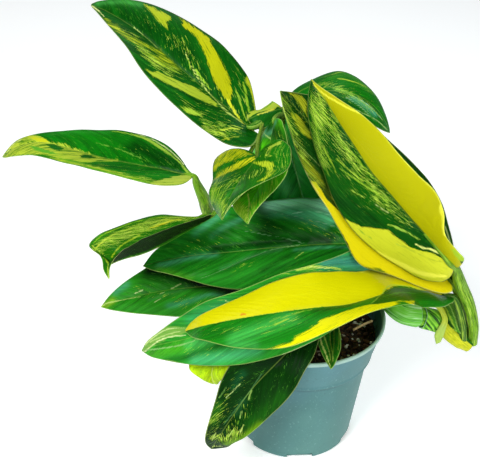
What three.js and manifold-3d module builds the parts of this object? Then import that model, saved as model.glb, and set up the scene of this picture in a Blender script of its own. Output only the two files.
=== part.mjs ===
// A potted aroid with long pointed variegated leaves, in a round nursery pot.
// All sizes are in millimetres. +Z is up, the pot's base rests on z = 0 and its axis is the Z axis.
// Each leaf is one grown piece, its blade and its petiole together. Stems, sheaths, soil and pot are pieces of their own.
import * as THREE from "three";
import { mergeVertices } from "three/addons/utils/BufferGeometryUtils.js";
import Module from "manifold-3d";

// ---------------------------------------------------------------- driving dimensions
const POT = {
  height: 102.4, rimR: 60, // the lip
  baseR: 44.4, stepR: 50.9, stepZ: 72.4, // the lower wall, up to the collar
  wall: 1.3, floor: 1.8,
  notches: 6, notchAt: -83.5, notchW: 19, notchH: 4.8, // drain notches in the bottom edge
  drains: 6, drainR: 3.2, drainRing: 26, // drain holes in the floor
};
const SOIL = { edgeR: 54.3, edgeZ: 86.5, lump: 0.9 };
const GAP = 0.35; // clearance between pieces that touch
const SLEEVE_WALL = 0.9;
const LEAF = { thick: 0.8, bulge: 0.06 }; // blade thickness, and how far each half bulges over its width

// which leaves are mostly lime or yellow, for their plain colour
const LEAF_LOOK = { leaf_lime_low: "lime", leaf_folded_left: "lime", leaf_yellow_front: "yellow", leaf_upright_front: "lime" };
// leaves that give way to a neighbour where the two would touch
const MAKE_ROOM = {"leaf_drooping_front": ["leaf_upper_left"], "sheath_stem_top": ["leaf_upper_left", "leaf_drooping_front", "leaf_drooping_rear"], "leaf_upright_rear": ["leaf_upright_front"], "leaf_yellow_front": ["leaf_upright_rear", "leaf_upright_front"]};

// ---------------------------------------------------------------- guide lines
// each leaf: rib from base to tip with its two edges at the same stations, and the petiole as x, y, z, radius
const LEAVES = {
  leaf_upper_left: {
    side: -1,
    rib: [[-43.6,41.8,224.3],[-43.3,46.4,222.4],[-47.5,53.4,222.0],[-55.7,60.7,225.6],[-67.7,65.1,233.1],[-80.7,67.4,242.9],[-94.8,74.5,251.7],[-108.6,81.0,261.3],[-122.8,88.2,269.8],[-137.8,95.6,276.7],[-150.9,105.0,279.6],[-159.0,113.2,279.3],[-163.1,120.2,277.9]],
    left: [[-43.4,41.3,223.0],[-37.2,36.4,220.9],[-43.3,30.2,214.6],[-59.4,32.7,215.1],[-76.7,35.7,224.1],[-92.2,37.3,237.1],[-107.6,44.6,248.7],[-120.8,53.2,260.2],[-132.2,65.6,270.7],[-145.1,79.9,277.7],[-155.1,97.5,279.9],[-160.6,110.5,279.3],[-163.4,120.0,277.7]],
    right: [[-43.8,42.4,225.6],[-39.9,53.2,226.9],[-40.9,67.1,231.1],[-45.1,82.7,240.8],[-52.3,88.7,249.4],[-62.2,91.2,259.4],[-75.3,98.3,267.7],[-91.1,103.4,275.4],[-108.6,107.8,282.0],[-127.2,110.4,286.2],[-144.3,113.7,285.2],[-155.6,117.6,282.1],[-162.8,120.4,278.0]],
    petiole: [[-34.9,50.6,226.7,2.8],[-39.2,44.7,224.7,3.0],[-43.6,41.8,224.3,2.0],[-45.8,48.2,223.0,0.8]],
  },
  leaf_far_left: {
    side: -1,
    rib: [[-82.0,52.0,178.4],[-86.7,52.8,179.0],[-94.5,54.1,179.7],[-105.3,56.4,180.7],[-119.0,60.6,180.3],[-133.9,65.8,179.8],[-150.1,72.2,179.0],[-166.6,78.0,179.8],[-183.1,83.4,181.2],[-200.3,86.9,181.6],[-215.6,88.6,177.2],[-224.8,89.8,170.9],[-230.8,90.3,165.6]],
    left: [[-82.3,50.7,178.1],[-89.0,41.7,177.0],[-98.0,38.0,177.2],[-110.4,36.0,178.8],[-125.8,37.3,181.4],[-142.4,40.1,183.2],[-158.6,46.7,183.1],[-173.6,54.7,181.8],[-188.1,63.1,180.2],[-203.1,70.5,178.9],[-217.2,75.8,174.7],[-225.7,82.0,169.4],[-230.7,89.9,165.6]],
    right: [[-81.7,53.3,178.8],[-86.2,56.2,180.9],[-92.9,65.2,185.8],[-102.1,73.5,190.1],[-113.3,82.0,191.7],[-126.3,89.7,191.8],[-141.8,96.6,190.1],[-159.2,99.6,187.8],[-177.9,101.0,185.9],[-198.2,98.1,184.2],[-214.9,97.3,179.5],[-224.5,97.2,173.0],[-230.8,90.6,165.6]],
    petiole: [[8.0,38.0,118.0,3.0],[-20.0,51.5,122.5,3.0],[-46.0,62.0,123.0,3.0],[-64.0,70.0,127.0,3.6],[-71.5,71.2,136.5,4.7],[-75.2,62.4,154.5,4.5],[-79.8,54.6,170.5,3.2],[-82.0,52.0,178.4,1.8],[-88.9,53.2,179.1,0.8]],
  },
  leaf_drooping_front: {
    side: 1,
    rib: [[-38.2,8.0,219.1],[-38.2,6.3,220.0],[-38.2,3.4,221.5],[-38.9,-0.8,223.0],[-41.4,-5.9,221.0],[-44.3,-11.5,219.4],[-47.1,-17.9,218.0],[-50.2,-23.9,215.5],[-52.7,-30.2,213.3],[-55.0,-36.4,210.7],[-56.7,-42.1,208.0],[-57.6,-46.0,205.7],[-58.3,-48.5,203.7]],
    left: [[-39.2,8.5,220.0],[-46.5,18.7,218.5],[-57.8,26.5,214.1],[-66.8,22.6,206.9],[-66.9,10.6,199.6],[-67.4,3.5,199.5],[-68.5,-3.0,197.8],[-67.8,-10.1,195.4],[-65.3,-18.7,195.1],[-62.7,-27.9,196.6],[-60.8,-37.1,199.8],[-59.4,-43.7,202.1],[-58.4,-48.2,203.5]],
    right: [[-37.3,7.5,218.2],[-32.7,10.4,226.3],[-25.4,4.9,234.5],[-18.4,-8.8,237.1],[-17.3,-22.7,235.5],[-19.1,-30.5,232.5],[-22.7,-35.2,231.2],[-28.7,-38.9,229.5],[-35.9,-42.3,227.1],[-44.5,-44.7,222.4],[-51.6,-46.4,214.5],[-56.1,-47.3,207.7],[-58.2,-48.7,204.0]],
    petiole: [[-34.9,49.0,225.9,1.5],[-36.4,37.2,223.9,1.3],[-38.1,22.8,219.7,1.4],[-38.2,8.0,219.1,1.3],[-38.2,5.5,220.4,0.8]],
  },
  leaf_drooping_rear: {
    side: 1,
    rib: [[-27.8,36.9,233.5],[-28.0,35.0,232.1],[-28.4,31.8,229.7],[-29.1,27.3,226.6],[-30.0,21.3,222.6],[-31.0,14.7,218.3],[-32.2,7.5,213.5],[-33.6,0.6,208.2],[-36.4,-6.1,203.4],[-39.7,-13.3,199.6],[-42.0,-19.4,195.1],[-42.1,-23.0,190.8],[-42.0,-25.1,187.5]],
    left: [[-28.5,37.7,232.5],[-32.1,39.0,227.0],[-34.9,38.2,221.7],[-38.0,35.9,215.6],[-41.5,31.8,209.5],[-44.3,26.0,204.8],[-46.7,19.0,201.3],[-50.6,11.8,198.3],[-53.0,4.2,195.5],[-53.2,-5.4,193.3],[-51.2,-14.0,190.8],[-45.9,-20.6,188.8],[-42.3,-24.9,187.3]],
    right: [[-27.1,36.2,234.4],[-25.0,31.0,236.9],[-22.9,24.7,238.4],[-21.8,18.0,238.1],[-20.2,10.1,236.7],[-18.9,2.8,232.8],[-18.3,-4.6,226.5],[-18.8,-11.7,219.1],[-23.8,-17.0,212.2],[-29.9,-21.9,206.8],[-36.1,-24.7,199.7],[-40.0,-24.9,192.5],[-41.8,-25.3,187.6]],
    petiole: [[-20.3,59.2,227.3,2.0],[-24.0,51.5,229.9,1.8],[-27.8,36.9,233.5,1.4],[-28.1,34.1,231.4,0.8]],
  },
  leaf_folded_left: {
    side: 1,
    rib: [[-66.2,11.1,171.1],[-68.7,9.9,169.8],[-72.9,7.8,167.9],[-78.7,4.5,165.5],[-85.9,-0.1,162.7],[-94.1,-4.4,159.0],[-103.2,-9.9,156.1],[-113.1,-12.8,152.3],[-122.8,-18.2,151.9],[-132.2,-16.9,146.2],[-132.3,-26.4,151.8],[-133.2,-32.0,150.4],[-131.3,-36.4,146.8]],
    left: [[-66.5,12.3,170.5],[-72.8,14.4,169.7],[-77.9,13.3,167.8],[-90.0,16.8,165.7],[-100.8,17.7,165.6],[-109.4,15.8,165.1],[-117.5,10.7,165.1],[-128.1,6.3,162.8],[-140.5,-3.0,161.0],[-148.7,-8.8,153.7],[-138.4,-21.1,152.7],[-135.6,-31.1,150.0],[-131.6,-36.3,146.7]],
    right: [[-65.8,9.8,171.6],[-68.1,4.1,175.1],[-72.2,0.2,175.1],[-77.6,-7.8,177.6],[-84.6,-16.2,179.8],[-93.1,-21.2,179.0],[-102.4,-26.3,177.1],[-111.5,-28.7,173.4],[-119.6,-33.0,169.9],[-125.8,-28.0,161.4],[-129.0,-31.6,158.6],[-131.2,-33.7,153.3],[-131.0,-36.6,146.9]],
    petiole: [[-31.3,54.0,224.5,2.0],[-41.4,44.5,205.4,1.9],[-52.2,31.4,188.1,1.8],[-60.4,19.7,176.8,1.7],[-66.2,11.1,171.1,1.4],[-69.9,9.3,169.3,0.8]],
  },
  leaf_broad_middle: {
    side: -1,
    rib: [[45.9,14.9,152.4],[41.7,12.4,153.6],[33.3,11.1,153.8],[21.6,12.3,152.1],[6.9,15.0,148.7],[-9.3,17.8,144.5],[-27.2,20.4,140.1],[-45.2,22.2,135.5],[-63.4,23.0,131.8],[-81.7,23.7,128.1],[-97.8,24.7,123.0],[-108.8,25.6,118.6],[-116.6,26.5,115.4]],
    left: [[46.4,13.9,151.6],[40.9,1.5,152.7],[31.7,-8.6,152.1],[18.2,-17.2,149.3],[2.8,-19.2,143.9],[-12.6,-17.7,137.1],[-29.0,-14.4,130.6],[-45.7,-11.4,125.7],[-63.2,-6.8,123.8],[-81.3,1.9,122.5],[-97.5,11.7,119.7],[-108.6,19.0,116.9],[-116.5,26.2,115.2]],
    right: [[45.5,16.0,153.2],[45.8,19.0,158.4],[41.0,26.4,165.0],[26.7,36.9,170.9],[8.8,42.7,170.7],[-9.8,46.0,167.8],[-29.4,47.2,163.4],[-48.6,47.6,158.6],[-67.4,46.0,153.2],[-85.0,40.2,143.2],[-100.1,35.2,132.4],[-110.1,31.6,123.9],[-116.6,26.8,115.5]],
    petiole: [[46.0,19.0,107.0,3.0],[51.0,24.0,122.0,2.8],[51.0,24.0,138.0,2.4],[45.9,14.9,152.4,1.8],[39.0,12.9,153.2,0.8]],
  },
  leaf_lower_left: {
    side: -1,
    rib: [[-1.1,30.7,111.5],[-5.5,30.1,110.8],[-12.9,29.3,109.8],[-23.3,28.1,108.5],[-36.7,26.8,107.0],[-51.6,24.5,106.1],[-67.3,25.9,101.0],[-83.7,24.9,98.7],[-100.0,22.8,96.9],[-116.1,21.1,93.3],[-130.5,19.8,88.9],[-140.3,18.9,85.2],[-147.2,18.1,82.4]],
    left: [[-0.9,29.3,111.2],[-4.5,20.6,110.8],[-11.1,11.6,109.8],[-20.9,4.4,108.4],[-33.9,-1.2,106.8],[-49.1,-6.3,106.0],[-65.3,-4.5,106.0],[-80.9,-3.6,94.9],[-96.9,-2.6,92.6],[-113.6,2.0,89.8],[-128.8,7.6,86.6],[-139.4,12.7,84.1],[-147.2,17.8,82.3]],
    right: [[-1.3,32.0,111.8],[-6.9,38.4,114.6],[-15.6,45.3,117.2],[-26.8,49.5,118.5],[-40.6,52.0,118.8],[-55.5,51.7,119.5],[-71.2,52.4,115.9],[-88.1,49.4,113.7],[-104.8,44.1,110.6],[-120.2,36.9,103.5],[-133.3,29.9,95.4],[-141.8,24.1,88.6],[-147.3,18.4,82.5]],
    petiole: [[7.0,34.0,111.0,2.6],[3.0,32.0,111.0,2.4],[-1.1,30.7,111.5,1.8],[-7.6,29.9,110.6,0.8]],
  },
  leaf_low_pale_tip: {
    side: -1,
    rib: [[58.5,4.1,142.7],[53.8,0.4,143.1],[45.6,-5.5,143.4],[34.2,-13.9,143.2],[20.6,-26.0,143.1],[4.0,-37.4,141.7],[-15.8,-47.0,138.7],[-36.2,-54.5,133.7],[-57.2,-56.5,126.2],[-76.9,-54.9,115.7],[-93.9,-49.9,105.9],[-104.2,-44.3,97.9],[-110.0,-39.6,91.0]],
    left: [[58.6,3.9,141.4],[56.0,-2.7,132.8],[49.1,-10.4,127.0],[39.1,-20.3,121.4],[26.9,-33.6,119.0],[11.9,-46.7,116.7],[-6.1,-59.4,114.3],[-26.3,-67.5,110.8],[-48.4,-67.9,104.9],[-70.3,-63.4,99.7],[-89.7,-55.4,95.8],[-101.7,-47.6,91.9],[-109.8,-39.8,90.7]],
    right: [[58.4,4.4,144.1],[54.6,5.7,151.3],[46.2,-0.0,159.2],[34.3,-8.6,163.9],[20.2,-21.9,165.4],[1.4,-39.1,168.2],[-20.6,-48.8,165.8],[-42.9,-55.9,158.3],[-65.6,-56.9,148.4],[-84.1,-54.4,131.6],[-98.2,-49.3,114.4],[-106.3,-44.0,102.0],[-110.1,-39.5,91.2]],
    petiole: [[57.0,11.0,112.0,2.8],[63.0,14.0,124.0,2.6],[64.0,10.0,136.0,2.2],[58.5,4.1,142.7,1.6],[51.4,-1.2,143.1,0.8]],
  },
  leaf_lime_low: {
    side: 1,
    rib: [[-45.7,-17.9,116.2],[-46.2,-19.5,115.4],[-47.1,-22.1,113.9],[-48.4,-25.8,111.7],[-50.1,-30.5,109.1],[-51.9,-35.6,105.8],[-54.2,-41.0,102.1],[-56.9,-46.2,98.3],[-59.4,-51.1,94.1],[-61.3,-55.5,89.0],[-60.5,-56.5,82.8],[-59.2,-55.7,78.6],[-58.7,-53.8,76.1]],
    left: [[-46.7,-17.2,115.6],[-51.8,-16.0,112.8],[-57.0,-16.0,109.3],[-61.5,-17.5,105.6],[-65.2,-20.8,102.5],[-68.6,-24.3,98.8],[-71.1,-29.3,96.1],[-73.7,-35.0,93.5],[-75.8,-41.8,90.0],[-76.7,-49.2,84.4],[-69.0,-53.2,80.2],[-62.8,-54.3,77.5],[-59.0,-53.7,76.1]],
    right: [[-44.7,-18.6,116.9],[-42.7,-22.9,118.3],[-39.9,-29.2,119.8],[-38.0,-35.5,120.1],[-37.9,-41.8,118.9],[-38.2,-48.4,116.3],[-40.6,-54.2,111.8],[-43.8,-59.0,106.9],[-47.1,-62.8,101.2],[-50.2,-65.2,94.3],[-55.1,-60.8,85.0],[-56.6,-57.7,79.6],[-58.3,-53.9,76.1]],
    petiole: [[7.0,-18.0,104.0,2.2],[-12.0,-22.0,110.0,2.0],[-32.0,-20.0,115.0,1.8],[-45.7,-17.9,116.2,1.2],[-46.5,-20.2,115.0,0.8]],
  },
  leaf_hanging_front: {
    side: 1,
    rib: [[8.5,-36.3,119.9],[6.0,-39.0,118.7],[1.9,-43.6,117.0],[-3.8,-50.3,114.9],[-11.4,-58.3,111.2],[-20.0,-63.7,103.4],[-28.7,-66.0,92.5],[-36.7,-68.7,81.2],[-43.7,-72.9,69.6],[-50.6,-76.5,57.8],[-55.1,-75.1,45.9],[-57.1,-71.9,37.7],[-58.7,-70.4,31.6]],
    left: [[7.6,-35.8,120.8],[2.2,-37.6,123.1],[-5.3,-40.9,125.4],[-13.4,-46.8,126.0],[-23.7,-54.3,124.1],[-35.8,-59.9,117.6],[-46.8,-63.4,106.2],[-54.1,-68.0,93.0],[-57.9,-73.7,78.5],[-61.6,-78.1,63.3],[-63.6,-76.9,49.0],[-62.9,-73.4,39.5],[-59.1,-70.4,31.7]],
    right: [[9.4,-36.7,118.9],[10.0,-41.4,114.7],[8.7,-47.7,110.3],[5.7,-55.9,105.9],[0.3,-64.6,100.6],[-5.1,-70.7,91.3],[-11.4,-72.5,80.5],[-19.0,-74.1,70.5],[-27.6,-76.9,61.0],[-37.2,-78.9,51.6],[-44.9,-75.8,42.5],[-48.7,-71.9,35.6],[-58.4,-70.3,31.6]],
    petiole: [[8.0,-20.0,108.0,2.4],[9.0,-27.0,116.0,2.2],[8.5,-36.3,119.9,1.6],[4.8,-40.3,118.3,0.8]],
  },
  leaf_young_furled: {
    side: 1,
    rib: [[18.3,-18.8,112.1],[18.3,-20.0,111.2],[18.3,-22.1,109.8],[18.4,-25.3,108.3],[18.3,-29.6,106.9],[18.3,-34.6,106.0],[18.2,-40.1,105.9],[18.0,-45.7,105.9],[17.8,-51.2,105.9],[17.4,-56.7,105.9],[17.2,-61.7,105.7],[17.0,-65.3,105.8],[16.8,-67.7,106.1]],
    left: [[17.4,-18.6,111.9],[16.6,-20.1,111.3],[14.3,-22.4,110.0],[12.2,-25.7,108.6],[10.8,-29.8,107.3],[9.7,-34.6,106.7],[9.5,-40.0,106.8],[9.5,-45.4,107.0],[10.4,-50.9,107.4],[11.8,-56.4,107.3],[13.7,-61.5,106.6],[15.4,-65.2,106.2],[16.4,-67.7,106.0]],
    right: [[19.1,-19.0,112.4],[19.5,-20.6,112.4],[21.2,-23.4,112.6],[22.8,-27.0,112.6],[23.6,-31.1,112.1],[24.2,-35.6,112.0],[24.5,-40.7,111.9],[24.2,-46.1,111.4],[23.8,-51.6,110.6],[22.2,-57.1,109.4],[20.3,-62.0,107.8],[18.8,-65.4,107.1],[17.1,-67.8,106.2]],
    petiole: [[10.0,-17.0,105.0,1.6],[14.0,-17.0,110.0,1.4],[18.3,-18.8,112.1,0.9],[18.3,-20.6,110.9,0.8]],
  },
  leaf_arched_top: {
    side: 1,
    rib: [[-16.1,64.8,227.3],[-14.7,65.1,229.6],[-11.8,65.6,233.0],[-6.6,66.2,236.8],[0.6,67.0,240.5],[9.4,67.4,243.0],[19.3,68.4,243.0],[29.1,68.4,240.7],[38.0,67.7,236.4],[45.8,67.4,230.2],[51.4,67.1,223.0],[54.6,66.9,217.5],[56.4,66.2,213.4]],
    left: [[-15.6,63.4,227.2],[-12.6,56.8,226.8],[-8.0,49.7,227.5],[-2.3,46.0,229.4],[4.6,43.2,231.0],[11.9,41.9,231.9],[19.3,42.7,231.3],[26.2,44.6,230.5],[33.7,47.0,228.8],[41.4,51.2,225.2],[48.1,56.4,220.1],[52.9,61.6,216.1],[56.3,65.9,213.4]],
    right: [[-16.5,66.1,227.3],[-17.5,75.8,229.4],[-15.4,82.0,232.8],[-9.8,87.2,236.5],[-1.3,91.8,240.2],[8.5,94.5,244.1],[19.4,96.0,246.4],[30.6,93.8,243.9],[40.0,89.5,238.4],[47.7,84.5,231.5],[52.7,78.0,223.7],[55.2,72.0,217.8],[56.5,66.5,213.4]],
    petiole: [[-13.2,63.5,226.5,2.0],[-14.7,64.5,228.2,1.8],[-16.1,64.8,227.3,1.3],[-13.7,65.2,230.4,0.8]],
  },
  leaf_upright_rear: {
    side: -1,
    rib: [[100.0,-10.6,138.6],[96.5,-7.6,141.3],[90.0,-3.0,145.2],[80.7,2.9,151.1],[69.2,8.3,160.9],[55.4,12.0,171.5],[42.5,19.0,184.6],[29.4,23.9,198.3],[16.1,28.7,211.9],[2.7,33.4,225.4],[-9.5,38.2,237.4],[-18.5,42.5,244.9],[-24.7,46.0,250.1]],
    left: [[99.0,-11.6,138.4],[99.2,-16.9,136.8],[90.5,-22.7,138.8],[74.1,-23.9,144.3],[55.0,-23.2,151.9],[33.5,-22.3,158.8],[20.9,-11.6,174.0],[10.2,-4.0,189.2],[-1.4,3.3,203.5],[-11.2,13.5,218.7],[-18.3,25.9,233.2],[-22.6,36.7,242.9],[-25.0,45.8,250.0]],
    right: [[101.0,-9.7,138.9],[104.1,-0.4,146.3],[102.5,9.0,153.6],[99.4,20.1,163.9],[93.5,28.9,178.6],[83.3,33.7,192.5],[70.1,38.0,205.1],[54.8,41.0,217.7],[38.9,44.4,230.2],[20.4,45.7,239.9],[1.9,46.2,246.9],[-13.1,46.2,249.3],[-24.5,46.3,250.3]],
    petiole: [[122.5,4.5,78.3,3.1],[121.1,4.3,95.0,3.2],[113.8,-0.4,114.1,3.1],[105.9,-5.7,128.3,2.6],[100.0,-10.6,138.6,1.9],[94.5,-6.4,142.3,0.8]],
  },
  leaf_upright_front: {
    side: -1,
    rib: [[97.0,-20.7,158.6],[95.7,-24.6,161.4],[90.7,-27.4,167.4],[82.8,-27.4,176.0],[72.4,-23.2,185.6],[61.2,-14.6,194.2],[49.1,-6.0,204.6],[36.6,0.2,216.2],[25.9,8.0,228.7],[15.5,17.0,240.5],[6.0,23.8,252.2],[-1.1,29.0,259.8],[-5.5,33.5,265.1]],
    left: [[96.1,-21.1,157.6],[91.9,-23.6,150.4],[84.7,-25.9,150.3],[72.8,-25.0,152.2],[56.6,-20.5,158.8],[40.9,-15.1,167.1],[25.6,-9.1,179.5],[13.6,-1.5,195.1],[5.8,9.1,210.6],[-1.5,19.4,225.5],[-6.0,25.7,241.9],[-6.9,29.9,254.7],[-5.7,33.6,264.8]],
    right: [[98.0,-20.3,159.6],[98.0,-34.7,174.9],[91.3,-38.2,183.8],[81.6,-39.9,196.5],[78.3,-39.2,212.2],[72.2,-30.8,222.2],[61.2,-22.4,229.0],[49.6,-14.8,238.3],[38.4,-5.5,248.1],[25.3,5.5,255.3],[11.1,17.5,259.8],[0.9,26.5,262.8],[-5.3,33.4,265.3]],
    petiole: [[126.6,1.5,79.1,3.5],[123.3,-1.2,97.5,4.0],[115.8,-4.8,118.3,4.5],[106.3,-10.6,137.4,4.6],[97.0,-20.7,158.6,3.3],[90.5,-28.0,167.8,2.4],[82.7,-27.9,176.3,1.5],[72.4,-23.4,185.7,0.8]],
  },
  leaf_yellow_front: {
    side: -1,
    rib: [[102.4,-10.7,127.9],[96.4,-12.7,130.0],[87.1,-16.5,134.2],[76.5,-24.4,142.0],[58.3,-30.0,146.9],[46.2,-47.2,153.1],[24.6,-58.1,152.0],[2.1,-66.1,153.7],[-20.8,-73.9,154.5],[-44.6,-75.6,149.5],[-65.2,-73.9,141.7],[-74.0,-65.9,132.0],[-79.3,-59.5,124.9]],
    left: [[102.9,-12.0,128.0],[101.4,-18.8,129.9],[96.0,-29.5,135.4],[88.0,-42.1,141.7],[72.4,-53.9,149.1],[58.9,-68.0,160.7],[34.4,-77.8,160.0],[9.3,-88.9,153.0],[-15.2,-98.1,146.7],[-43.2,-94.8,141.4],[-65.1,-84.2,137.4],[-74.0,-71.4,129.7],[-79.3,-59.8,124.6]],
    right: [[101.9,-9.4,127.7],[90.5,-1.2,130.4],[79.2,-1.8,134.6],[65.5,-5.4,141.7],[45.2,-9.5,146.7],[32.9,-25.6,155.5],[15.7,-35.7,161.4],[-2.9,-46.0,165.7],[-23.7,-55.5,164.8],[-46.1,-63.3,156.4],[-66.3,-66.5,145.9],[-74.8,-61.3,134.7],[-79.3,-59.2,125.1]],
    petiole: [[118.4,-1.9,83.1,3.0],[114.4,-4.6,99.6,3.2],[108.3,-7.3,116.2,3.1],[102.4,-10.7,127.9,2.2],[94.0,-13.9,131.3,0.8]],
  },
  leaf_shaded_inner: {
    side: 1,
    rib: [[-20.8,59.7,224.0],[-19.8,59.3,221.2],[-18.4,58.8,216.5],[-16.4,58.6,210.0],[-13.9,58.9,201.5],[-11.1,59.4,192.1],[-8.3,59.5,181.7],[-5.5,59.0,171.3],[-2.7,58.1,161.0],[0.1,58.3,150.6],[2.4,59.8,141.2],[4.1,60.9,134.6],[5.2,61.7,129.9]],
    left: [[-22.0,60.0,223.5],[-26.8,60.6,218.8],[-31.4,61.4,212.2],[-34.9,62.2,204.1],[-36.0,62.9,194.9],[-35.7,63.2,185.1],[-36.5,62.8,174.3],[-37.4,60.0,164.0],[-33.9,58.5,154.0],[-25.2,57.9,145.4],[-7.7,60.1,138.5],[-0.5,61.1,133.4],[4.9,61.7,129.9]],
    right: [[-19.5,59.3,224.4],[-12.7,56.3,223.2],[-5.9,53.6,220.1],[1.2,51.4,214.8],[7.1,50.6,207.1],[12.1,50.9,198.3],[15.9,51.6,188.4],[17.7,52.4,177.8],[17.9,52.9,166.6],[16.3,54.5,154.7],[12.0,57.7,143.6],[8.2,60.1,135.7],[5.5,61.6,130.0]],
    petiole: [[-15.1,64.9,225.0,2.0],[-17.9,64.4,224.3,1.8],[-20.8,59.7,224.0,1.3],[-19.4,59.2,219.9,0.8]],
  },
  sheath_stem_top: {
    side: -1,
    rib: [[-22.3,57.8,231.6],[-23.1,57.4,231.6],[-24.4,56.6,231.7],[-26.0,55.2,231.9],[-28.2,53.6,231.9],[-30.9,52.2,231.7],[-34.0,50.8,231.3],[-37.1,49.5,230.8],[-40.0,48.3,229.8],[-43.0,47.4,228.4],[-44.5,44.8,228.9],[-45.1,42.8,229.5],[-45.3,41.3,229.8]],
    left: [[-21.4,56.1,230.1],[-21.6,54.1,225.9],[-22.7,53.1,225.6],[-24.0,51.5,225.7],[-25.7,49.3,225.8],[-27.8,47.1,225.6],[-30.2,45.1,225.0],[-32.9,43.4,223.5],[-37.1,43.0,222.2],[-41.3,44.6,223.6],[-43.7,43.5,226.3],[-44.7,42.3,228.4],[-45.1,41.2,229.5]],
    right: [[-23.2,59.6,233.1],[-28.8,63.7,234.7],[-29.6,62.5,234.4],[-30.8,61.3,233.9],[-32.5,60.3,232.8],[-34.7,59.7,231.3],[-37.3,58.9,229.8],[-40.8,58.5,229.2],[-43.8,56.3,229.1],[-45.9,51.8,228.9],[-46.2,46.7,229.4],[-45.6,43.4,229.6],[-45.5,41.4,230.1]],
    petiole: [],
  },
};
const STEMS = {
  stem_main: [[4.0,22.0,60.0,5.5],[4.0,25.0,90.0,5.5],[8.0,38.0,118.0,5.2],[12.0,58.0,145.0,5],[12.0,71.0,170.0,4.8],[5.0,74.0,195.0,4.6],[-6.0,69.0,214.0,4.4],[-16.0,62.5,226.8,4.2],[-25.9,58.2,227.5,3.8],[-34.9,50.6,226.7,2.8]],
  stem_creeping: [[36.0,22.0,60.0,6],[38.0,22.0,88.0,6],[46.0,18.0,105.0,6],[59.0,9.0,111.0,6],[70.5,-0.9,105.6,6.2],[85.0,0.8,100.8,6.6],[100.6,3.1,95.0,7],[113.0,0.5,85.0,6.8],[123.9,-0.5,77.7,4.8]],
  stem_front: [[10.0,-8.0,60.0,4.5],[10.0,-12.0,90.0,4.5],[9.0,-17.0,104.0,4],[8.0,-21.0,111.0,3.5]],
};
// tubes around the creeping stem, as x, y, z, outer radius
const SLEEVES = {
  sheath_pale_tube: { thick: SLEEVE_WALL, look: "pale", cuts: ["leaf_low_pale_tip", "leaf_broad_middle"],
    line: [[63.03,5.14,109.93,7.3],[67.28,0.93,107.3,7.38],[72.06,-1.24,105.02,7.49],[77.49,-0.83,103.21,7.64],[83.22,0.49,101.38,7.8]] },
  sheath_striped_tube: { thick: SLEEVE_WALL, look: "sheath", cuts: ["leaf_yellow_front"],
    line: [[86.24,0.97,100.34,7.88],[90.69,1.79,98.93,8.02],[95.21,2.61,97.42,8.15],[99.49,3.09,95.61,8.24]] },
};
const PLATES = {
  sheath_petioles_right: { thick: 0.9, look: "sheath", facing: [0, -0.85, 0.527], cuts: ["leaf_yellow_front", "leaf_upright_rear", "leaf_upright_front"],
    outline: [[97.6,5.6,112.2],[101.6,3.6,116.6],[105.6,0.2,114.9],[108.9,-1.9,109.6],[111.9,-4.4,101.9],[114.5,-6.4,92.9],[109.8,-3.5,93.9],[104.9,-0.9,96.1],[100.3,2.0,100.8],[98.3,4.2,106.2]] },
  dry_strap: { thick: 0.7, look: "dry", facing: [0, -0.85, 0.527], cuts: ["leaf_yellow_front"],
    outline: [[92.7,0.3,111.4],[97.3,0.8,114.0],[101.7,-1.3,108.7],[104.0,-3.8,102.8],[103.1,-6.1,97.3],[102.1,-7.5,91.1],[100.7,-9.0,86.8],[97.2,-9.9,85.4],[95.6,-7.3,91.5],[97.4,-6.2,97.0],[99.8,-3.9,102.6],[96.8,-1.4,108.5]] },
};
const STRAW = [[36.4, -12.5, 96.3, 0.9], [43.4, -7.9, 97.8, 0.9], [50.5, -3.2, 98.1, 0.9]]; // a bit of straw lying on the soil

// ---------------------------------------------------------------- helpers
const wasm = await Module();
wasm.setup();
const { Manifold, Mesh: ManifoldMesh } = wasm;

function solid(geometry) {
  const g = mergeVertices(
    new THREE.BufferGeometry()
      .setAttribute("position", geometry.getAttribute("position"))
      .setIndex(geometry.index),
    1e-4,
  );
  const made = new Manifold(
    new ManifoldMesh({
      numProp: 3,
      vertProperties: new Float32Array(g.attributes.position.array),
      triVerts: new Uint32Array(g.index.array),
    }),
  );
  if (made.volume() >= 0) return made;
  const idx = g.index.array;
  for (let i = 0; i < idx.length; i += 3) [idx[i + 1], idx[i + 2]] = [idx[i + 2], idx[i + 1]];
  return new Manifold(
    new ManifoldMesh({
      numProp: 3,
      vertProperties: new Float32Array(g.attributes.position.array),
      triVerts: new Uint32Array(idx),
    }),
  );
}

function geometryOf(made) {
  const m = made.getMesh();
  const pos = new Float32Array(m.numVert * 3);
  for (let i = 0; i < m.numVert; i++)
    pos.set(m.vertProperties.subarray(i * m.numProp, i * m.numProp + 3), i * 3);
  const g = new THREE.BufferGeometry();
  g.setAttribute("position", new THREE.BufferAttribute(pos, 3));
  g.setIndex(new THREE.BufferAttribute(new Uint32Array(m.triVerts), 1));
  g.computeVertexNormals();
  return g;
}

// Catmull-Rom through equally numbered points, t from 0 to the last index
function along(points, t) {
  const n = points.length;
  const i = Math.min(Math.max(Math.floor(t), 0), n - 2);
  const f = t - i;
  const p1 = points[i], p2 = points[i + 1];
  const p0 = i > 0 ? points[i - 1] : p1.map((v, k) => 2 * v - p2[k]);
  const p3 = i < n - 2 ? points[i + 2] : p2.map((v, k) => 2 * v - p1[k]);
  return p1.map((_, k) => {
    const a = 2 * p1[k], b = p2[k] - p0[k];
    const c = 2 * p0[k] - 5 * p1[k] + 4 * p2[k] - p3[k];
    const d = -p0[k] + 3 * p1[k] - 3 * p2[k] + p3[k];
    return 0.5 * (a + b * f + c * f * f + d * f * f * f);
  });
}
const V = (a) => new THREE.Vector3(a[0], a[1], a[2]);

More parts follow.
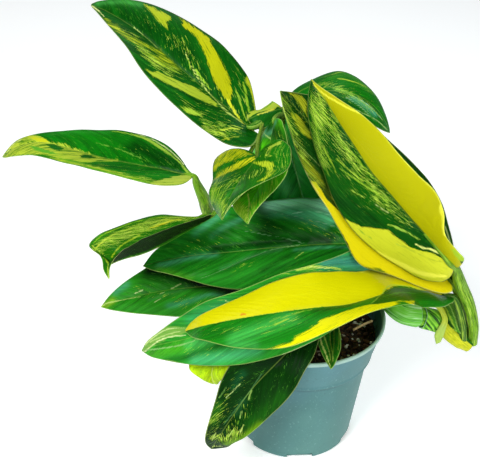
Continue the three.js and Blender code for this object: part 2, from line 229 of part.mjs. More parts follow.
// a closed blade: a curved sheet of even thickness on three guide lines
function blade(leaf, rows, thick, bulge) {
  const last = leaf.rib.length - 1;
  const across = [-1, -0.5, 0, 0.5, 1];
  const grid = [];
  for (let i = 0; i <= rows; i++) {
    const t = (last * i) / rows;
    const m = V(along(leaf.rib, t)), l = V(along(leaf.left, t)), r = V(along(leaf.right, t));
    const e = 0.02;
    const ahead = V(along(leaf.rib, Math.min(t + e, last))).sub(V(along(leaf.rib, Math.max(t - e, 0)))).normalize();
    const up = ahead.clone().cross(r.clone().sub(l)).normalize().multiplyScalar(leaf.side);
    grid.push(
      across.map((a) => {
        const edge = (a < 0 ? l : r).clone().sub(m);
        const w = edge.length(), s = Math.abs(a);
        return m.clone().addScaledVector(edge, s).addScaledVector(up, w * bulge * 4 * s * (1 - s));
      }),
    );
  }
  const nc = across.length;
  const normals = grid.map((row, i) =>
    row.map((_, j) => {
      const du = grid[Math.min(i + 1, rows)][j].clone().sub(grid[Math.max(i - 1, 0)][j]);
      const dv = grid[i][Math.min(j + 1, nc - 1)].clone().sub(grid[i][Math.max(j - 1, 0)]);
      return du.cross(dv).normalize().multiplyScalar(leaf.side);
    }),
  );
  const pos = [];
  for (const s of [1, -1])
    grid.forEach((row, i) =>
      row.forEach((p, j) => {
        const q = p.clone().addScaledVector(normals[i][j], (s * thick) / 2);
        pos.push(q.x, q.y, q.z);
      }),
    );
  const at = (s, i, j) => s * (rows + 1) * nc + i * nc + j;
  const idx = [];
  const quad = (a, b, c, d) => idx.push(a, b, c, a, c, d);
  for (let i = 0; i < rows; i++)
    for (let j = 0; j < nc - 1; j++) {
      quad(at(0, i, j), at(0, i + 1, j), at(0, i + 1, j + 1), at(0, i, j + 1));
      quad(at(1, i, j), at(1, i, j + 1), at(1, i + 1, j + 1), at(1, i + 1, j));
    }
  for (let i = 0; i < rows; i++) {
    quad(at(0, i, 0), at(1, i, 0), at(1, i + 1, 0), at(0, i + 1, 0));
    quad(at(0, i + 1, nc - 1), at(1, i + 1, nc - 1), at(1, i, nc - 1), at(0, i, nc - 1));
  }
  for (let j = 0; j < nc - 1; j++) {
    quad(at(0, 0, j + 1), at(1, 0, j + 1), at(1, 0, j), at(0, 0, j));
    quad(at(0, rows, j), at(1, rows, j), at(1, rows, j + 1), at(0, rows, j + 1));
  }
  const g = new THREE.BufferGeometry();
  g.setAttribute("position", new THREE.Float32BufferAttribute(pos, 3));
  g.setIndex(idx);
  return g;
}

// a swept stem: rings of varying radius on a smooth line, capped; inner != null makes a sleeve
function sweep(points, steps, sides, grow = 0, inner = null, flat = 1) {
  const last = points.length - 1;
  const path = [];
  for (let i = 0; i <= steps; i++) path.push(along(points, (last * i) / steps));
  const tangents = path.map((_, i) =>
    V(path[Math.min(i + 1, steps)]).sub(V(path[Math.max(i - 1, 0)])).normalize(),
  );
  let side = new THREE.Vector3(0, 0, 1);
  if (Math.abs(tangents[0].z) > 0.9) side.set(0, 1, 0);
  const rings = [];
  const ring = (p, t, radius) => {
    const u = side.clone().addScaledVector(t, -side.dot(t)).normalize();
    side = u;
    const v = t.clone().cross(u);
    const out = [];
    for (let k = 0; k < sides; k++) {
      const a = (2 * Math.PI * k) / sides;
      const q = V(p).addScaledVector(u, radius * Math.cos(a) * flat).addScaledVector(v, radius * Math.sin(a));
      out.push(q.x, q.y, q.z);
    }
    return out;
  };
  path.forEach((p, i) => rings.push(ring(p, tangents[i], p[3] + grow)));
  const idx = [];
  if (inner !== null) {
    side.set(0, 0, 1);
    const back = path.map((p, i) => ring(p, tangents[i], p[3] - inner));
    rings.push(...back.reverse());
  }
  const n = rings.length;
  const pos = rings.flat();
  const at = (i, k) => (i % n) * sides + (k % sides);
  const loops = inner !== null ? n : n - 1;
  for (let i = 0; i < loops; i++)
    for (let k = 0; k < sides; k++)
      idx.push(at(i, k), at(i, k + 1), at(i + 1, k + 1), at(i, k), at(i + 1, k + 1), at(i + 1, k));
  if (inner === null) {
    const c0 = pos.length / 3;
    pos.push(...path[0].slice(0, 3), ...path[steps].slice(0, 3));
    for (let k = 0; k < sides; k++) {
      idx.push(c0, at(0, k + 1), at(0, k));
      idx.push(c0 + 1, at(n - 1, k), at(n - 1, k + 1));
    }
  }
  const g = new THREE.BufferGeometry();
  g.setAttribute("position", new THREE.Float32BufferAttribute(pos, 3));
  g.setIndex(idx);
  return g;
}

// a thin plate: an outline in space, thickened along one direction
function plate(outline, thick, dir) {
  const pts = outline.map(V);
  const u = pts[1].clone().sub(pts[0]).normalize();
  const n = V(dir).normalize();
  const v = n.clone().cross(u).normalize();
  u.copy(v.clone().cross(n));
  let flat = pts.map((p) => new THREE.Vector2(p.dot(u), p.dot(v)));
  let order = pts;
  if (THREE.ShapeUtils.area(flat) < 0) {
    flat = flat.slice().reverse();
    order = pts.slice().reverse();
  }
  const faces = THREE.ShapeUtils.triangulateShape(flat, []);
  const pos = [];
  for (const s of [0.5, -0.5])
    for (const p of order) {
      const q = p.clone().addScaledVector(n, s * thick);
      pos.push(q.x, q.y, q.z);
    }
  const m = order.length;
  const idx = [];
  for (const [a, b, c] of faces) idx.push(a, b, c, m + a, m + c, m + b);
  for (let i = 0; i < m; i++) {
    const j = (i + 1) % m;
    idx.push(i, m + i, m + j, i, m + j, j);
  }
  const g = new THREE.BufferGeometry();
  g.setAttribute("position", new THREE.Float32BufferAttribute(pos, 3));
  g.setIndex(idx);
  return g;
}
const lathe = (profile, segments) =>
  new THREE.LatheGeometry(profile.map(([r, z]) => new THREE.Vector2(r, z)), segments).rotateX(Math.PI / 2);

// ---------------------------------------------------------------- pot
const WALL = POT.wall;
const potProfile = [
  [0, 0], [POT.baseR - 1.6, 0], [POT.baseR - 0.4, 0.5], [POT.baseR, 1.8],
  [POT.stepR, POT.stepZ], [POT.stepR + 0.5, POT.stepZ + 0.5], [POT.stepR + 1.7, POT.stepZ + 0.6], [POT.stepR + 2.1, POT.stepZ + 1.2],
  [POT.rimR - 1.5, POT.height - 3.4], [POT.rimR, POT.height - 2.7], [POT.rimR, POT.height - 0.6], [POT.rimR - 0.6, POT.height],
  [POT.rimR - 1.4, POT.height], [POT.rimR - 2, POT.height - 0.6],
  [POT.stepR + 2.1 - WALL, POT.stepZ + 1.6], [POT.stepR + 0.4 - WALL, POT.stepZ + 0.6], [POT.stepR - WALL, POT.stepZ - 0.2],
  [POT.baseR - WALL, 3.2], [POT.baseR - WALL - 1.2, POT.floor], [0, POT.floor],
];
let pot = solid(lathe(potProfile, 52));
for (let k = 0; k < POT.notches; k++) {
  const a = ((POT.notchAt + (360 / POT.notches) * k) * Math.PI) / 180;
  const cut = new THREE.BoxGeometry(7, POT.notchW, POT.notchH + 1);
  cut.translate(POT.baseR, 0, (POT.notchH - 1) / 2);
  cut.rotateZ(a);
  pot = pot.subtract(solid(cut));
}
for (let k = 0; k < POT.drains; k++) {
  const a = (2 * Math.PI * (k + 0.5)) / POT.drains;
  const cut = new THREE.CylinderGeometry(POT.drainR, POT.drainR, 8, 14).rotateX(Math.PI / 2);
  cut.translate(POT.drainRing * Math.cos(a), POT.drainRing * Math.sin(a), 0);
  pot = pot.subtract(solid(cut));
}

// ---------------------------------------------------------------- stems
const sweepOf = (name, grow) => {
  const p = STEMS[name];
  return solid(sweep(p, (p.length - 1) * 3, 10, grow));
};
const stems = {}, stemRoom = {};
for (const name of Object.keys(STEMS)) {
  stems[name] = sweepOf(name, 0);
  stemRoom[name] = sweepOf(name, GAP);
}

// ---------------------------------------------------------------- soil
const inset = 0.35;
const soilProfile = [
  [0, POT.floor + inset], [POT.baseR - WALL - 1.5, POT.floor + inset], [POT.baseR - WALL - inset, 3.6],
  [POT.stepR - WALL - inset, POT.stepZ - 0.4], [POT.stepR + 0.2 - WALL - inset, POT.stepZ + 0.9], [POT.stepR + 2.1 - WALL - inset, POT.stepZ + 2],
  [SOIL.edgeR, SOIL.edgeZ], [48, SOIL.edgeZ + 0.8], [39, SOIL.edgeZ + 1.6], [29, SOIL.edgeZ + 2.2], [19, SOIL.edgeZ + 2.5], [9, SOIL.edgeZ + 2.6], [0, SOIL.edgeZ + 2.6],
];
const soilShape = lathe(soilProfile, 40);
{
  const p = soilShape.attributes.position;
  for (let i = 0; i < p.count; i++) {
    const x = p.getX(i), y = p.getY(i), z = p.getZ(i);
    const r = Math.hypot(x, y);
    if (z > SOIL.edgeZ + 0.4 && r > 1) {
      const lump = Math.sin(x * 0.31 + 1.1) * Math.cos(y * 0.27 - 0.4) + 0.6 * Math.sin(x * 0.11 - y * 0.19);
      p.setZ(i, z + SOIL.lump * lump * Math.min(1, (52 - r) / 8));
    }
  }
}
let soil = solid(soilShape);
for (const room of Object.values(stemRoom)) soil = soil.subtract(room);

// ---------------------------------------------------------------- leaves
const rowsOf = (leaf) => {
  let length = 0;
  for (let i = 1; i < leaf.rib.length; i++) length += V(leaf.rib[i]).distanceTo(V(leaf.rib[i - 1]));
  return length > 120 ? 16 : length > 75 ? 13 : 11;
};
const leaves = {}, leafRoom = {};
for (const [name, leaf] of Object.entries(LEAVES)) {
  const rows = rowsOf(leaf);
  const make = (grow) => {
    let made = solid(blade(leaf, rows, LEAF.thick + 2 * grow, LEAF.bulge));
    if (leaf.petiole.length) {
      const p = leaf.petiole;
      made = made.add(solid(sweep(p, (p.length - 1) * 2, 8, grow)));
    }
    return made;
  };
  leaves[name] = make(0);
  for (const room of Object.values(stemRoom)) leaves[name] = leaves[name].subtract(room);
  leafRoom[name] = make(GAP);
}
for (const [name, others] of Object.entries(MAKE_ROOM))
  for (const other of others) leaves[name] = leaves[name].subtract(leafRoom[other]);

// ---------------------------------------------------------------- sleeves, sheath, strap, straw
const sleeves = {};
for (const [name, s] of Object.entries(SLEEVES)) {
  let made = solid(sweep(s.line, (s.line.length - 1) * 2, 12, 0, s.thick));
  for (const cut of s.cuts) made = made.subtract(leafRoom[cut]);
  sleeves[name] = made;
}
const plates = {};
for (const [name, s] of Object.entries(PLATES)) {
  let made = solid(plate(s.outline, s.thick, s.facing));
  made = made.subtract(sweepOf("stem_creeping", 2 * GAP + SLEEVE_WALL));
  for (const cut of s.cuts) made = made.subtract(leafRoom[cut]);
  plates[name] = made;
}
let straw = solid(sweep(STRAW, 6, 6));

// the largest piece of a cut solid: the slivers that a neighbour's clearance leaves are dropped
const main = (made) => made.decompose().sort((a, b) => b.volume() - a.volume())[0];

const LOOK = {
  pot: [0x5f8f92, 0.55], soil: [0x3a2a1c, 0.95], stem: [0x5f9a2e, 0.5], leaf: [0x2f7d24, 0.35],
  lime: [0x9fc72a, 0.35], yellow: [0xd8d21a, 0.35], sheath: [0x8fbf4a, 0.5], pale: [0xa9cf86, 0.45], dry: [0xb9ab5a, 0.7], straw: [0xc7b183, 0.85],
};
const plant = new THREE.Group();
function put(name, made, look) {
  const [color, roughness] = LOOK[look];
  const mesh = new THREE.Mesh(geometryOf(main(made)), new THREE.MeshStandardMaterial({ color, roughness, metalness: 0 }));
  mesh.name = name;
  plant.add(mesh);
}
put("nursery_pot", pot, "pot");
put("potting_soil", soil, "soil");
for (const [name, made] of Object.entries(stems)) put(name, made, "stem");
for (const [name, made] of Object.entries(leaves)) put(name, made, name.startsWith("sheath") ? "sheath" : LEAF_LOOK[name] ?? "leaf");
for (const [name, made] of Object.entries(sleeves)) put(name, made, SLEEVES[name].look);
for (const [name, made] of Object.entries(plates)) put(name, made, PLATES[name].look);
put("straw_stick", straw, "straw");

export default plant;
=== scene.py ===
# A potted aroid with long variegated leaves in a round nursery pot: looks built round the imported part.
# Guide lines are in millimetres in the row frame, and turned into metres when the meshes are made.
import bpy, math
import numpy as np
from mathutils import Matrix, Vector


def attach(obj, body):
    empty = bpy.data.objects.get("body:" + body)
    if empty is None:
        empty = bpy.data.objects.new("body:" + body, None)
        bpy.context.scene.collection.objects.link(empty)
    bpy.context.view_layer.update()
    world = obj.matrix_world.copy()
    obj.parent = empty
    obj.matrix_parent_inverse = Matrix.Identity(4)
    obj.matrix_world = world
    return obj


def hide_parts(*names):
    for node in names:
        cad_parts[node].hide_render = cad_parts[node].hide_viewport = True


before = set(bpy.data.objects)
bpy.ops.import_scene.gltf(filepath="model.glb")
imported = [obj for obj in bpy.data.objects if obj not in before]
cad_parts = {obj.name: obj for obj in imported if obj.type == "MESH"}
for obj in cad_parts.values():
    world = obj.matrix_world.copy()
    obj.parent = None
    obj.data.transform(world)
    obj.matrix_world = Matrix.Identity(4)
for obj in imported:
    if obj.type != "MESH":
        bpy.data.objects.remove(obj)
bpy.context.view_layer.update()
MM = 0.001
SC = bpy.context.scene
# ------------------------------------------------------------------ sizes and guide lines, in millimetres
POT = dict(height=102.4, rimR=60.0, baseR=44.4, stepR=50.9, stepZ=72.4, wall=1.3, floor=1.8, notches=6, notchAt=-83.5, notchW=19.0, notchH=4.8, drains=6, drainR=3.2, drainRing=26.0)
SOIL = dict(edgeR=54.3, edgeZ=86.5)
# each leaf: rib from base to tip, its two edges at the same stations, and the petiole as x, y, z, radius
LEAVES = {
    "leaf_upper_left": {"side": -1,
        "rib": [[-43.6, 41.8, 224.3], [-43.3, 46.4, 222.4], [-47.5, 53.4, 222.0], [-55.7, 60.7, 225.6], [-67.7, 65.1, 233.1], [-80.7, 67.4, 242.9], [-94.8, 74.5, 251.7], [-108.6, 81.0, 261.3], [-122.8, 88.2, 269.8], [-137.8, 95.6, 276.7], [-150.9, 105.0, 279.6], [-159.0, 113.2, 279.3], [-163.1, 120.2, 277.9]],
        "left": [[-43.4, 41.3, 223.0], [-37.2, 36.4, 220.9], [-43.3, 30.2, 214.6], [-59.4, 32.7, 215.1], [-76.7, 35.7, 224.1], [-92.2, 37.3, 237.1], [-107.6, 44.6, 248.7], [-120.8, 53.2, 260.2], [-132.2, 65.6, 270.7], [-145.1, 79.9, 277.7], [-155.1, 97.5, 279.9], [-160.6, 110.5, 279.3], [-163.4, 120.0, 277.7]],
        "right": [[-43.8, 42.4, 225.6], [-39.9, 53.2, 226.9], [-40.9, 67.1, 231.1], [-45.1, 82.7, 240.8], [-52.3, 88.7, 249.4], [-62.2, 91.2, 259.4], [-75.3, 98.3, 267.7], [-91.1, 103.4, 275.4], [-108.6, 107.8, 282.0], [-127.2, 110.4, 286.2], [-144.3, 113.7, 285.2], [-155.6, 117.6, 282.1], [-162.8, 120.4, 278.0]],
        "petiole": [[-34.9, 50.6, 226.7, 2.8], [-39.2, 44.7, 224.7, 3.0], [-43.6, 41.8, 224.3, 2.0], [-45.8, 48.2, 223.0, 0.8]],
    },
    "leaf_far_left": {"side": -1,
        "rib": [[-82.0, 52.0, 178.4], [-86.7, 52.8, 179.0], [-94.5, 54.1, 179.7], [-105.3, 56.4, 180.7], [-119.0, 60.6, 180.3], [-133.9, 65.8, 179.8], [-150.1, 72.2, 179.0], [-166.6, 78.0, 179.8], [-183.1, 83.4, 181.2], [-200.3, 86.9, 181.6], [-215.6, 88.6, 177.2], [-224.8, 89.8, 170.9], [-230.8, 90.3, 165.6]],
        "left": [[-82.3, 50.7, 178.1], [-89.0, 41.7, 177.0], [-98.0, 38.0, 177.2], [-110.4, 36.0, 178.8], [-125.8, 37.3, 181.4], [-142.4, 40.1, 183.2], [-158.6, 46.7, 183.1], [-173.6, 54.7, 181.8], [-188.1, 63.1, 180.2], [-203.1, 70.5, 178.9], [-217.2, 75.8, 174.7], [-225.7, 82.0, 169.4], [-230.7, 89.9, 165.6]],
        "right": [[-81.7, 53.3, 178.8], [-86.2, 56.2, 180.9], [-92.9, 65.2, 185.8], [-102.1, 73.5, 190.1], [-113.3, 82.0, 191.7], [-126.3, 89.7, 191.8], [-141.8, 96.6, 190.1], [-159.2, 99.6, 187.8], [-177.9, 101.0, 185.9], [-198.2, 98.1, 184.2], [-214.9, 97.3, 179.5], [-224.5, 97.2, 173.0], [-230.8, 90.6, 165.6]],
        "petiole": [[8.0, 38.0, 118.0, 3.0], [-20.0, 51.5, 122.5, 3.0], [-46.0, 62.0, 123.0, 3.0], [-64.0, 70.0, 127.0, 3.6], [-71.5, 71.2, 136.5, 4.7], [-75.2, 62.4, 154.5, 4.5], [-79.8, 54.6, 170.5, 3.2], [-82.0, 52.0, 178.4, 1.8], [-88.9, 53.2, 179.1, 0.8]],
    },
    "leaf_drooping_front": {"side": 1,
        "rib": [[-38.2, 8.0, 219.1], [-38.2, 6.3, 220.0], [-38.2, 3.4, 221.5], [-38.9, -0.8, 223.0], [-41.4, -5.9, 221.0], [-44.3, -11.5, 219.4], [-47.1, -17.9, 218.0], [-50.2, -23.9, 215.5], [-52.7, -30.2, 213.3], [-55.0, -36.4, 210.7], [-56.7, -42.1, 208.0], [-57.6, -46.0, 205.7], [-58.3, -48.5, 203.7]],
        "left": [[-39.2, 8.5, 220.0], [-46.5, 18.7, 218.5], [-57.8, 26.5, 214.1], [-66.8, 22.6, 206.9], [-66.9, 10.6, 199.6], [-67.4, 3.5, 199.5], [-68.5, -3.0, 197.8], [-67.8, -10.1, 195.4], [-65.3, -18.7, 195.1], [-62.7, -27.9, 196.6], [-60.8, -37.1, 199.8], [-59.4, -43.7, 202.1], [-58.4, -48.2, 203.5]],
        "right": [[-37.3, 7.5, 218.2], [-32.7, 10.4, 226.3], [-25.4, 4.9, 234.5], [-18.4, -8.8, 237.1], [-17.3, -22.7, 235.5], [-19.1, -30.5, 232.5], [-22.7, -35.2, 231.2], [-28.7, -38.9, 229.5], [-35.9, -42.3, 227.1], [-44.5, -44.7, 222.4], [-51.6, -46.4, 214.5], [-56.1, -47.3, 207.7], [-58.2, -48.7, 204.0]],
        "petiole": [[-34.9, 49.0, 225.9, 1.5], [-36.4, 37.2, 223.9, 1.3], [-38.1, 22.8, 219.7, 1.4], [-38.2, 8.0, 219.1, 1.3], [-38.2, 5.5, 220.4, 0.8]],
    },
    "leaf_drooping_rear": {"side": 1,
        "rib": [[-27.8, 36.9, 233.5], [-28.0, 35.0, 232.1], [-28.4, 31.8, 229.7], [-29.1, 27.3, 226.6], [-30.0, 21.3, 222.6], [-31.0, 14.7, 218.3], [-32.2, 7.5, 213.5], [-33.6, 0.6, 208.2], [-36.4, -6.1, 203.4], [-39.7, -13.3, 199.6], [-42.0, -19.4, 195.1], [-42.1, -23.0, 190.8], [-42.0, -25.1, 187.5]],
        "left": [[-28.5, 37.7, 232.5], [-32.1, 39.0, 227.0], [-34.9, 38.2, 221.7], [-38.0, 35.9, 215.6], [-41.5, 31.8, 209.5], [-44.3, 26.0, 204.8], [-46.7, 19.0, 201.3], [-50.6, 11.8, 198.3], [-53.0, 4.2, 195.5], [-53.2, -5.4, 193.3], [-51.2, -14.0, 190.8], [-45.9, -20.6, 188.8], [-42.3, -24.9, 187.3]],
        "right": [[-27.1, 36.2, 234.4], [-25.0, 31.0, 236.9], [-22.9, 24.7, 238.4], [-21.8, 18.0, 238.1], [-20.2, 10.1, 236.7], [-18.9, 2.8, 232.8], [-18.3, -4.6, 226.5], [-18.8, -11.7, 219.1], [-23.8, -17.0, 212.2], [-29.9, -21.9, 206.8], [-36.1, -24.7, 199.7], [-40.0, -24.9, 192.5], [-41.8, -25.3, 187.6]],
        "petiole": [[-20.3, 59.2, 227.3, 2.0], [-24.0, 51.5, 229.9, 1.8], [-27.8, 36.9, 233.5, 1.4], [-28.1, 34.1, 231.4, 0.8]],
    },
    "leaf_folded_left": {"side": 1,
        "rib": [[-66.2, 11.1, 171.1], [-68.7, 9.9, 169.8], [-72.9, 7.8, 167.9], [-78.7, 4.5, 165.5], [-85.9, -0.1, 162.7], [-94.1, -4.4, 159.0], [-103.2, -9.9, 156.1], [-113.1, -12.8, 152.3], [-122.8, -18.2, 151.9], [-132.2, -16.9, 146.2], [-132.3, -26.4, 151.8], [-133.2, -32.0, 150.4], [-131.3, -36.4, 146.8]],
        "left": [[-66.5, 12.3, 170.5], [-72.8, 14.4, 169.7], [-77.9, 13.3, 167.8], [-90.0, 16.8, 165.7], [-100.8, 17.7, 165.6], [-109.4, 15.8, 165.1], [-117.5, 10.7, 165.1], [-128.1, 6.3, 162.8], [-140.5, -3.0, 161.0], [-148.7, -8.8, 153.7], [-138.4, -21.1, 152.7], [-135.6, -31.1, 150.0], [-131.6, -36.3, 146.7]],
        "right": [[-65.8, 9.8, 171.6], [-68.1, 4.1, 175.1], [-72.2, 0.2, 175.1], [-77.6, -7.8, 177.6], [-84.6, -16.2, 179.8], [-93.1, -21.2, 179.0], [-102.4, -26.3, 177.1], [-111.5, -28.7, 173.4], [-119.6, -33.0, 169.9], [-125.8, -28.0, 161.4], [-129.0, -31.6, 158.6], [-131.2, -33.7, 153.3], [-131.0, -36.6, 146.9]],
        "petiole": [[-31.3, 54.0, 224.5, 2.0], [-41.4, 44.5, 205.4, 1.9], [-52.2, 31.4, 188.1, 1.8], [-60.4, 19.7, 176.8, 1.7], [-66.2, 11.1, 171.1, 1.4], [-69.9, 9.3, 169.3, 0.8]],
    },
    "leaf_broad_middle": {"side": -1,
        "rib": [[45.9, 14.9, 152.4], [41.7, 12.4, 153.6], [33.3, 11.1, 153.8], [21.6, 12.3, 152.1], [6.9, 15.0, 148.7], [-9.3, 17.8, 144.5], [-27.2, 20.4, 140.1], [-45.2, 22.2, 135.5], [-63.4, 23.0, 131.8], [-81.7, 23.7, 128.1], [-97.8, 24.7, 123.0], [-108.8, 25.6, 118.6], [-116.6, 26.5, 115.4]],
        "left": [[46.4, 13.9, 151.6], [40.9, 1.5, 152.7], [31.7, -8.6, 152.1], [18.2, -17.2, 149.3], [2.8, -19.2, 143.9], [-12.6, -17.7, 137.1], [-29.0, -14.4, 130.6], [-45.7, -11.4, 125.7], [-63.2, -6.8, 123.8], [-81.3, 1.9, 122.5], [-97.5, 11.7, 119.7], [-108.6, 19.0, 116.9], [-116.5, 26.2, 115.2]],
        "right": [[45.5, 16.0, 153.2], [45.8, 19.0, 158.4], [41.0, 26.4, 165.0], [26.7, 36.9, 170.9], [8.8, 42.7, 170.7], [-9.8, 46.0, 167.8], [-29.4, 47.2, 163.4], [-48.6, 47.6, 158.6], [-67.4, 46.0, 153.2], [-85.0, 40.2, 143.2], [-100.1, 35.2, 132.4], [-110.1, 31.6, 123.9], [-116.6, 26.8, 115.5]],
        "petiole": [[46.0, 19.0, 107.0, 3.0], [51.0, 24.0, 122.0, 2.8], [51.0, 24.0, 138.0, 2.4], [45.9, 14.9, 152.4, 1.8], [39.0, 12.9, 153.2, 0.8]],
    },
    "leaf_lower_left": {"side": -1,
        "rib": [[-1.1, 30.7, 111.5], [-5.5, 30.1, 110.8], [-12.9, 29.3, 109.8], [-23.3, 28.1, 108.5], [-36.7, 26.8, 107.0], [-51.6, 24.5, 106.1], [-67.3, 25.9, 101.0], [-83.7, 24.9, 98.7], [-100.0, 22.8, 96.9], [-116.1, 21.1, 93.3], [-130.5, 19.8, 88.9], [-140.3, 18.9, 85.2], [-147.2, 18.1, 82.4]],
        "left": [[-0.9, 29.3, 111.2], [-4.5, 20.6, 110.8], [-11.1, 11.6, 109.8], [-20.9, 4.4, 108.4], [-33.9, -1.2, 106.8], [-49.1, -6.3, 106.0], [-65.3, -4.5, 106.0], [-80.9, -3.6, 94.9], [-96.9, -2.6, 92.6], [-113.6, 2.0, 89.8], [-128.8, 7.6, 86.6], [-139.4, 12.7, 84.1], [-147.2, 17.8, 82.3]],
        "right": [[-1.3, 32.0, 111.8], [-6.9, 38.4, 114.6], [-15.6, 45.3, 117.2], [-26.8, 49.5, 118.5], [-40.6, 52.0, 118.8], [-55.5, 51.7, 119.5], [-71.2, 52.4, 115.9], [-88.1, 49.4, 113.7], [-104.8, 44.1, 110.6], [-120.2, 36.9, 103.5], [-133.3, 29.9, 95.4], [-141.8, 24.1, 88.6], [-147.3, 18.4, 82.5]],
        "petiole": [[7.0, 34.0, 111.0, 2.6], [3.0, 32.0, 111.0, 2.4], [-1.1, 30.7, 111.5, 1.8], [-7.6, 29.9, 110.6, 0.8]],
    },
    "leaf_low_pale_tip": {"side": -1,
        "rib": [[58.5, 4.1, 142.7], [53.8, 0.4, 143.1], [45.6, -5.5, 143.4], [34.2, -13.9, 143.2], [20.6, -26.0, 143.1], [4.0, -37.4, 141.7], [-15.8, -47.0, 138.7], [-36.2, -54.5, 133.7], [-57.2, -56.5, 126.2], [-76.9, -54.9, 115.7], [-93.9, -49.9, 105.9], [-104.2, -44.3, 97.9], [-110.0, -39.6, 91.0]],
        "left": [[58.6, 3.9, 141.4], [56.0, -2.7, 132.8], [49.1, -10.4, 127.0], [39.1, -20.3, 121.4], [26.9, -33.6, 119.0], [11.9, -46.7, 116.7], [-6.1, -59.4, 114.3], [-26.3, -67.5, 110.8], [-48.4, -67.9, 104.9], [-70.3, -63.4, 99.7], [-89.7, -55.4, 95.8], [-101.7, -47.6, 91.9], [-109.8, -39.8, 90.7]],
        "right": [[58.4, 4.4, 144.1], [54.6, 5.7, 151.3], [46.2, -0.0, 159.2], [34.3, -8.6, 163.9], [20.2, -21.9, 165.4], [1.4, -39.1, 168.2], [-20.6, -48.8, 165.8], [-42.9, -55.9, 158.3], [-65.6, -56.9, 148.4], [-84.1, -54.4, 131.6], [-98.2, -49.3, 114.4], [-106.3, -44.0, 102.0], [-110.1, -39.5, 91.2]],
        "petiole": [[57.0, 11.0, 112.0, 2.8], [63.0, 14.0, 124.0, 2.6], [64.0, 10.0, 136.0, 2.2], [58.5, 4.1, 142.7, 1.6], [51.4, -1.2, 143.1, 0.8]],
    },
    "leaf_lime_low": {"side": 1,
        "rib": [[-45.7, -17.9, 116.2], [-46.2, -19.5, 115.4], [-47.1, -22.1, 113.9], [-48.4, -25.8, 111.7], [-50.1, -30.5, 109.1], [-51.9, -35.6, 105.8], [-54.2, -41.0, 102.1], [-56.9, -46.2, 98.3], [-59.4, -51.1, 94.1], [-61.3, -55.5, 89.0], [-60.5, -56.5, 82.8], [-59.2, -55.7, 78.6], [-58.7, -53.8, 76.1]],
        "left": [[-46.7, -17.2, 115.6], [-51.8, -16.0, 112.8], [-57.0, -16.0, 109.3], [-61.5, -17.5, 105.6], [-65.2, -20.8, 102.5], [-68.6, -24.3, 98.8], [-71.1, -29.3, 96.1], [-73.7, -35.0, 93.5], [-75.8, -41.8, 90.0], [-76.7, -49.2, 84.4], [-69.0, -53.2, 80.2], [-62.8, -54.3, 77.5], [-59.0, -53.7, 76.1]],
        "right": [[-44.7, -18.6, 116.9], [-42.7, -22.9, 118.3], [-39.9, -29.2, 119.8], [-38.0, -35.5, 120.1], [-37.9, -41.8, 118.9], [-38.2, -48.4, 116.3], [-40.6, -54.2, 111.8], [-43.8, -59.0, 106.9], [-47.1, -62.8, 101.2], [-50.2, -65.2, 94.3], [-55.1, -60.8, 85.0], [-56.6, -57.7, 79.6], [-58.3, -53.9, 76.1]],
        "petiole": [[7.0, -18.0, 104.0, 2.2], [-12.0, -22.0, 110.0, 2.0], [-32.0, -20.0, 115.0, 1.8], [-45.7, -17.9, 116.2, 1.2], [-46.5, -20.2, 115.0, 0.8]],
    },
    "leaf_hanging_front": {"side": 1,
        "rib": [[8.5, -36.3, 119.9], [6.0, -39.0, 118.7], [1.9, -43.6, 117.0], [-3.8, -50.3, 114.9], [-11.4, -58.3, 111.2], [-20.0, -63.7, 103.4], [-28.7, -66.0, 92.5], [-36.7, -68.7, 81.2], [-43.7, -72.9, 69.6], [-50.6, -76.5, 57.8], [-55.1, -75.1, 45.9], [-57.1, -71.9, 37.7], [-58.7, -70.4, 31.6]],
        "left": [[7.6, -35.8, 120.8], [2.2, -37.6, 123.1], [-5.3, -40.9, 125.4], [-13.4, -46.8, 126.0], [-23.7, -54.3, 124.1], [-35.8, -59.9, 117.6], [-46.8, -63.4, 106.2], [-54.1, -68.0, 93.0], [-57.9, -73.7, 78.5], [-61.6, -78.1, 63.3], [-63.6, -76.9, 49.0], [-62.9, -73.4, 39.5], [-59.1, -70.4, 31.7]],
        "right": [[9.4, -36.7, 118.9], [10.0, -41.4, 114.7], [8.7, -47.7, 110.3], [5.7, -55.9, 105.9], [0.3, -64.6, 100.6], [-5.1, -70.7, 91.3], [-11.4, -72.5, 80.5], [-19.0, -74.1, 70.5], [-27.6, -76.9, 61.0], [-37.2, -78.9, 51.6], [-44.9, -75.8, 42.5], [-48.7, -71.9, 35.6], [-58.4, -70.3, 31.6]],
        "petiole": [[8.0, -20.0, 108.0, 2.4], [9.0, -27.0, 116.0, 2.2], [8.5, -36.3, 119.9, 1.6], [4.8, -40.3, 118.3, 0.8]],
    },
    "leaf_young_furled": {"side": 1,
        "rib": [[18.3, -18.8, 112.1], [18.3, -20.0, 111.2], [18.3, -22.1, 109.8], [18.4, -25.3, 108.3], [18.3, -29.6, 106.9], [18.3, -34.6, 106.0], [18.2, -40.1, 105.9], [18.0, -45.7, 105.9], [17.8, -51.2, 105.9], [17.4, -56.7, 105.9], [17.2, -61.7, 105.7], [17.0, -65.3, 105.8], [16.8, -67.7, 106.1]],
        "left": [[17.4, -18.6, 111.9], [16.6, -20.1, 111.3], [14.3, -22.4, 110.0], [12.2, -25.7, 108.6], [10.8, -29.8, 107.3], [9.7, -34.6, 106.7], [9.5, -40.0, 106.8], [9.5, -45.4, 107.0], [10.4, -50.9, 107.4], [11.8, -56.4, 107.3], [13.7, -61.5, 106.6], [15.4, -65.2, 106.2], [16.4, -67.7, 106.0]],
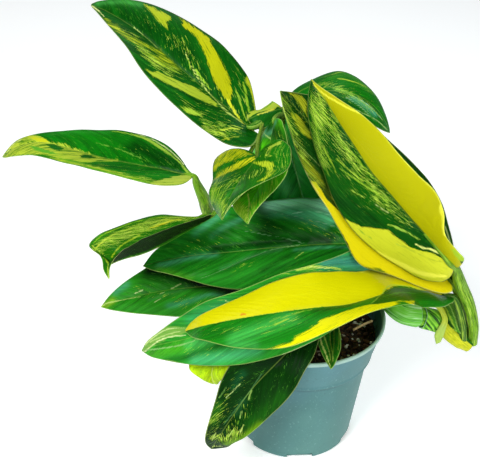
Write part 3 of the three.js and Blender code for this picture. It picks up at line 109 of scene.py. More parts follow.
        "right": [[19.1, -19.0, 112.4], [19.5, -20.6, 112.4], [21.2, -23.4, 112.6], [22.8, -27.0, 112.6], [23.6, -31.1, 112.1], [24.2, -35.6, 112.0], [24.5, -40.7, 111.9], [24.2, -46.1, 111.4], [23.8, -51.6, 110.6], [22.2, -57.1, 109.4], [20.3, -62.0, 107.8], [18.8, -65.4, 107.1], [17.1, -67.8, 106.2]],
        "petiole": [[10.0, -17.0, 105.0, 1.6], [14.0, -17.0, 110.0, 1.4], [18.3, -18.8, 112.1, 0.9], [18.3, -20.6, 110.9, 0.8]],
    },
    "leaf_arched_top": {"side": 1,
        "rib": [[-16.1, 64.8, 227.3], [-14.7, 65.1, 229.6], [-11.8, 65.6, 233.0], [-6.6, 66.2, 236.8], [0.6, 67.0, 240.5], [9.4, 67.4, 243.0], [19.3, 68.4, 243.0], [29.1, 68.4, 240.7], [38.0, 67.7, 236.4], [45.8, 67.4, 230.2], [51.4, 67.1, 223.0], [54.6, 66.9, 217.5], [56.4, 66.2, 213.4]],
        "left": [[-15.6, 63.4, 227.2], [-12.6, 56.8, 226.8], [-8.0, 49.7, 227.5], [-2.3, 46.0, 229.4], [4.6, 43.2, 231.0], [11.9, 41.9, 231.9], [19.3, 42.7, 231.3], [26.2, 44.6, 230.5], [33.7, 47.0, 228.8], [41.4, 51.2, 225.2], [48.1, 56.4, 220.1], [52.9, 61.6, 216.1], [56.3, 65.9, 213.4]],
        "right": [[-16.5, 66.1, 227.3], [-17.5, 75.8, 229.4], [-15.4, 82.0, 232.8], [-9.8, 87.2, 236.5], [-1.3, 91.8, 240.2], [8.5, 94.5, 244.1], [19.4, 96.0, 246.4], [30.6, 93.8, 243.9], [40.0, 89.5, 238.4], [47.7, 84.5, 231.5], [52.7, 78.0, 223.7], [55.2, 72.0, 217.8], [56.5, 66.5, 213.4]],
        "petiole": [[-13.2, 63.5, 226.5, 2.0], [-14.7, 64.5, 228.2, 1.8], [-16.1, 64.8, 227.3, 1.3], [-13.7, 65.2, 230.4, 0.8]],
    },
    "leaf_upright_rear": {"side": -1,
        "rib": [[100.0, -10.6, 138.6], [96.5, -7.6, 141.3], [90.0, -3.0, 145.2], [80.7, 2.9, 151.1], [69.2, 8.3, 160.9], [55.4, 12.0, 171.5], [42.5, 19.0, 184.6], [29.4, 23.9, 198.3], [16.1, 28.7, 211.9], [2.7, 33.4, 225.4], [-9.5, 38.2, 237.4], [-18.5, 42.5, 244.9], [-24.7, 46.0, 250.1]],
        "left": [[99.0, -11.6, 138.4], [99.2, -16.9, 136.8], [90.5, -22.7, 138.8], [74.1, -23.9, 144.3], [55.0, -23.2, 151.9], [33.5, -22.3, 158.8], [20.9, -11.6, 174.0], [10.2, -4.0, 189.2], [-1.4, 3.3, 203.5], [-11.2, 13.5, 218.7], [-18.3, 25.9, 233.2], [-22.6, 36.7, 242.9], [-25.0, 45.8, 250.0]],
        "right": [[101.0, -9.7, 138.9], [104.1, -0.4, 146.3], [102.5, 9.0, 153.6], [99.4, 20.1, 163.9], [93.5, 28.9, 178.6], [83.3, 33.7, 192.5], [70.1, 38.0, 205.1], [54.8, 41.0, 217.7], [38.9, 44.4, 230.2], [20.4, 45.7, 239.9], [1.9, 46.2, 246.9], [-13.1, 46.2, 249.3], [-24.5, 46.3, 250.3]],
        "petiole": [[122.5, 4.5, 78.3, 3.1], [121.1, 4.3, 95.0, 3.2], [113.8, -0.4, 114.1, 3.1], [105.9, -5.7, 128.3, 2.6], [100.0, -10.6, 138.6, 1.9], [94.5, -6.4, 142.3, 0.8]],
    },
    "leaf_upright_front": {"side": -1,
        "rib": [[97.0, -20.7, 158.6], [95.7, -24.6, 161.4], [90.7, -27.4, 167.4], [82.8, -27.4, 176.0], [72.4, -23.2, 185.6], [61.2, -14.6, 194.2], [49.1, -6.0, 204.6], [36.6, 0.2, 216.2], [25.9, 8.0, 228.7], [15.5, 17.0, 240.5], [6.0, 23.8, 252.2], [-1.1, 29.0, 259.8], [-5.5, 33.5, 265.1]],
        "left": [[96.1, -21.1, 157.6], [91.9, -23.6, 150.4], [84.7, -25.9, 150.3], [72.8, -25.0, 152.2], [56.6, -20.5, 158.8], [40.9, -15.1, 167.1], [25.6, -9.1, 179.5], [13.6, -1.5, 195.1], [5.8, 9.1, 210.6], [-1.5, 19.4, 225.5], [-6.0, 25.7, 241.9], [-6.9, 29.9, 254.7], [-5.7, 33.6, 264.8]],
        "right": [[98.0, -20.3, 159.6], [98.0, -34.7, 174.9], [91.3, -38.2, 183.8], [81.6, -39.9, 196.5], [78.3, -39.2, 212.2], [72.2, -30.8, 222.2], [61.2, -22.4, 229.0], [49.6, -14.8, 238.3], [38.4, -5.5, 248.1], [25.3, 5.5, 255.3], [11.1, 17.5, 259.8], [0.9, 26.5, 262.8], [-5.3, 33.4, 265.3]],
        "petiole": [[126.6, 1.5, 79.1, 3.5], [123.3, -1.2, 97.5, 4.0], [115.8, -4.8, 118.3, 4.5], [106.3, -10.6, 137.4, 4.6], [97.0, -20.7, 158.6, 3.3], [90.5, -28.0, 167.8, 2.4], [82.7, -27.9, 176.3, 1.5], [72.4, -23.4, 185.7, 0.8]],
    },
    "leaf_yellow_front": {"side": -1,
        "rib": [[102.4, -10.7, 127.9], [96.4, -12.7, 130.0], [87.1, -16.5, 134.2], [76.5, -24.4, 142.0], [58.3, -30.0, 146.9], [46.2, -47.2, 153.1], [24.6, -58.1, 152.0], [2.1, -66.1, 153.7], [-20.8, -73.9, 154.5], [-44.6, -75.6, 149.5], [-65.2, -73.9, 141.7], [-74.0, -65.9, 132.0], [-79.3, -59.5, 124.9]],
        "left": [[102.9, -12.0, 128.0], [101.4, -18.8, 129.9], [96.0, -29.5, 135.4], [88.0, -42.1, 141.7], [72.4, -53.9, 149.1], [58.9, -68.0, 160.7], [34.4, -77.8, 160.0], [9.3, -88.9, 153.0], [-15.2, -98.1, 146.7], [-43.2, -94.8, 141.4], [-65.1, -84.2, 137.4], [-74.0, -71.4, 129.7], [-79.3, -59.8, 124.6]],
        "right": [[101.9, -9.4, 127.7], [90.5, -1.2, 130.4], [79.2, -1.8, 134.6], [65.5, -5.4, 141.7], [45.2, -9.5, 146.7], [32.9, -25.6, 155.5], [15.7, -35.7, 161.4], [-2.9, -46.0, 165.7], [-23.7, -55.5, 164.8], [-46.1, -63.3, 156.4], [-66.3, -66.5, 145.9], [-74.8, -61.3, 134.7], [-79.3, -59.2, 125.1]],
        "petiole": [[118.4, -1.9, 83.1, 3.0], [114.4, -4.6, 99.6, 3.2], [108.3, -7.3, 116.2, 3.1], [102.4, -10.7, 127.9, 2.2], [94.0, -13.9, 131.3, 0.8]],
    },
    "leaf_shaded_inner": {"side": 1,
        "rib": [[-20.8, 59.7, 224.0], [-19.8, 59.3, 221.2], [-18.4, 58.8, 216.5], [-16.4, 58.6, 210.0], [-13.9, 58.9, 201.5], [-11.1, 59.4, 192.1], [-8.3, 59.5, 181.7], [-5.5, 59.0, 171.3], [-2.7, 58.1, 161.0], [0.1, 58.3, 150.6], [2.4, 59.8, 141.2], [4.1, 60.9, 134.6], [5.2, 61.7, 129.9]],
        "left": [[-22.0, 60.0, 223.5], [-26.8, 60.6, 218.8], [-31.4, 61.4, 212.2], [-34.9, 62.2, 204.1], [-36.0, 62.9, 194.9], [-35.7, 63.2, 185.1], [-36.5, 62.8, 174.3], [-37.4, 60.0, 164.0], [-33.9, 58.5, 154.0], [-25.2, 57.9, 145.4], [-7.7, 60.1, 138.5], [-0.5, 61.1, 133.4], [4.9, 61.7, 129.9]],
        "right": [[-19.5, 59.3, 224.4], [-12.7, 56.3, 223.2], [-5.9, 53.6, 220.1], [1.2, 51.4, 214.8], [7.1, 50.6, 207.1], [12.1, 50.9, 198.3], [15.9, 51.6, 188.4], [17.7, 52.4, 177.8], [17.9, 52.9, 166.6], [16.3, 54.5, 154.7], [12.0, 57.7, 143.6], [8.2, 60.1, 135.7], [5.5, 61.6, 130.0]],
        "petiole": [[-15.1, 64.9, 225.0, 2.0], [-17.9, 64.4, 224.3, 1.8], [-20.8, 59.7, 224.0, 1.3], [-19.4, 59.2, 219.9, 0.8]],
    },
    "sheath_stem_top": {"side": -1,
        "rib": [[-22.3, 57.8, 231.6], [-23.1, 57.4, 231.6], [-24.4, 56.6, 231.7], [-26.0, 55.2, 231.9], [-28.2, 53.6, 231.9], [-30.9, 52.2, 231.7], [-34.0, 50.8, 231.3], [-37.1, 49.5, 230.8], [-40.0, 48.3, 229.8], [-43.0, 47.4, 228.4], [-44.5, 44.8, 228.9], [-45.1, 42.8, 229.5], [-45.3, 41.3, 229.8]],
        "left": [[-21.4, 56.1, 230.1], [-21.6, 54.1, 225.9], [-22.7, 53.1, 225.6], [-24.0, 51.5, 225.7], [-25.7, 49.3, 225.8], [-27.8, 47.1, 225.6], [-30.2, 45.1, 225.0], [-32.9, 43.4, 223.5], [-37.1, 43.0, 222.2], [-41.3, 44.6, 223.6], [-43.7, 43.5, 226.3], [-44.7, 42.3, 228.4], [-45.1, 41.2, 229.5]],
        "right": [[-23.2, 59.6, 233.1], [-28.8, 63.7, 234.7], [-29.6, 62.5, 234.4], [-30.8, 61.3, 233.9], [-32.5, 60.3, 232.8], [-34.7, 59.7, 231.3], [-37.3, 58.9, 229.8], [-40.8, 58.5, 229.2], [-43.8, 56.3, 229.1], [-45.9, 51.8, 228.9], [-46.2, 46.7, 229.4], [-45.6, 43.4, 229.6], [-45.5, 41.4, 230.1]],
        "petiole": [],
    },
}
STEMS = {
    "stem_main": [[4.0, 22.0, 60.0, 5.5], [4.0, 25.0, 90.0, 5.5], [8.0, 38.0, 118.0, 5.2], [12.0, 58.0, 145.0, 5], [12.0, 71.0, 170.0, 4.8], [5.0, 74.0, 195.0, 4.6], [-6.0, 69.0, 214.0, 4.4], [-16.0, 62.5, 226.8, 4.2], [-25.9, 58.2, 227.5, 3.8], [-34.9, 50.6, 226.7, 2.8]],
    "stem_creeping": [[36.0, 22.0, 60.0, 6], [38.0, 22.0, 88.0, 6], [46.0, 18.0, 105.0, 6], [59.0, 9.0, 111.0, 6], [70.5, -0.9, 105.6, 6.2], [85.0, 0.8, 100.8, 6.6], [100.6, 3.1, 95.0, 7], [113.0, 0.5, 85.0, 6.8], [123.9, -0.5, 77.7, 4.8]],
    "stem_front": [[10.0, -8.0, 60.0, 4.5], [10.0, -12.0, 90.0, 4.5], [9.0, -17.0, 104.0, 4], [8.0, -21.0, 111.0, 3.5]],
}
# wrapped sheaths as x, y, z, outer radius
SLEEVES = {
    "sheath_pale_tube": [[63.03,5.14,109.93,7.3],[67.28,0.93,107.3,7.38],[72.06,-1.24,105.02,7.49],[77.49,-0.83,103.21,7.64],[83.22,0.49,101.38,7.8]],
    "sheath_striped_tube": [[86.24,0.97,100.34,7.88],[90.69,1.79,98.93,8.02],[95.21,2.61,97.42,8.15],[99.49,3.09,95.61,8.24]],
}
PLATES = {
    "sheath_petioles_right": [[97.6,5.6,112.2],[101.6,3.6,116.6],[105.6,0.2,114.9],[108.9,-1.9,109.6],[111.9,-4.4,101.9],[114.5,-6.4,92.9],[109.8,-3.5,93.9],[104.9,-0.9,96.1],[100.3,2.0,100.8],[98.3,4.2,106.2]],
    "dry_strap": [[92.7,0.3,111.4],[97.3,0.8,114.0],[101.7,-1.3,108.7],[104.0,-3.8,102.8],[103.1,-6.1,97.3],[102.1,-7.5,91.1],[100.7,-9.0,86.8],[97.2,-9.9,85.4],[95.6,-7.3,91.5],[97.4,-6.2,97.0],[99.8,-3.9,102.6],[96.8,-1.4,108.5]],
}
STRAW = [[36.4, -12.5, 96.3, 0.9], [43.4, -7.9, 97.8, 0.9], [50.5, -3.2, 98.1, 0.9]]
# markings: s soft tint (colour, radius, line, strength), on several leaves used for painted sheen and painted shade, p
# patch (layer, colour, outline), l streak (layer, colour, half widths, line), some of them painted sheen, f flecks
# (density, radius, line), c crease (depth, width, line), h painted shade over one half. Points are (station along the
# rib, share of the half width).
LOOKS = {
    "leaf_upper_left": {"base": [8, 82, 8], "marks": [
        ["s", [1, 62, 4], 6.3, [[9.0, 0.2], [7.9, 0.27], [6.93, 0.27], [6.17, 0.25]], 0.8],
        ["s", [8, 84, 8], 5.6, [[5.7, -0.93], [4.8, -0.72], [3.73, -0.53], [2.47, -0.78]], 0.8],
        # lighter green near the tip: partly the leaf's own tone, partly painted sheen
        ["s", [60, 150, 60], 2.8, [[11.1, 0.37], [9.63, 0.75], [8.83, 0.83]], 0.7],
        ["p", 1, [182, 186, 14], [[7.37, 0.95], [7.1, 0.95], [6.8, 0.93], [6.5, 0.93], [5.97, 0.92], [5.67, 0.82], [5.2, 0.73], [4.7, 0.65], [4.17, 0.55], [3.7, 0.4], [3.43, 0.2], [3.53, 0.12], [3.9, 0.15], [4.43, 0.22], [4.9, 0.32], [5.07, 0.4], [5.67, 0.57], [6.4, 0.75], [6.63, 0.78], [6.87, 0.75], [7.03, 0.8], [7.1, 0.88]]],
        ["p", 1, [168, 184, 34], [[8.7, 0.88], [8.3, 0.9], [8.1, 0.82], [7.97, 0.87], [7.6, 0.85], [7.5, 0.75], [7.6, 0.65], [7.3, 0.48], [7.47, 0.48], [7.73, 0.52], [8.0, 0.58], [8.27, 0.68]]],
        ["p", 1, [168, 190, 48], [[6.77, -0.88], [6.5, -0.82], [6.37, -0.65], [6.03, -0.55], [5.67, -0.43], [5.3, -0.3], [4.9, -0.2], [4.43, -0.13], [3.9, -0.13], [3.9, -0.22], [4.4, -0.35], [4.93, -0.47], [5.4, -0.57], [5.67, -0.65], [6.03, -0.77], [6.43, -0.87]]],
        ["p", 1, [184, 200, 34], [[9.43, -0.83], [9.27, -0.7], [8.87, -0.77], [8.83, -0.53], [8.47, -0.67], [8.0, -0.5], [7.53, -0.3], [7.13, -0.12], [7.0, 0.0], [6.63, -0.08], [6.4, -0.02], [6.13, -0.05], [5.87, -0.07], [5.97, -0.27], [6.17, -0.32], [6.53, -0.47], [6.7, -0.55], [6.87, -0.55], [7.13, -0.65], [7.27, -0.63], [7.07, -0.47], [6.87, -0.37], [6.9, -0.23], [7.2, -0.35], [7.5, -0.5], [7.77, -0.67], [8.13, -0.77], [8.53, -0.87], [9.03, -0.93]], 1.7],
        ["p", 1, [170, 205, 60], [[5.0, -0.92], [4.83, -0.82], [4.7, -0.78], [4.47, -0.75], [4.2, -0.68], [4.33, -0.78], [4.47, -0.85], [4.77, -0.92]]],
        ["l", 1, [170, 200, 60], [0.28, 0.25], [[3.83, -0.98], [3.43, -0.85], [3.0, -0.82]]],
        ["l", 2, [190, 214, 60], [0.25, 0.21], [[3.2, -0.95], [2.83, -0.77], [2.47, -0.68]]],
        ["l", 2, [196, 214, 40], [0.42, 0.28], [[3.67, -0.72], [3.33, -0.83], [2.87, -0.88]]],
        ["f", 0.6, 3.5, [[4.7, -0.8], [4.3, -0.72]]],
        ["l", 2, [190, 214, 60], [0.77, 0.42], [[3.33, -0.73], [2.93, -0.53], [2.47, -0.43]]],
        ["l", 2, [170, 205, 60], [0.53, 0.35], [[3.1, -0.52], [2.57, -0.52]]],
        ["l", 2, [206, 214, 40], [1.05, 0.42], [[3.53, 0.13], [2.83, 0.02], [2.1, -0.12]]],
        ["l", 2, [150, 190, 50], [0.56, 0.35], [[3.5, 0.45], [2.8, 0.3], [1.87, 0.12]]],
        ["l", 2, [140, 185, 40], [0.56, 0.32], [[3.37, 0.75], [2.6, 0.58], [1.63, 0.37]]],
        ["l", 2, [172, 184, 30], [1.23, 1.05, 0.49], [[3.17, 1.0], [2.53, 0.97], [1.63, 0.92]]],
        ["l", 2, [200, 220, 110], [0.32, 0.39, 0.46, 0.42], [[6.23, 0.3], [5.73, 0.18], [5.23, 0.08], [4.5, 0.0], [3.77, -0.08], [3.17, -0.13], [2.2, -0.13]]],
        ["l", 2, [150, 196, 50], [0.77, 0.42], [[5.43, 0.18], [5.03, 0.12], [4.47, 0.07]]],
        ["l", 2, [196, 220, 120], [0.32, 0.28], [[8.4, 0.02], [7.8, -0.02], [7.13, -0.05]]],
        ["l", 2, [178, 208, 90], [0.32, 0.42], [[3.93, -0.08], [3.4, -0.17], [2.63, -0.13]]],
        ["l", 2, [214, 226, 140], [0.7, 0.35], [[11.4, -0.55], [10.13, -0.7], [9.5, -0.77]]],
        ["f", 0.75, 6.3, [[7.37, -0.57], [6.57, -0.45], [5.93, -0.23]]],
        ["f", 0.8, 6.3, [[3.97, -0.85], [3.33, -0.67], [2.47, -0.48]]],
        ["f", 0.45, 6.3, [[3.93, 0.73], [2.63, 0.55], [1.63, 0.37]]],
        ["f", 0.45, 7.0, [[6.57, 0.35], [4.8, 0.07], [3.23, 0.0]]],
        ["f", 0.35, 6.3, [[8.1, 0.43], [6.73, 0.28]]],
        ["f", 0.4, 4.9, [[8.53, -0.7], [6.97, -0.57], [5.93, -0.53]]],
        ["f", 0.35, 6.3, [[4.9, -0.62], [3.37, -0.35]]],
        ["f", 0.5, 3.5, [[3.87, -0.97], [3.1, -0.85]]],
        ["f", 0.4, 3.5, [[8.4, -0.48], [7.83, -0.28]]],
    ]},
    "leaf_far_left": {"base": [10, 112, 8], "marks": [
        ["s", [0, 54, 1], 8.1, [[4.77, 0.48], [3.27, 0.37], [2.0, 0.37]], 0.9],
        ["s", [78, 158, 18], 3.7, [[8.17, -0.68], [6.67, -0.88], [5.4, -0.92], [4.27, -0.97], [3.5, -0.95]], 0.85],
        ["s", [40, 140, 40], 2.9, [[8.73, 0.72], [7.63, 0.85], [6.33, 0.88]], 0.4],
        ["p", 1, [186, 208, 60], [[12.0, -1.0], [11.73, 0.85], [11.13, 1.0], [10.33, 1.0], [9.63, 1.0], [8.67, 0.15], [8.43, 0.03], [8.13, 0.12], [7.5, 0.03], [6.77, 0.02], [6.1, -0.08], [5.33, 0.02], [5.17, -0.17], [5.47, -0.27], [5.7, -0.33], [5.93, -0.52], [6.07, -0.7], [6.53, -0.77], [7.03, -0.78], [7.37, -0.87], [8.07, -0.85], [8.7, -0.93], [9.37, -0.98], [10.17, -0.98], [11.3, -1.0]], 1.5],
        ["p", 2, [196, 202, 34], [[9.8, 1.0], [9.27, 0.52], [8.67, 0.15], [8.67, 0.02], [8.97, -0.02], [9.37, 0.3]]],
        ["p", 2, [20, 104, 16], [[8.63, -0.17], [8.33, -0.02], [7.77, -0.22], [7.8, -0.47], [8.3, -0.45]]],
        ["p", 2, [14, 90, 14], [[6.87, -0.4], [6.63, -0.15], [6.1, -0.2], [6.3, -0.43], [6.63, -0.52]]],
        ["p", 2, [90, 165, 40], [[9.43, -0.32], [8.77, -0.5], [8.13, -0.6], [7.67, -0.67], [8.23, -0.78], [8.87, -0.73]]],
        ["l", 2, [190, 215, 90], [0.37, 0.33, 0.29], [[6.0, -0.38], [5.1, -0.13], [4.3, -0.08], [3.1, -0.05], [1.03, -0.03]]],
        ["l", 2, [170, 208, 50], [0.73, 0.51], [[6.7, -0.75], [6.13, -0.62], [5.37, -0.27]]],
        ["l", 2, [120, 180, 30], [0.51, 0.37], [[7.53, -0.83], [6.4, -0.92], [5.2, -0.9]]],
        ["l", 2, [130, 188, 30], [0.44, 0.37], [[5.67, -0.88], [4.7, -0.93], [3.77, -0.88]]],
        ["l", 2, [214, 228, 130], [0.59, 0.37], [[11.97, -1.0], [10.77, 0.47], [10.0, 0.62]]],
        ["l", 2, [120, 180, 60], [0.33, 0.29], [[6.63, 0.38], [5.43, 0.3], [4.3, 0.18]]],
        ["p", 1, [178, 200, 72], [[3.17, -0.98], [2.9, -0.82], [2.6, -0.68], [1.93, -0.42], [0.67, 0.13], [0.0, -1.0], [0.4, -1.0], [1.47, -1.0], [2.43, -1.0]]],
        ["l", 1, [150, 190, 60], [0.33, 0.81, 1.25, 1.03, 0.51, 0.37], [[6.27, 0.92], [5.47, 0.9], [4.3, 0.85], [3.13, 0.7], [1.83, 0.62], [0.7, 0.27]]],
        ["l", 2, [214, 228, 150], [0.37, 0.48, 0.48, 0.37], [[6.5, 1.0], [5.57, 1.0], [4.27, 0.93], [2.97, 0.85], [1.57, 0.8]]],
        ["f", 0.85, 3.7, [[7.33, -0.93], [5.9, -0.9], [4.73, -0.9], [3.87, -0.9], [3.27, -0.85]]],
        ["l", 2, [190, 208, 50], [0.4, 0.48, 0.33], [[8.03, -0.93], [7.23, -0.93], [6.17, -0.92]]],
        ["l", 2, [196, 212, 60], [0.37, 0.48, 0.37], [[6.03, -0.87], [5.27, -0.87], [4.47, -0.83]]],
        ["l", 2, [186, 208, 60], [0.37, 0.44, 0.33], [[4.6, -0.9], [4.07, -0.92], [3.63, -0.88]]],
        ["f", 0.35, 6.6, [[5.57, -0.72], [3.43, -0.4]]],
        ["f", 0.15, 7.3, [[5.43, 0.3], [3.23, 0.28]]],
        ["f", 0.4, 3.7, [[8.0, -0.55], [6.6, -0.67]]],
    ]},
    "leaf_drooping_front": {"base": [18, 100, 6], "marks": [
        ["s", [24, 130, 10], 4.4, [[3.2, 0.62], [4.23, 0.85], [5.47, 0.87]], 0.5],
        ["s", [10, 84, 8], 4.4, [[6.07, -0.15], [5.43, 0.08], [6.53, 0.53]], 0.8],
        ["s", [50, 140, 12], 4.4, [[6.17, -0.88], [7.93, -0.65], [10.17, -0.37]], 0.7],
        ["s", [60, 160, 30], 2.5, [[8.27, -0.15], [7.97, 0.32]], 0.5],
        ["p", 1, [178, 186, 16], [[3.63, -1.0], [3.13, -1.0], [2.73, -1.0], [2.37, -0.93], [1.97, -0.82], [1.67, -0.53], [2.43, -0.1], [3.03, -0.25], [3.33, -0.4], [3.37, -0.63], [3.5, -0.87]], 1.5],
        ["p", 1, [206, 206, 26], [[4.47, -1.0], [4.03, -0.9], [3.93, -0.78], [3.77, -0.48], [3.4, -0.22], [2.7, -0.03], [3.57, -0.02], [4.3, -0.17], [4.6, -0.38], [4.63, -0.68]], 1.5],
        ["p", 1, [190, 212, 44], [[3.77, -0.02], [4.2, 0.32], [4.37, 0.53], [4.57, 0.62], [5.6, 0.75], [6.6, 0.87], [7.53, 0.93], [7.57, 0.78], [6.97, 0.78], [6.1, 0.72], [5.37, 0.58], [4.87, 0.38], [4.53, 0.22]], 1.3],
        ["l", 2, [50, 116, 14], [0.25, 0.19], [[3.13, -0.75], [2.9, -0.45], [2.57, -0.17]]],
        ["l", 2, [50, 116, 14], [0.29, 0.22], [[3.8, -0.97], [3.7, -0.67], [3.63, -0.28]]],
        ["l", 2, [30, 96, 8], [0.25, 0.19], [[3.43, -0.95], [3.3, -0.58], [3.07, -0.2]]],
        ["l", 2, [170, 196, 30], [0.25, 0.22], [[5.63, -0.85], [5.7, -0.47], [5.17, -0.15]]],
        ["l", 2, [176, 202, 40], [0.25, 0.19], [[6.6, -0.75], [6.57, -0.38], [6.37, -0.07]]],
        ["l", 2, [150, 196, 50], [0.22, 0.19], [[7.47, -0.68], [7.4, -0.23], [7.57, 0.22]]],
        ["l", 2, [180, 208, 70], [0.25, 0.19], [[4.83, -1.0], [6.67, -0.87], [8.27, -0.8]]],
        ["l", 2, [196, 220, 70], [0.32, 0.41, 0.25], [[2.57, 0.45], [2.63, 0.62], [2.73, 0.82]]],
        ["l", 2, [160, 205, 70], [0.38, 0.32], [[5.93, -0.78], [5.97, -0.38], [5.67, -0.1]]],
        ["l", 2, [190, 214, 110], [0.32, 0.35, 0.29, 0.25], [[11.0, 0.72], [9.67, 0.77], [9.1, 1.0], [8.2, 1.0], [7.37, 0.98]]],
        ["f", 0.95, 7.6, [[5.8, -0.83], [7.93, -0.65], [10.07, -0.12]]],
        ["f", 0.75, 5.7, [[6.47, -0.22], [6.4, 0.15], [6.17, 0.47]]],
        ["f", 0.62, 5.7, [[2.67, 0.47], [4.03, 0.83], [5.87, 0.88]]],
        ["f", 0.5, 3.2, [[3.4, -0.73], [2.97, -0.25]]],
    ]},
    # the base green is lifted well above the leaf's own green to make up for the shade it hangs in: painted light
    "leaf_drooping_rear": {"base": [84, 196, 22], "marks": [
        ["s", [14, 76, 14], 9.2, [[1.3, -0.6], [3.57, 0.48], [5.13, 0.85]], 1.0],
        # painted reflection: blue-green sheen near the base of the blade
        ["s", [70, 140, 96], 2.3, [[1.73, -0.8], [2.77, -0.23], [1.6, 0.48]], 0.9],
        ["s", [120, 180, 20], 3.9, [[9.37, -0.78], [10.6, -0.63]], 0.8],
        ["s", [40, 60, 14], 2.6, [[8.77, -0.5], [8.2, -0.25]], 0.6],
        ["l", 1, [200, 218, 100], [0.33, 0.66, 0.39], [[8.6, -0.27], [9.77, -0.02], [11.67, -0.02]]],
        ["l", 2, [170, 205, 110], [0.33, 0.46], [[2.0, -0.8], [3.6, 0.07]]],
        ["l", 2, [190, 215, 110], [0.39, 0.33], [[11.97, 1.0], [10.3, 1.0], [9.1, 1.0], [7.9, 1.0], [6.93, 1.0]]],
        ["p", 1, [170, 204, 60], [[9.7, -0.95], [9.5, -0.53], [9.77, -0.13], [11.83, -0.02], [10.7, -0.83]], 1.8],
        ["f", 0.9, 5.9, [[9.67, -0.53], [11.0, -0.32]]],
        ["f", 0.95, 5.9, [[10.0, 0.62], [8.97, 0.73], [8.2, 0.8]]],
        ["f", 0.6, 5.3, [[7.53, 0.68], [6.8, 0.9]]],
        ["f", 0.4, 3.9, [[3.3, 0.68], [4.5, 0.73]]],
    ]},
    "leaf_folded_left": {"base": [34, 112, 6], "marks": [
        # painted shade: darkens the near half of the fold to nearly black
        ["h", [2, 12, 1], [[0.5, 0.5], [6, 0.55], [9.5, 0.5]], 0.5, 0.97],
        ["s", [50, 140, 30], 2.0, [[8.3, -0.93], [6.5, -1.0], [3.93, -0.95]], 0.6],
        ["l", 1, [160, 204, 40], [0.4, 0.54, 0.4, 0.34], [[8.63, -0.88], [7.53, -0.92], [6.27, -0.93], [4.7, -0.83], [3.2, -0.68]]],
        ["l", 1, [206, 218, 70], [0.51, 0.61, 0.4], [[8.7, -0.7], [8.07, -0.72], [7.43, -0.77], [6.63, -0.75]]],
        ["l", 1, [180, 210, 50], [0.4, 0.47, 0.34], [[8.87, -0.87], [9.0, -0.38]]],
        ["l", 1, [176, 210, 40], [0.4, 0.47, 0.34], [[8.57, -0.17], [7.57, -0.37], [6.47, -0.45]]],
        ["l", 1, [218, 216, 50], [0.47, 0.88, 0.54], [[5.97, -0.53], [4.67, -0.53], [3.2, -0.55]]],
        ["l", 1, [196, 214, 60], [0.34, 0.54, 0.34], [[5.5, -0.67], [4.3, -0.65], [3.43, -0.48]]],
        ["l", 1, [170, 205, 50], [0.54, 0.67, 0.47], [[9.73, -0.52], [10.83, 0.45], [11.9, 0.38]]],
        ["l", 2, [176, 186, 110], [0.51, 0.4], [[9.0, 0.0], [7.7, 0.0], [6.43, 0.0], [5.8, 0.0]]],
        ["f", 0.95, 6.7, [[8.6, -0.62], [7.23, -0.62], [5.57, -0.6], [2.87, -0.67]]],
        ["f", 0.9, 3.4, [[2.37, -1.0], [0.07, -0.85]]],
        ["f", 0.5, 4.0, [[8.0, -0.63], [5.4, -0.73]]],
    ]},
    "leaf_broad_middle": {"base": [24, 116, 20], "marks": [
        # painted reflection: pale blue-green sheen along the upper half near the edge, with pale sheen streaks
        ["s", [170, 255, 214], 5.7, [[5.9, 0.9], [5.3, 0.92], [4.73, 0.92], [4.03, 0.87], [3.4, 0.78]], 1.0],
        ["s", [96, 210, 150], 3.5, [[5.1, 0.68], [4.3, 0.62], [3.47, 0.5]], 0.8],
        ["l", 2, [200, 255, 226], [0.32, 0.32], [[5.23, 0.8], [4.57, 0.85], [3.87, 0.8]]],
        ["l", 2, [190, 250, 216], [0.28, 0.28], [[5.0, 0.65], [4.23, 0.68], [3.43, 0.6]]],
        # painted sheen: blue-green patches on the raised pleats and near the rib
        ["s", [70, 158, 110], 2.8, [[5.83, 0.68], [5.1, 0.62], [4.2, 0.45], [3.67, 0.35]], 0.75],
        ["s", [70, 158, 110], 2.8, [[8.7, 0.6], [8.2, 0.72], [7.57, 0.87]], 0.8],
        ["s", [70, 158, 110], 2.1, [[8.1, 0.4], [7.53, 0.55], [6.97, 0.65]], 0.7],
        ["s", [70, 158, 110], 2.8, [[10.47, -0.43], [9.2, -0.13], [8.03, -0.05]], 0.75],
        ["s", [70, 158, 110], 2.1, [[4.83, -0.13], [3.57, -0.12], [2.17, -0.23]], 0.6],
        ["s", [60, 140, 70], 2.1, [[7.7, -0.48], [6.63, -0.18], [5.47, -0.08]], 0.7],
        # painted shade: the valley along the rib, the upper half under the leaves above, and towards the tip
        ["s", [3, 52, 8], 3.2, [[8.03, 0.1], [6.63, 0.1], [4.7, 0.1], [3.4, 0.08]], 0.85],
        ["s", [4, 58, 8], 5.0, [[5.67, 0.32], [4.27, 0.17], [3.3, 0.12]], 0.55],
        ["s", [4, 48, 8], 6.4, [[6.27, 0.9], [5.9, 0.47], [6.13, 0.32]], 0.7],
        ["s", [6, 62, 10], 3.5, [[10.1, 0.72], [8.57, 0.43], [7.4, 0.42]], 0.4],
        ["s", [70, 150, 30], 2.8, [[10.6, -0.73], [9.47, -0.97], [8.93, -0.93]], 0.7],
        ["s", [40, 140, 36], 5.0, [[8.53, -0.82], [6.97, -0.68], [5.0, -0.47]], 0.75],
        ["s", [26, 118, 30], 4.3, [[9.37, 0.65], [7.97, 0.45]], 0.5],
        # painted shade along the second fold
        ["s", [10, 70, 14], 2.8, [[6.07, -0.62], [4.57, -0.52], [2.83, -0.3]], 0.45],
        # painted highlights: pale blue-green lines along the fold ridges
        ["l", 2, [130, 180, 120], [0.28, 0.35], [[8.53, -0.82], [7.27, -0.37], [6.03, -0.07], [4.7, 0.02]]],
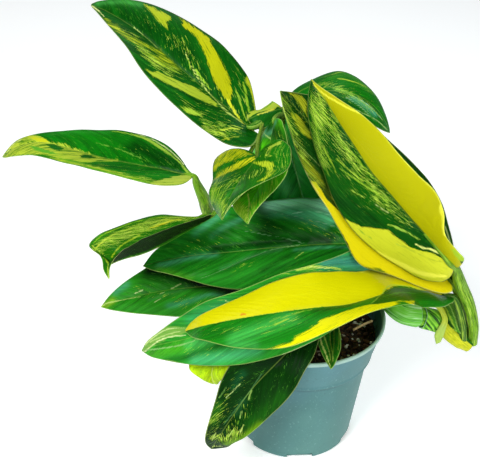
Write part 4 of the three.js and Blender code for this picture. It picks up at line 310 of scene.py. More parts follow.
        ["l", 2, [110, 165, 110], [0.28, 0.25], [[6.83, 0.4], [5.8, 0.23], [4.53, 0.05]]],
        ["l", 2, [130, 190, 150], [0.32, 0.25], [[5.73, 0.72], [4.7, 0.55], [3.03, 0.35]]],
        ["c", 0.9, 3.0, [[9.13, -1.0], [8.53, -0.78], [7.27, -0.33], [6.03, -0.05], [4.7, 0.02]]],
        ["c", 0.5, 2.5, [[6.37, -0.7], [5.4, -0.43], [4.2, -0.22], [2.3, -0.03]]],
        ["c", 0.7, 3, [[7.2, 0.47], [5.8, 0.27], [4.53, 0.07]]],
        ["c", 0.7, 3, [[6.13, 0.85], [5.47, 0.72], [4.7, 0.58], [3.0, 0.37]]],
        ["c", -0.5, 3, [[10.87, 0.08], [9.43, 0.17], [7.43, 0.15], [5.1, 0.12]]],
        ["l", 2, [170, 205, 90], [0.35, 0.35], [[4.8, -0.38], [4.5, -0.22]]],
        ["f", 0.35, 4.3, [[4.3, 0.4], [3.77, 0.28], [3.03, 0.12]]],
        ["f", 0.35, 4.3, [[7.57, -0.48], [6.6, -0.35]]],
        ["f", 0.2, 5.0, [[6.97, 0.53], [4.7, 0.45], [3.43, 0.23]]],
        ["f", 0.3, 5.7, [[9.0, 0.18], [7.8, 0.23]]],
    ]},
    "leaf_lower_left": {"base": [38, 132, 24], "marks": [
        # painted sheen: blue-green patch
        ["s", [70, 158, 110], 3.0, [[7.8, -0.65], [6.9, -0.55], [5.5, -0.58]], 0.65],
        ["s", [60, 140, 60], 2.2, [[8.67, -0.35], [7.77, -0.15], [7.07, -0.03]], 0.6],
        # painted sheen: blue-green patch near the tip
        ["s", [70, 158, 110], 3.0, [[10.4, 0.75], [9.73, 0.75]], 0.7],
        ["s", [130, 180, 40], 3.0, [[11.9, -0.38], [10.83, 0.12]], 0.9],
        # painted shadow cast by the broad middle leaf above
        ["s", [0, 16, 1], 8.1, [[8.53, 0.8], [6.43, 0.07], [4.63, -0.53]], 1.0],
        ["s", [50, 140, 40], 3.7, [[10.23, -0.62], [8.7, -0.8], [7.13, -0.9]], 0.6],
        ["l", 2, [190, 214, 120], [0.37, 0.3], [[11.87, 0.4], [10.37, 0.02], [9.13, -0.1]]],
        ["l", 2, [190, 214, 140], [0.44, 0.3], [[9.37, 0.13], [8.97, 0.17]]],
        ["l", 2, [190, 214, 140], [0.44, 0.3], [[8.47, -0.48], [8.2, -0.35]]],
        ["l", 2, [170, 200, 120], [0.33, 0.33], [[7.73, 0.02], [7.23, 0.13]]],
        ["l", 2, [190, 214, 140], [0.37, 0.3], [[6.17, -0.85], [5.87, -0.8]]],
        ["l", 2, [190, 214, 140], [0.37, 0.3], [[8.23, -0.13], [8.03, -0.08]]],
        ["f", 0.4, 5.9, [[9.13, 0.13], [8.0, -0.25]]],
        ["f", 0.4, 5.9, [[7.33, -0.53], [6.23, -0.73]]],
    ]},
    "leaf_low_pale_tip": {"base": [36, 138, 32], "marks": [
        # painted sheen: this tint and the next two are blue-green reflections
        ["s", [50, 150, 84], 4.7, [[8.67, 0.75], [8.17, 0.7], [7.57, 0.73]], 0.8],
        ["s", [70, 168, 110], 4.7, [[9.0, -0.77], [8.07, -0.72], [7.2, -0.7]], 0.7],
        ["s", [54, 132, 112], 5.3, [[4.63, 0.97], [3.83, 0.73], [2.43, 0.25]], 0.95],
        ["s", [62, 152, 24], 4.0, [[11.13, -0.73], [9.8, -0.37], [9.1, -0.22]], 0.8],
        # painted shade along the low side of the fold, then a painted highlight along its other side
        ["s", [8, 76, 12], 2.7, [[10.2, -1.0], [8.77, -0.5], [7.87, -0.38]], 0.6],
        ["s", [70, 170, 80], 3.3, [[9.1, -0.22], [8.2, -0.2], [7.6, -0.22]], 0.7],
        ["s", [30, 130, 40], 2.7, [[9.2, 0.8], [8.57, 0.93]], 0.6],
        ["p", 1, [112, 164, 66], [[12.0, -0.18], [11.23, 1.0], [10.4, 1.0], [9.93, 1.0], [9.6, 0.98], [9.23, 0.77], [8.83, 0.53], [9.0, 0.27], [9.33, 0.27], [9.7, 0.33], [10.6, 0.08], [11.63, -0.52]]],
        ["l", 2, [216, 230, 160], [0.4, 0.43, 0.33], [[11.77, -0.62], [10.53, 0.22], [9.83, 0.4], [9.03, 0.2]]],
        ["l", 2, [206, 224, 150], [0.4, 0.33], [[11.3, 0.77], [10.2, 0.88], [9.63, 0.85], [8.93, 0.53]]],
        ["l", 2, [190, 214, 130], [0.33, 0.27], [[10.73, 0.63], [9.73, 0.58], [9.13, 0.45]]],
        ["l", 1, [186, 214, 80], [0.5, 1.13, 0.8, 0.4], [[5.53, 0.97], [5.23, 0.97], [4.8, 0.87], [4.0, 0.55]]],
        ["l", 2, [206, 222, 130], [0.4, 0.33], [[5.13, 0.97], [4.47, 0.73]]],
        ["l", 2, [176, 204, 140], [0.4, 0.6, 0.4], [[6.47, -1.0], [5.93, -1.0], [5.57, -1.0], [5.07, -1.0]]],
        ["l", 2, [190, 214, 130], [0.33, 0.33], [[7.53, 0.83], [7.43, 0.68]]],
        ["l", 2, [150, 190, 120], [0.3, 0.27], [[11.43, -0.27], [9.77, -0.22], [8.63, -0.1]]],
        ["c", 0.6, 3, [[9.97, -0.95], [8.73, -0.43], [7.8, -0.35], [6.9, -0.28]]],
        ["f", 0.55, 3.3, [[5.93, 0.98], [5.43, 0.95], [4.03, 0.6]]],
        ["f", 0.3, 5.3, [[8.17, 0.77], [7.17, 0.72]]],
        ["f", 0.25, 5.3, [[9.07, -0.4], [7.87, -0.52], [6.97, -0.5]]],
    ]},
    "leaf_lime_low": {"base": [176, 212, 14], "marks": [
        ["l", 2, [104, 158, 18], [0.31, 0.24], [[8.97, -0.85], [8.73, -0.35]]],
        ["l", 2, [104, 158, 18], [0.31, 0.24], [[9.73, -1.0], [8.97, -0.13]]],
        ["l", 2, [104, 158, 18], [0.31, 0.24], [[10.43, -1.0], [9.33, -0.02]]],
        ["l", 2, [104, 158, 18], [0.31, 0.24], [[9.9, 1.0], [9.13, 0.42], [8.3, 0.63]]],
        ["l", 2, [216, 226, 120], [0.41, 0.34], [[8.67, 0.05], [12.0, -0.08]]],
        ["s", [150, 190, 20], 3.4, [[8.83, -0.47], [8.53, -0.03]], 0.6],
    ]},
    "leaf_hanging_front": {"base": [4, 44, 2], "marks": [
        ["s", [1, 34, 2], 6.0, [[5.27, -0.35], [3.87, 0.02], [2.37, 0.05]], 0.85],
        ["s", [20, 84, 4], 5.3, [[8.1, 0.67], [7.13, 0.8], [5.87, 0.82]], 0.55],
        ["s", [20, 96, 50], 2.7, [[6.93, -0.55], [6.23, -0.53]], 0.4],
        ["s", [110, 160, 16], 2.7, [[10.17, 0.65], [9.03, 0.92], [7.9, 0.97]], 0.6],
        ["s", [40, 110, 20], 3.3, [[8.77, -0.75], [8.07, -0.83]], 0.5],
        ["s", [30, 90, 50], 2.7, [[7.4, 0.02], [8.0, 0.02]], 0.4],
        ["l", 2, [80, 136, 76], [0.23, 0.2], [[8.77, -0.17], [7.87, -0.07], [7.0, 0.0], [5.67, -0.1]]],
        ["l", 2, [176, 206, 120], [0.43, 0.33], [[7.6, -0.62], [7.17, -0.5], [6.7, -0.42]]],
        ["l", 2, [110, 160, 70], [0.33, 0.27], [[7.77, -0.88], [7.2, -0.75]]],
        ["l", 2, [180, 206, 100], [0.4, 0.33], [[10.13, -0.4], [9.37, -0.37]]],
        ["l", 2, [180, 206, 100], [0.47, 0.33], [[8.73, 0.62], [8.33, 0.5]]],
        ["l", 2, [170, 204, 90], [0.4, 0.33], [[9.3, 0.38], [8.83, 0.33]]],
        ["l", 2, [150, 190, 90], [0.33, 0.3], [[8.13, 0.25], [7.8, 0.15]]],
        ["l", 2, [150, 190, 90], [0.33, 0.27], [[7.17, 0.12], [6.67, 0.02]]],
        ["l", 2, [190, 212, 120], [0.47, 0.33], [[11.53, -0.25], [10.8, 0.53]]],
        ["f", 0.95, 6.0, [[9.7, -0.38], [9.63, 0.27], [8.97, 0.55]]],
        ["f", 0.7, 6.0, [[8.77, -0.75], [8.1, -0.62]]],
        ["f", 0.4, 6.0, [[8.37, 0.12], [7.27, 0.23]]],
        ["f", 0.35, 4.7, [[7.37, -0.7], [6.53, -0.48]]],
    ]},
    "leaf_young_furled": {"base": [40, 118, 24], "marks": [
        ["l", 1, [196, 212, 120], [0.47, 0.68, 0.41], [[5.43, -0.82], [7.8, -0.62], [10.83, -0.38]]],
        ["l", 2, [14, 60, 8], [0.27, 0.34, 0.24], [[4.17, -0.37], [7.13, -0.15], [9.8, 0.18]]],
        ["l", 2, [186, 204, 100], [0.3, 0.37, 0.27], [[2.93, -0.02], [6.47, 0.02], [9.9, 0.38]]],
        ["l", 1, [176, 200, 90], [0.34, 0.47, 0.27], [[3.43, -0.72], [6.67, -0.3], [9.67, 0.0]]],
        ["l", 1, [150, 186, 70], [0.34, 0.34, 0.24], [[3.13, 0.53], [6.9, 0.32], [9.8, 0.18]]],
        ["l", 1, [160, 190, 80], [0.34, 0.34], [[4.53, 0.95], [8.13, 0.73]]],
    ]},
    "leaf_arched_top": {"base": [10, 104, 6], "marks": [
        # painted sheen: blue-green band beside the rib
        ["s", [80, 170, 130], 2.5, [[6.7, -0.22], [7.53, -0.3], [8.7, -0.43]], 0.8],
        ["s", [10, 80, 12], 3.5, [[4.77, -0.05], [6.17, -0.35], [7.47, -0.63]], 0.6],
        ["s", [60, 150, 30], 3.5, [[5.27, 0.6], [6.6, 0.8], [7.73, 0.62]], 0.5],
        ["s", [90, 170, 60], 2.1, [[5.57, 0.02], [6.57, -0.07]], 0.6],
        ["l", 1, [176, 204, 80], [0.32, 0.46, 0.39, 0.28], [[4.5, 0.77], [5.43, 0.77], [6.37, 0.97], [7.27, 1.0]]],
        # painted sheen: pale bluish streaks in the same band
        ["l", 2, [190, 224, 200], [0.28, 0.32, 0.25], [[6.7, -0.13], [7.87, -0.2], [9.37, -0.35]]],
        ["l", 2, [170, 214, 160], [0.25, 0.28, 0.25], [[6.27, -0.27], [7.4, -0.45], [8.83, -0.72]]],
        ["l", 1, [176, 208, 60], [0.49, 0.7, 0.35], [[5.77, 0.48], [6.57, 0.5], [7.5, 0.6]]],
        ["l", 2, [150, 196, 70], [0.46, 0.35], [[5.37, 0.07], [6.73, -0.03]]],
        ["l", 2, [160, 200, 110], [0.35, 0.42, 0.35], [[5.77, -0.43], [7.67, -0.65], [10.9, -0.65]]],
        ["l", 2, [14, 84, 14], [0.42, 0.56, 0.42], [[6.57, 0.13], [8.1, -0.07], [10.43, -0.37]]],
        ["l", 2, [20, 100, 24], [0.35, 0.49, 0.35], [[6.17, -0.28], [7.4, -0.5], [9.1, -0.75]]],
        ["l", 2, [150, 200, 70], [0.35, 0.42, 0.35], [[6.27, -0.07], [7.7, -0.22], [9.63, -0.33]]],
        ["l", 1, [130, 180, 60], [0.42, 0.35], [[7.8, 1.0], [8.93, 0.97], [10.13, 0.87]]],
        ["l", 1, [150, 196, 60], [0.42, 0.35], [[1.9, 0.55], [3.2, 0.48], [3.93, 0.45]]],
        ["f", 0.75, 6.3, [[4.53, 0.33], [6.2, -0.03], [8.23, -0.28]]],
        ["f", 0.55, 4.9, [[7.27, 0.6], [9.43, 0.95]]],
    ]},
    "leaf_upright_rear": {"base": [8, 58, 4], "marks": [
        ["s", [60, 70, 10], 4.1, [[8.27, -0.83], [7.53, -0.8], [6.83, -0.75]], 0.6],
        ["s", [30, 100, 20], 3.4, [[10.4, -0.98], [9.8, -0.87]], 0.5],
        ["p", 1, [170, 176, 30], [[11.4, 0.75], [10.97, 0.78], [10.6, 0.72], [10.17, 0.45], [9.8, 0.1], [10.17, 0.17], [10.67, 0.33]], 1.4],
        ["p", 1, [166, 174, 30], [[10.43, -0.48], [10.07, -0.23], [9.63, -0.22], [9.3, -0.25], [9.1, -0.33], [9.43, -0.5], [9.8, -0.57], [10.13, -0.58]], 1.3],
        ["l", 1, [150, 186, 60], [0.34, 0.34, 0.27], [[12.0, -0.88], [10.77, -0.98], [9.8, -0.92], [9.33, -1.0]]],
        ["l", 1, [120, 160, 34], [0.31, 0.27], [[11.67, -0.85], [10.93, -0.42], [9.97, -0.42]]],
        ["l", 2, [150, 186, 90], [0.24, 0.24, 0.2], [[9.53, -0.95], [8.93, -0.73], [8.23, -0.58]]],
        ["l", 2, [176, 200, 60], [0.54, 0.34], [[9.5, -1.0], [9.23, -0.92]]],
        ["l", 2, [160, 190, 60], [0.41, 0.34], [[10.97, -0.97], [10.03, -0.88], [9.53, -0.73]]],
        ["p", 1, [172, 170, 20], [[8.97, -1.0], [8.87, -0.85], [8.67, -0.8], [8.33, -0.77], [7.97, -0.72], [7.63, -0.72], [7.73, -0.78], [8.07, -0.87], [8.3, -0.95], [8.57, -1.0]], 1.7],
        ["p", 1, [212, 198, 8], [[8.13, -1.0], [7.93, -0.88], [7.57, -0.88], [7.23, -0.9], [6.77, -0.82], [6.3, -0.73], [5.7, -0.63], [4.07, -0.48], [1.9, -0.28], [0.0, -0.02], [0.73, -1.0], [2.03, -1.0], [3.2, -1.0], [4.43, -1.0], [5.03, -1.0], [5.67, -0.97], [6.53, -1.0], [7.37, -1.0]], 0.5],
        ["l", 2, [236, 230, 150], [0.34, 0.54, 0.41], [[8.5, -1.0], [7.97, -0.98], [7.3, -0.98], [6.8, -1.0]]],
        ["l", 2, [140, 150, 20], [0.34, 0.34], [[7.93, -0.82], [7.27, -0.8], [6.77, -0.73]]],
        ["p", 2, [76, 104, 16], [[4.87, -0.98], [4.63, -0.95], [4.4, -0.93], [4.13, -0.98], [4.43, -1.0], [4.77, -1.0]]],
        ["l", 2, [24, 80, 12], [1.02, 1.36, 1.02], [[3.37, 0.85], [2.7, 0.88], [2.03, 0.98]]],
        ["l", 2, [190, 205, 130], [0.34, 0.34], [[3.27, 0.87], [2.63, 0.87], [2.0, 0.9]]],
        ["f", 0.6, 5.4, [[11.27, -0.52], [9.97, -0.78], [9.1, -0.87]]],
        ["f", 0.8, 5.4, [[8.77, -0.9], [7.8, -0.87]]],
        ["f", 0.5, 4.1, [[10.2, 0.07], [9.4, -0.23]]],
    ]},
    "leaf_upright_front": {"base": [8, 72, 4], "marks": [
        ["p", 1, [186, 184, 10], [[0, 0.03], [12, 0.03], [12, 1.1], [0, 1.1]], 0.25],
        ["s", [4, 56, 8], 5.9, [[7.03, -1.0], [6.53, -0.72], [5.63, -0.58]], 0.7],
        ["s", [30, 110, 22], 3.9, [[10.03, -0.53], [8.97, -0.73]], 0.5],
        ["s", [8, 66, 10], 5.2, [[4.77, -0.28], [4.2, -0.17], [3.57, -0.1]], 0.5],
        ["l", 1, [150, 188, 40], [0.26, 0.29, 0.26], [[10.83, -0.05], [9.8, -0.27], [9.1, -0.25], [8.37, -0.25]]],
        ["l", 1, [136, 180, 36], [0.26, 0.39, 0.29], [[10.87, -0.65], [9.77, -0.67], [9.17, -0.77], [8.5, -0.83]]],
        ["l", 1, [142, 188, 40], [0.29, 0.36, 0.33, 0.26], [[9.13, -0.17], [8.3, -0.18], [7.63, -0.08], [6.8, -0.05]]],
        ["l", 1, [120, 176, 34], [0.23, 0.26, 0.23], [[9.13, -0.3], [8.5, -0.23], [7.87, -0.17]]],
        ["l", 1, [160, 196, 50], [0.26, 0.26], [[10.43, 0.25], [9.7, -0.02], [9.17, -0.02]]],
        ["l", 1, [150, 188, 44], [0.29, 0.59, 0.33], [[8.63, -0.7], [8.17, -0.68], [7.7, -0.67]]],
        ["l", 1, [150, 186, 50], [0.39, 0.46, 0.29], [[8.1, -0.52], [7.47, -0.35], [6.9, -0.22]]],
        ["l", 1, [136, 178, 44], [0.29, 0.59, 0.42], [[7.73, -0.53], [7.1, -0.33], [6.5, -0.2], [5.77, -0.12]]],
        ["l", 1, [150, 184, 66], [0.29, 0.46, 0.29], [[6.6, -0.1], [6.0, -0.07], [5.33, -0.03]]],
        ["l", 2, [200, 220, 130], [0.29, 0.26], [[6.07, -0.33], [5.5, -0.23]]],
        ["l", 2, [170, 205, 70], [0.46, 0.33], [[6.9, -0.52], [6.47, -0.4]]],
        ["l", 2, [150, 190, 60], [0.52, 0.33], [[5.2, -0.38], [4.83, -0.27], [3.97, -0.15]]],
        ["l", 2, [140, 182, 60], [0.65, 0.33], [[4.97, -0.32], [4.4, -0.2]]],
        ["l", 1, [140, 180, 50], [0.29, 0.36, 0.26], [[8.77, -1.0], [8.27, -0.92], [7.7, -0.85]]],
        ["p", 1, [200, 206, 44], [[6.37, -0.98], [6.13, -0.92], [5.93, -0.85], [5.73, -0.8], [5.63, -0.72], [5.33, -0.58], [5.07, -0.45], [4.77, -0.45], [4.4, -0.42], [4.03, -0.4], [3.73, -0.33], [3.27, -0.18], [2.47, -0.05], [1.13, 0.07], [0.83, -0.72], [1.67, -1.0], [2.6, -1.0], [3.3, -1.0], [3.9, -1.0], [4.73, -1.0], [5.5, -1.0], [6.17, -1.0]], 0.6],
        ["l", 2, [224, 224, 70], [0.98, 1.96, 1.96, 0.98], [[4.73, -0.97], [3.87, -0.9], [2.87, -0.77], [1.57, -0.57]]],
        ["l", 2, [120, 160, 40], [0.33, 0.52, 0.33], [[6.07, -0.9], [5.6, -0.87], [5.23, -0.82]]],
        ["l", 2, [150, 176, 50], [0.39, 0.33], [[4.5, -0.55], [3.97, -0.45], [3.4, -0.35]]],
        ["l", 2, [214, 224, 120], [0.46, 0.65, 0.59], [[3.97, -0.27], [3.63, -0.22], [3.27, -0.1], [2.2, 0.05]]],
        ["l", 2, [130, 150, 30], [0.29, 0.29], [[4.23, -0.47], [3.33, -0.35], [2.53, -0.18]]],
        ["l", 2, [226, 226, 60], [0.65, 0.78, 0.72, 0.65], [[11.5, 0.02], [9.03, 1.0], [7.17, 1.0], [5.57, 1.0], [4.3, 1.0], [3.0, 0.95]]],
        ["l", 2, [156, 190, 40], [0.98, 1.63], [[2.2, 0.87], [1.27, 0.82]]],
        ["l", 2, [190, 184, 12], [0.33, 0.46, 0.33], [[8.6, 0.18], [6.63, 0.3], [4.37, 0.1], [2.33, 0.23]]],
        ["l", 2, [120, 70, 10], [0.52, 0.52], [[1.47, -1.0], [1.23, -1.0]]],
        ["l", 2, [130, 90, 20], [0.26, 0.26], [[1.87, -0.73], [1.8, -0.72]]],
        ["f", 0.85, 6.5, [[10.6, -0.33], [9.37, -0.28], [8.17, -0.23], [6.7, -0.1]]],
        ["f", 0.7, 5.2, [[6.17, -0.15], [4.87, -0.12]]],
        ["f", 0.8, 5.2, [[10.1, -0.63], [9.0, -0.8], [8.1, -0.85]]],
        ["f", 0.35, 5.9, [[7.3, -0.55], [5.87, -0.38]]],
    ]},
    "leaf_yellow_front": {"base": [20, 120, 16], "marks": [
        ["p", 1, [212, 208, 1], [[0, 0.0], [12, 0.0], [12, 1.1], [0, 1.1]], 0.25],
        # painted sheen: blue-green on the green half
        ["s", [64, 172, 72], 5.1, [[9.1, -0.65], [8.4, -0.4], [7.77, -0.25]], 0.75],
        ["s", [20, 96, 18], 2.6, [[10.0, -0.58], [9.23, -0.4]], 0.5],
        # painted sheen: blue-green near the edge
        ["s", [60, 160, 70], 2.6, [[9.23, -0.87], [8.67, -0.88]], 0.6],
        ["s", [20, 84, 18], 1.9, [[7.13, -0.15], [6.67, -0.2], [6.13, -0.27]], 0.8],
        ["l", 2, [150, 196, 60], [0.51, 0.38], [[8.17, -0.37], [7.8, -0.25]]],
        ["l", 2, [140, 190, 60], [0.38, 0.32], [[7.97, -0.2], [7.47, -0.13]]],
        ["l", 2, [150, 196, 60], [0.32, 0.32], [[7.6, -0.12], [7.1, -0.08]]],
        ["l", 2, [120, 180, 60], [0.32, 0.32], [[8.27, -0.27], [8.0, -0.17]]],
        ["p", 1, [228, 224, 6], [[8.5, -1.0], [8.43, -1.0], [8.13, -0.93], [7.87, -0.9], [7.77, -0.82], [7.57, -0.77], [7.43, -0.73], [7.3, -0.68], [7.17, -0.67], [7.07, -0.57], [6.8, -0.55], [6.4, -0.52], [6.0, -0.53], [5.7, -0.58], [5.43, -0.7], [5.07, -0.78], [4.23, -0.78], [4.43, -0.88], [5.33, -0.95], [5.6, -0.98], [5.93, -1.0], [6.23, -1.0], [6.73, -1.0], [7.23, -1.0], [7.73, -1.0], [8.13, -1.0]]],
        ["p", 2, [30, 98, 14], [[5.73, -0.58], [5.33, -0.17], [4.9, 0.05], [4.37, 0.03], [3.77, 0.07], [3.3, 0.07], [2.9, -0.08], [1.47, 0.02], [0.0, -0.33], [0.9, -0.83], [2.97, -0.68], [3.77, -0.7], [4.87, -0.78], [5.33, -0.73], [5.57, -0.7]]],
        ["l", 2, [60, 140, 30], [0.64, 1.12, 0.48], [[5.17, -0.27], [4.53, -0.32], [3.7, -0.43]]],
        ["l", 2, [150, 190, 60], [0.32, 0.35, 0.32], [[5.7, -0.53], [4.87, 0.05], [3.77, 0.08], [2.73, 0.03]]],
        ["l", 2, [205, 140, 10], [0.77, 0.77], [[8.93, 0.15], [8.83, 0.13]]],
        ["l", 2, [196, 196, 6], [0.32, 0.38, 0.26], [[7.3, 0.63], [6.03, 0.58], [4.47, 0.22]]],
        ["l", 2, [204, 204, 8], [0.26, 0.32, 0.26], [[7.63, 0.4], [6.17, 0.3], [5.37, 0.08]]],
        ["l", 2, [206, 204, 6], [0.26, 0.32, 0.26], [[8.97, 0.55], [7.63, 0.4]]],
        ["l", 2, [242, 238, 60], [0.51, 0.51, 0.51], [[10.23, 1.0], [8.93, 1.0], [7.7, 1.0], [6.53, 1.0], [4.7, 0.93]]],
        ["l", 2, [214, 190, 20], [0.38, 0.32], [[11.87, -0.15], [11.0, 1.0], [9.8, 0.92]]],
        ["l", 2, [206, 196, 10], [0.8, 0.96, 0.64], [[3.5, 0.43], [2.03, 0.6], [0.33, 0.82]]],
        ["f", 0.5, 5.1, [[8.47, -0.42], [7.47, -0.17]]],
        ["f", 0.3, 5.1, [[10.23, -0.52], [9.0, -0.48]]],
    ]},
    # the base green is lifted well above the leaf's own green to make up for the shade it sits in: painted light
    "leaf_shaded_inner": {"base": [34, 140, 44], "marks": [
        ["l", 2, [130, 190, 130], [0.29, 0.36], [[4.87, -0.05], [6.3, 0.0], [7.97, 0.05]]],
        ["s", [90, 190, 110], 4.3, [[6.2, -0.38], [7.33, -0.27]], 0.7],
        ["s", [60, 150, 70], 2.9, [[4.17, 0.1], [6.6, 0.07]], 0.6],
        ["s", [4, 40, 6], 5.8, [[3.83, -0.9], [6.97, -0.73]], 0.5],
    ]},
    "sheath_stem_top": {"base": [22, 96, 18], "marks": [
        ["l", 1, [206, 208, 60], [0.55, 0.76, 0.55], [[7.43, 0.05], [5.2, 0.07], [0.03, 0.45]]],
        ["p", 1, [176, 200, 56], [[0, 0.25], [12, 0.25], [12, 1.1], [0, 1.1]], 0.25],
        ["l", 2, [60, 140, 40], [0.48, 0.35], [[5.87, 0.68], [0.67, 1.0]]],
    ]},
}


# ------------------------------------------------------------------ small helpers
def along(P, t):
    """Catmull-Rom through equally numbered points; P is (n, k), t is an array in 0..n-1."""
    P = np.asarray(P, float)
    t = np.asarray(t, float)
    n = len(P)
    i = np.clip(np.floor(t).astype(int), 0, n - 2)
    f = (t - i)[..., None]
    ext = np.vstack([2 * P[0] - P[1], P, 2 * P[-1] - P[-2]])
    p0, p1, p2, p3 = ext[i], ext[i + 1], ext[i + 2], ext[i + 3]
    return 0.5 * (2 * p1 + (p2 - p0) * f + (2 * p0 - 5 * p1 + 4 * p2 - p3) * f * f + (-p0 + 3 * p1 - 3 * p2 + p3) * f ** 3)


def unit(a):
    return a / np.maximum(np.linalg.norm(a, axis=-1, keepdims=True), 1e-9)


def smooth(a, b, x):
    t = np.clip((np.asarray(x, float) - a) / (b - a), 0, 1)
    return t * t * (3 - 2 * t)


def wave(x, seed, parts=4):
    """A smooth seeded 1-D wave of about -1..1."""
    r = np.random.default_rng(seed)
    out = 0 * np.asarray(x, float)
    for k in range(parts):
        out = out + np.sin(x * (0.6 + k * 0.83 + 0.2 * r.random()) + r.random() * 6.28) / (1 + 0.5 * k)
    return out / 2.2


def new_object(name, verts, faces, attrs=None, mats=(), mat_index=None, uv=None, shade=True):
    me = bpy.data.meshes.new(name)
    verts = np.asarray(verts, np.float32)
    faces = [tuple(int(i) for i in f) for f in faces] if not isinstance(faces, np.ndarray) else faces
    if isinstance(faces, np.ndarray):
        nf, k = faces.shape
        me.vertices.add(len(verts))
        me.vertices.foreach_set("co", verts.ravel())
        me.loops.add(nf * k)
        me.loops.foreach_set("vertex_index", faces.astype(np.int32).ravel())
        me.polygons.add(nf)
        me.polygons.foreach_set("loop_start", (np.arange(nf) * k).astype(np.int32))
        me.polygons.foreach_set("loop_total", np.full(nf, k, np.int32))
        me.update(calc_edges=True)
    else:
        me.from_pydata(verts.tolist(), [], faces)
        me.update(calc_edges=True)
    me.validate()
    for key, val in (attrs or {}).items():
        val = np.asarray(val, np.float32)
        if val.ndim == 1:
            me.attributes.new(key, "FLOAT", "POINT").data.foreach_set("value", val)
        else:
            me.attributes.new(key, "FLOAT_VECTOR", "POINT").data.foreach_set("vector", val.ravel())
    if uv is not None:
        layer = me.uv_layers.new(name="OFBake")
        layer.data.foreach_set("uv", np.asarray(uv, np.float32).ravel())
    for m in mats:
        me.materials.append(m)
    if mat_index is not None:
        me.polygons.foreach_set("material_index", np.asarray(mat_index, np.int32))
    if shade:
        me.polygons.foreach_set("use_smooth", np.ones(len(me.polygons), bool))
    ob = bpy.data.objects.new(name, me)
    SC.collection.objects.link(ob)
    return ob


def put(ob, slot, *nodes):
    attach(ob, "root")
    if nodes:
        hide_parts(*nodes)
    return ob


# ------------------------------------------------------------------ sweeps
def frames(C):
    T = unit(np.gradient(C, axis=0))
    u = np.array([0, 0, 1.0]) if abs(T[0, 2]) < 0.9 else np.array([0, 1.0, 0])
    U = np.zeros_like(T)
    for i, t in enumerate(T):
        u = u - t * (u @ t)
        u = u / np.linalg.norm(u)
        U[i] = u
    return T, U, np.cross(T, U)


def sweep(points, step=1.2, sides=28, grow=0.0, shape=None, ends=(1, 1)):
    """Closed tube on a smooth line. Returns verts (mm), faces, attrs (arc length, angle)."""
    P = np.asarray(points, float)
    n = len(P) - 1
    t = np.linspace(0, n, 400)
    C = along(P, t)
    d = np.r_[0, np.cumsum(np.linalg.norm(np.diff(C[:, :3], axis=0), axis=1))]
    m = max(int(d[-1] / step), 6)
    t = np.interp(np.linspace(0, d[-1], m + 1), d, t)
    C = along(P, t)
    s = np.linspace(0, d[-1], m + 1)
    T, U, W = frames(C[:, :3])
    a = np.linspace(0, 2 * np.pi, sides, endpoint=False)
    r = (C[:, 3] + grow)[:, None] * np.ones(sides)[None]
    if shape is not None:
        r = r * shape(s[:, None], a[None, :], d[-1])
    ring = C[:, None, :3] + r[..., None] * (U[:, None] * np.cos(a)[None, :, None] + W[:, None] * np.sin(a)[None, :, None])
    verts = ring.reshape(-1, 3)
    i, k = np.meshgrid(np.arange(m), np.arange(sides), indexing="ij")
    k2 = (k + 1) % sides
    q = np.stack([i * sides + k, i * sides + k2, (i + 1) * sides + k2, (i + 1) * sides + k], -1).reshape(-1, 4)
    arc = np.repeat(s, sides)
    ang = np.tile(a, m + 1)
    faces = [tuple(f) for f in q[:, ::1]]
    caps = []
    c0 = len(verts)
    e0 = C[0, :3] - T[0] * C[0, 3] * 0.25 * ends[0]
    e1 = C[-1, :3] + T[-1] * C[-1, 3] * 0.25 * ends[1]
    verts = np.vstack([verts, e0, e1])
    arc = np.r_[arc, 0, s[-1]]
    ang = np.r_[ang, 0, 0]
    for k in range(sides):
        k2 = (k + 1) % sides
        caps.append((c0, k2, k))
        caps.append((c0 + 1, m * sides + k, m * sides + k2))
    return verts, faces + caps, dict(lv=np.stack([arc, ang, 0 * arc], -1)), (C, T, U, W, s)


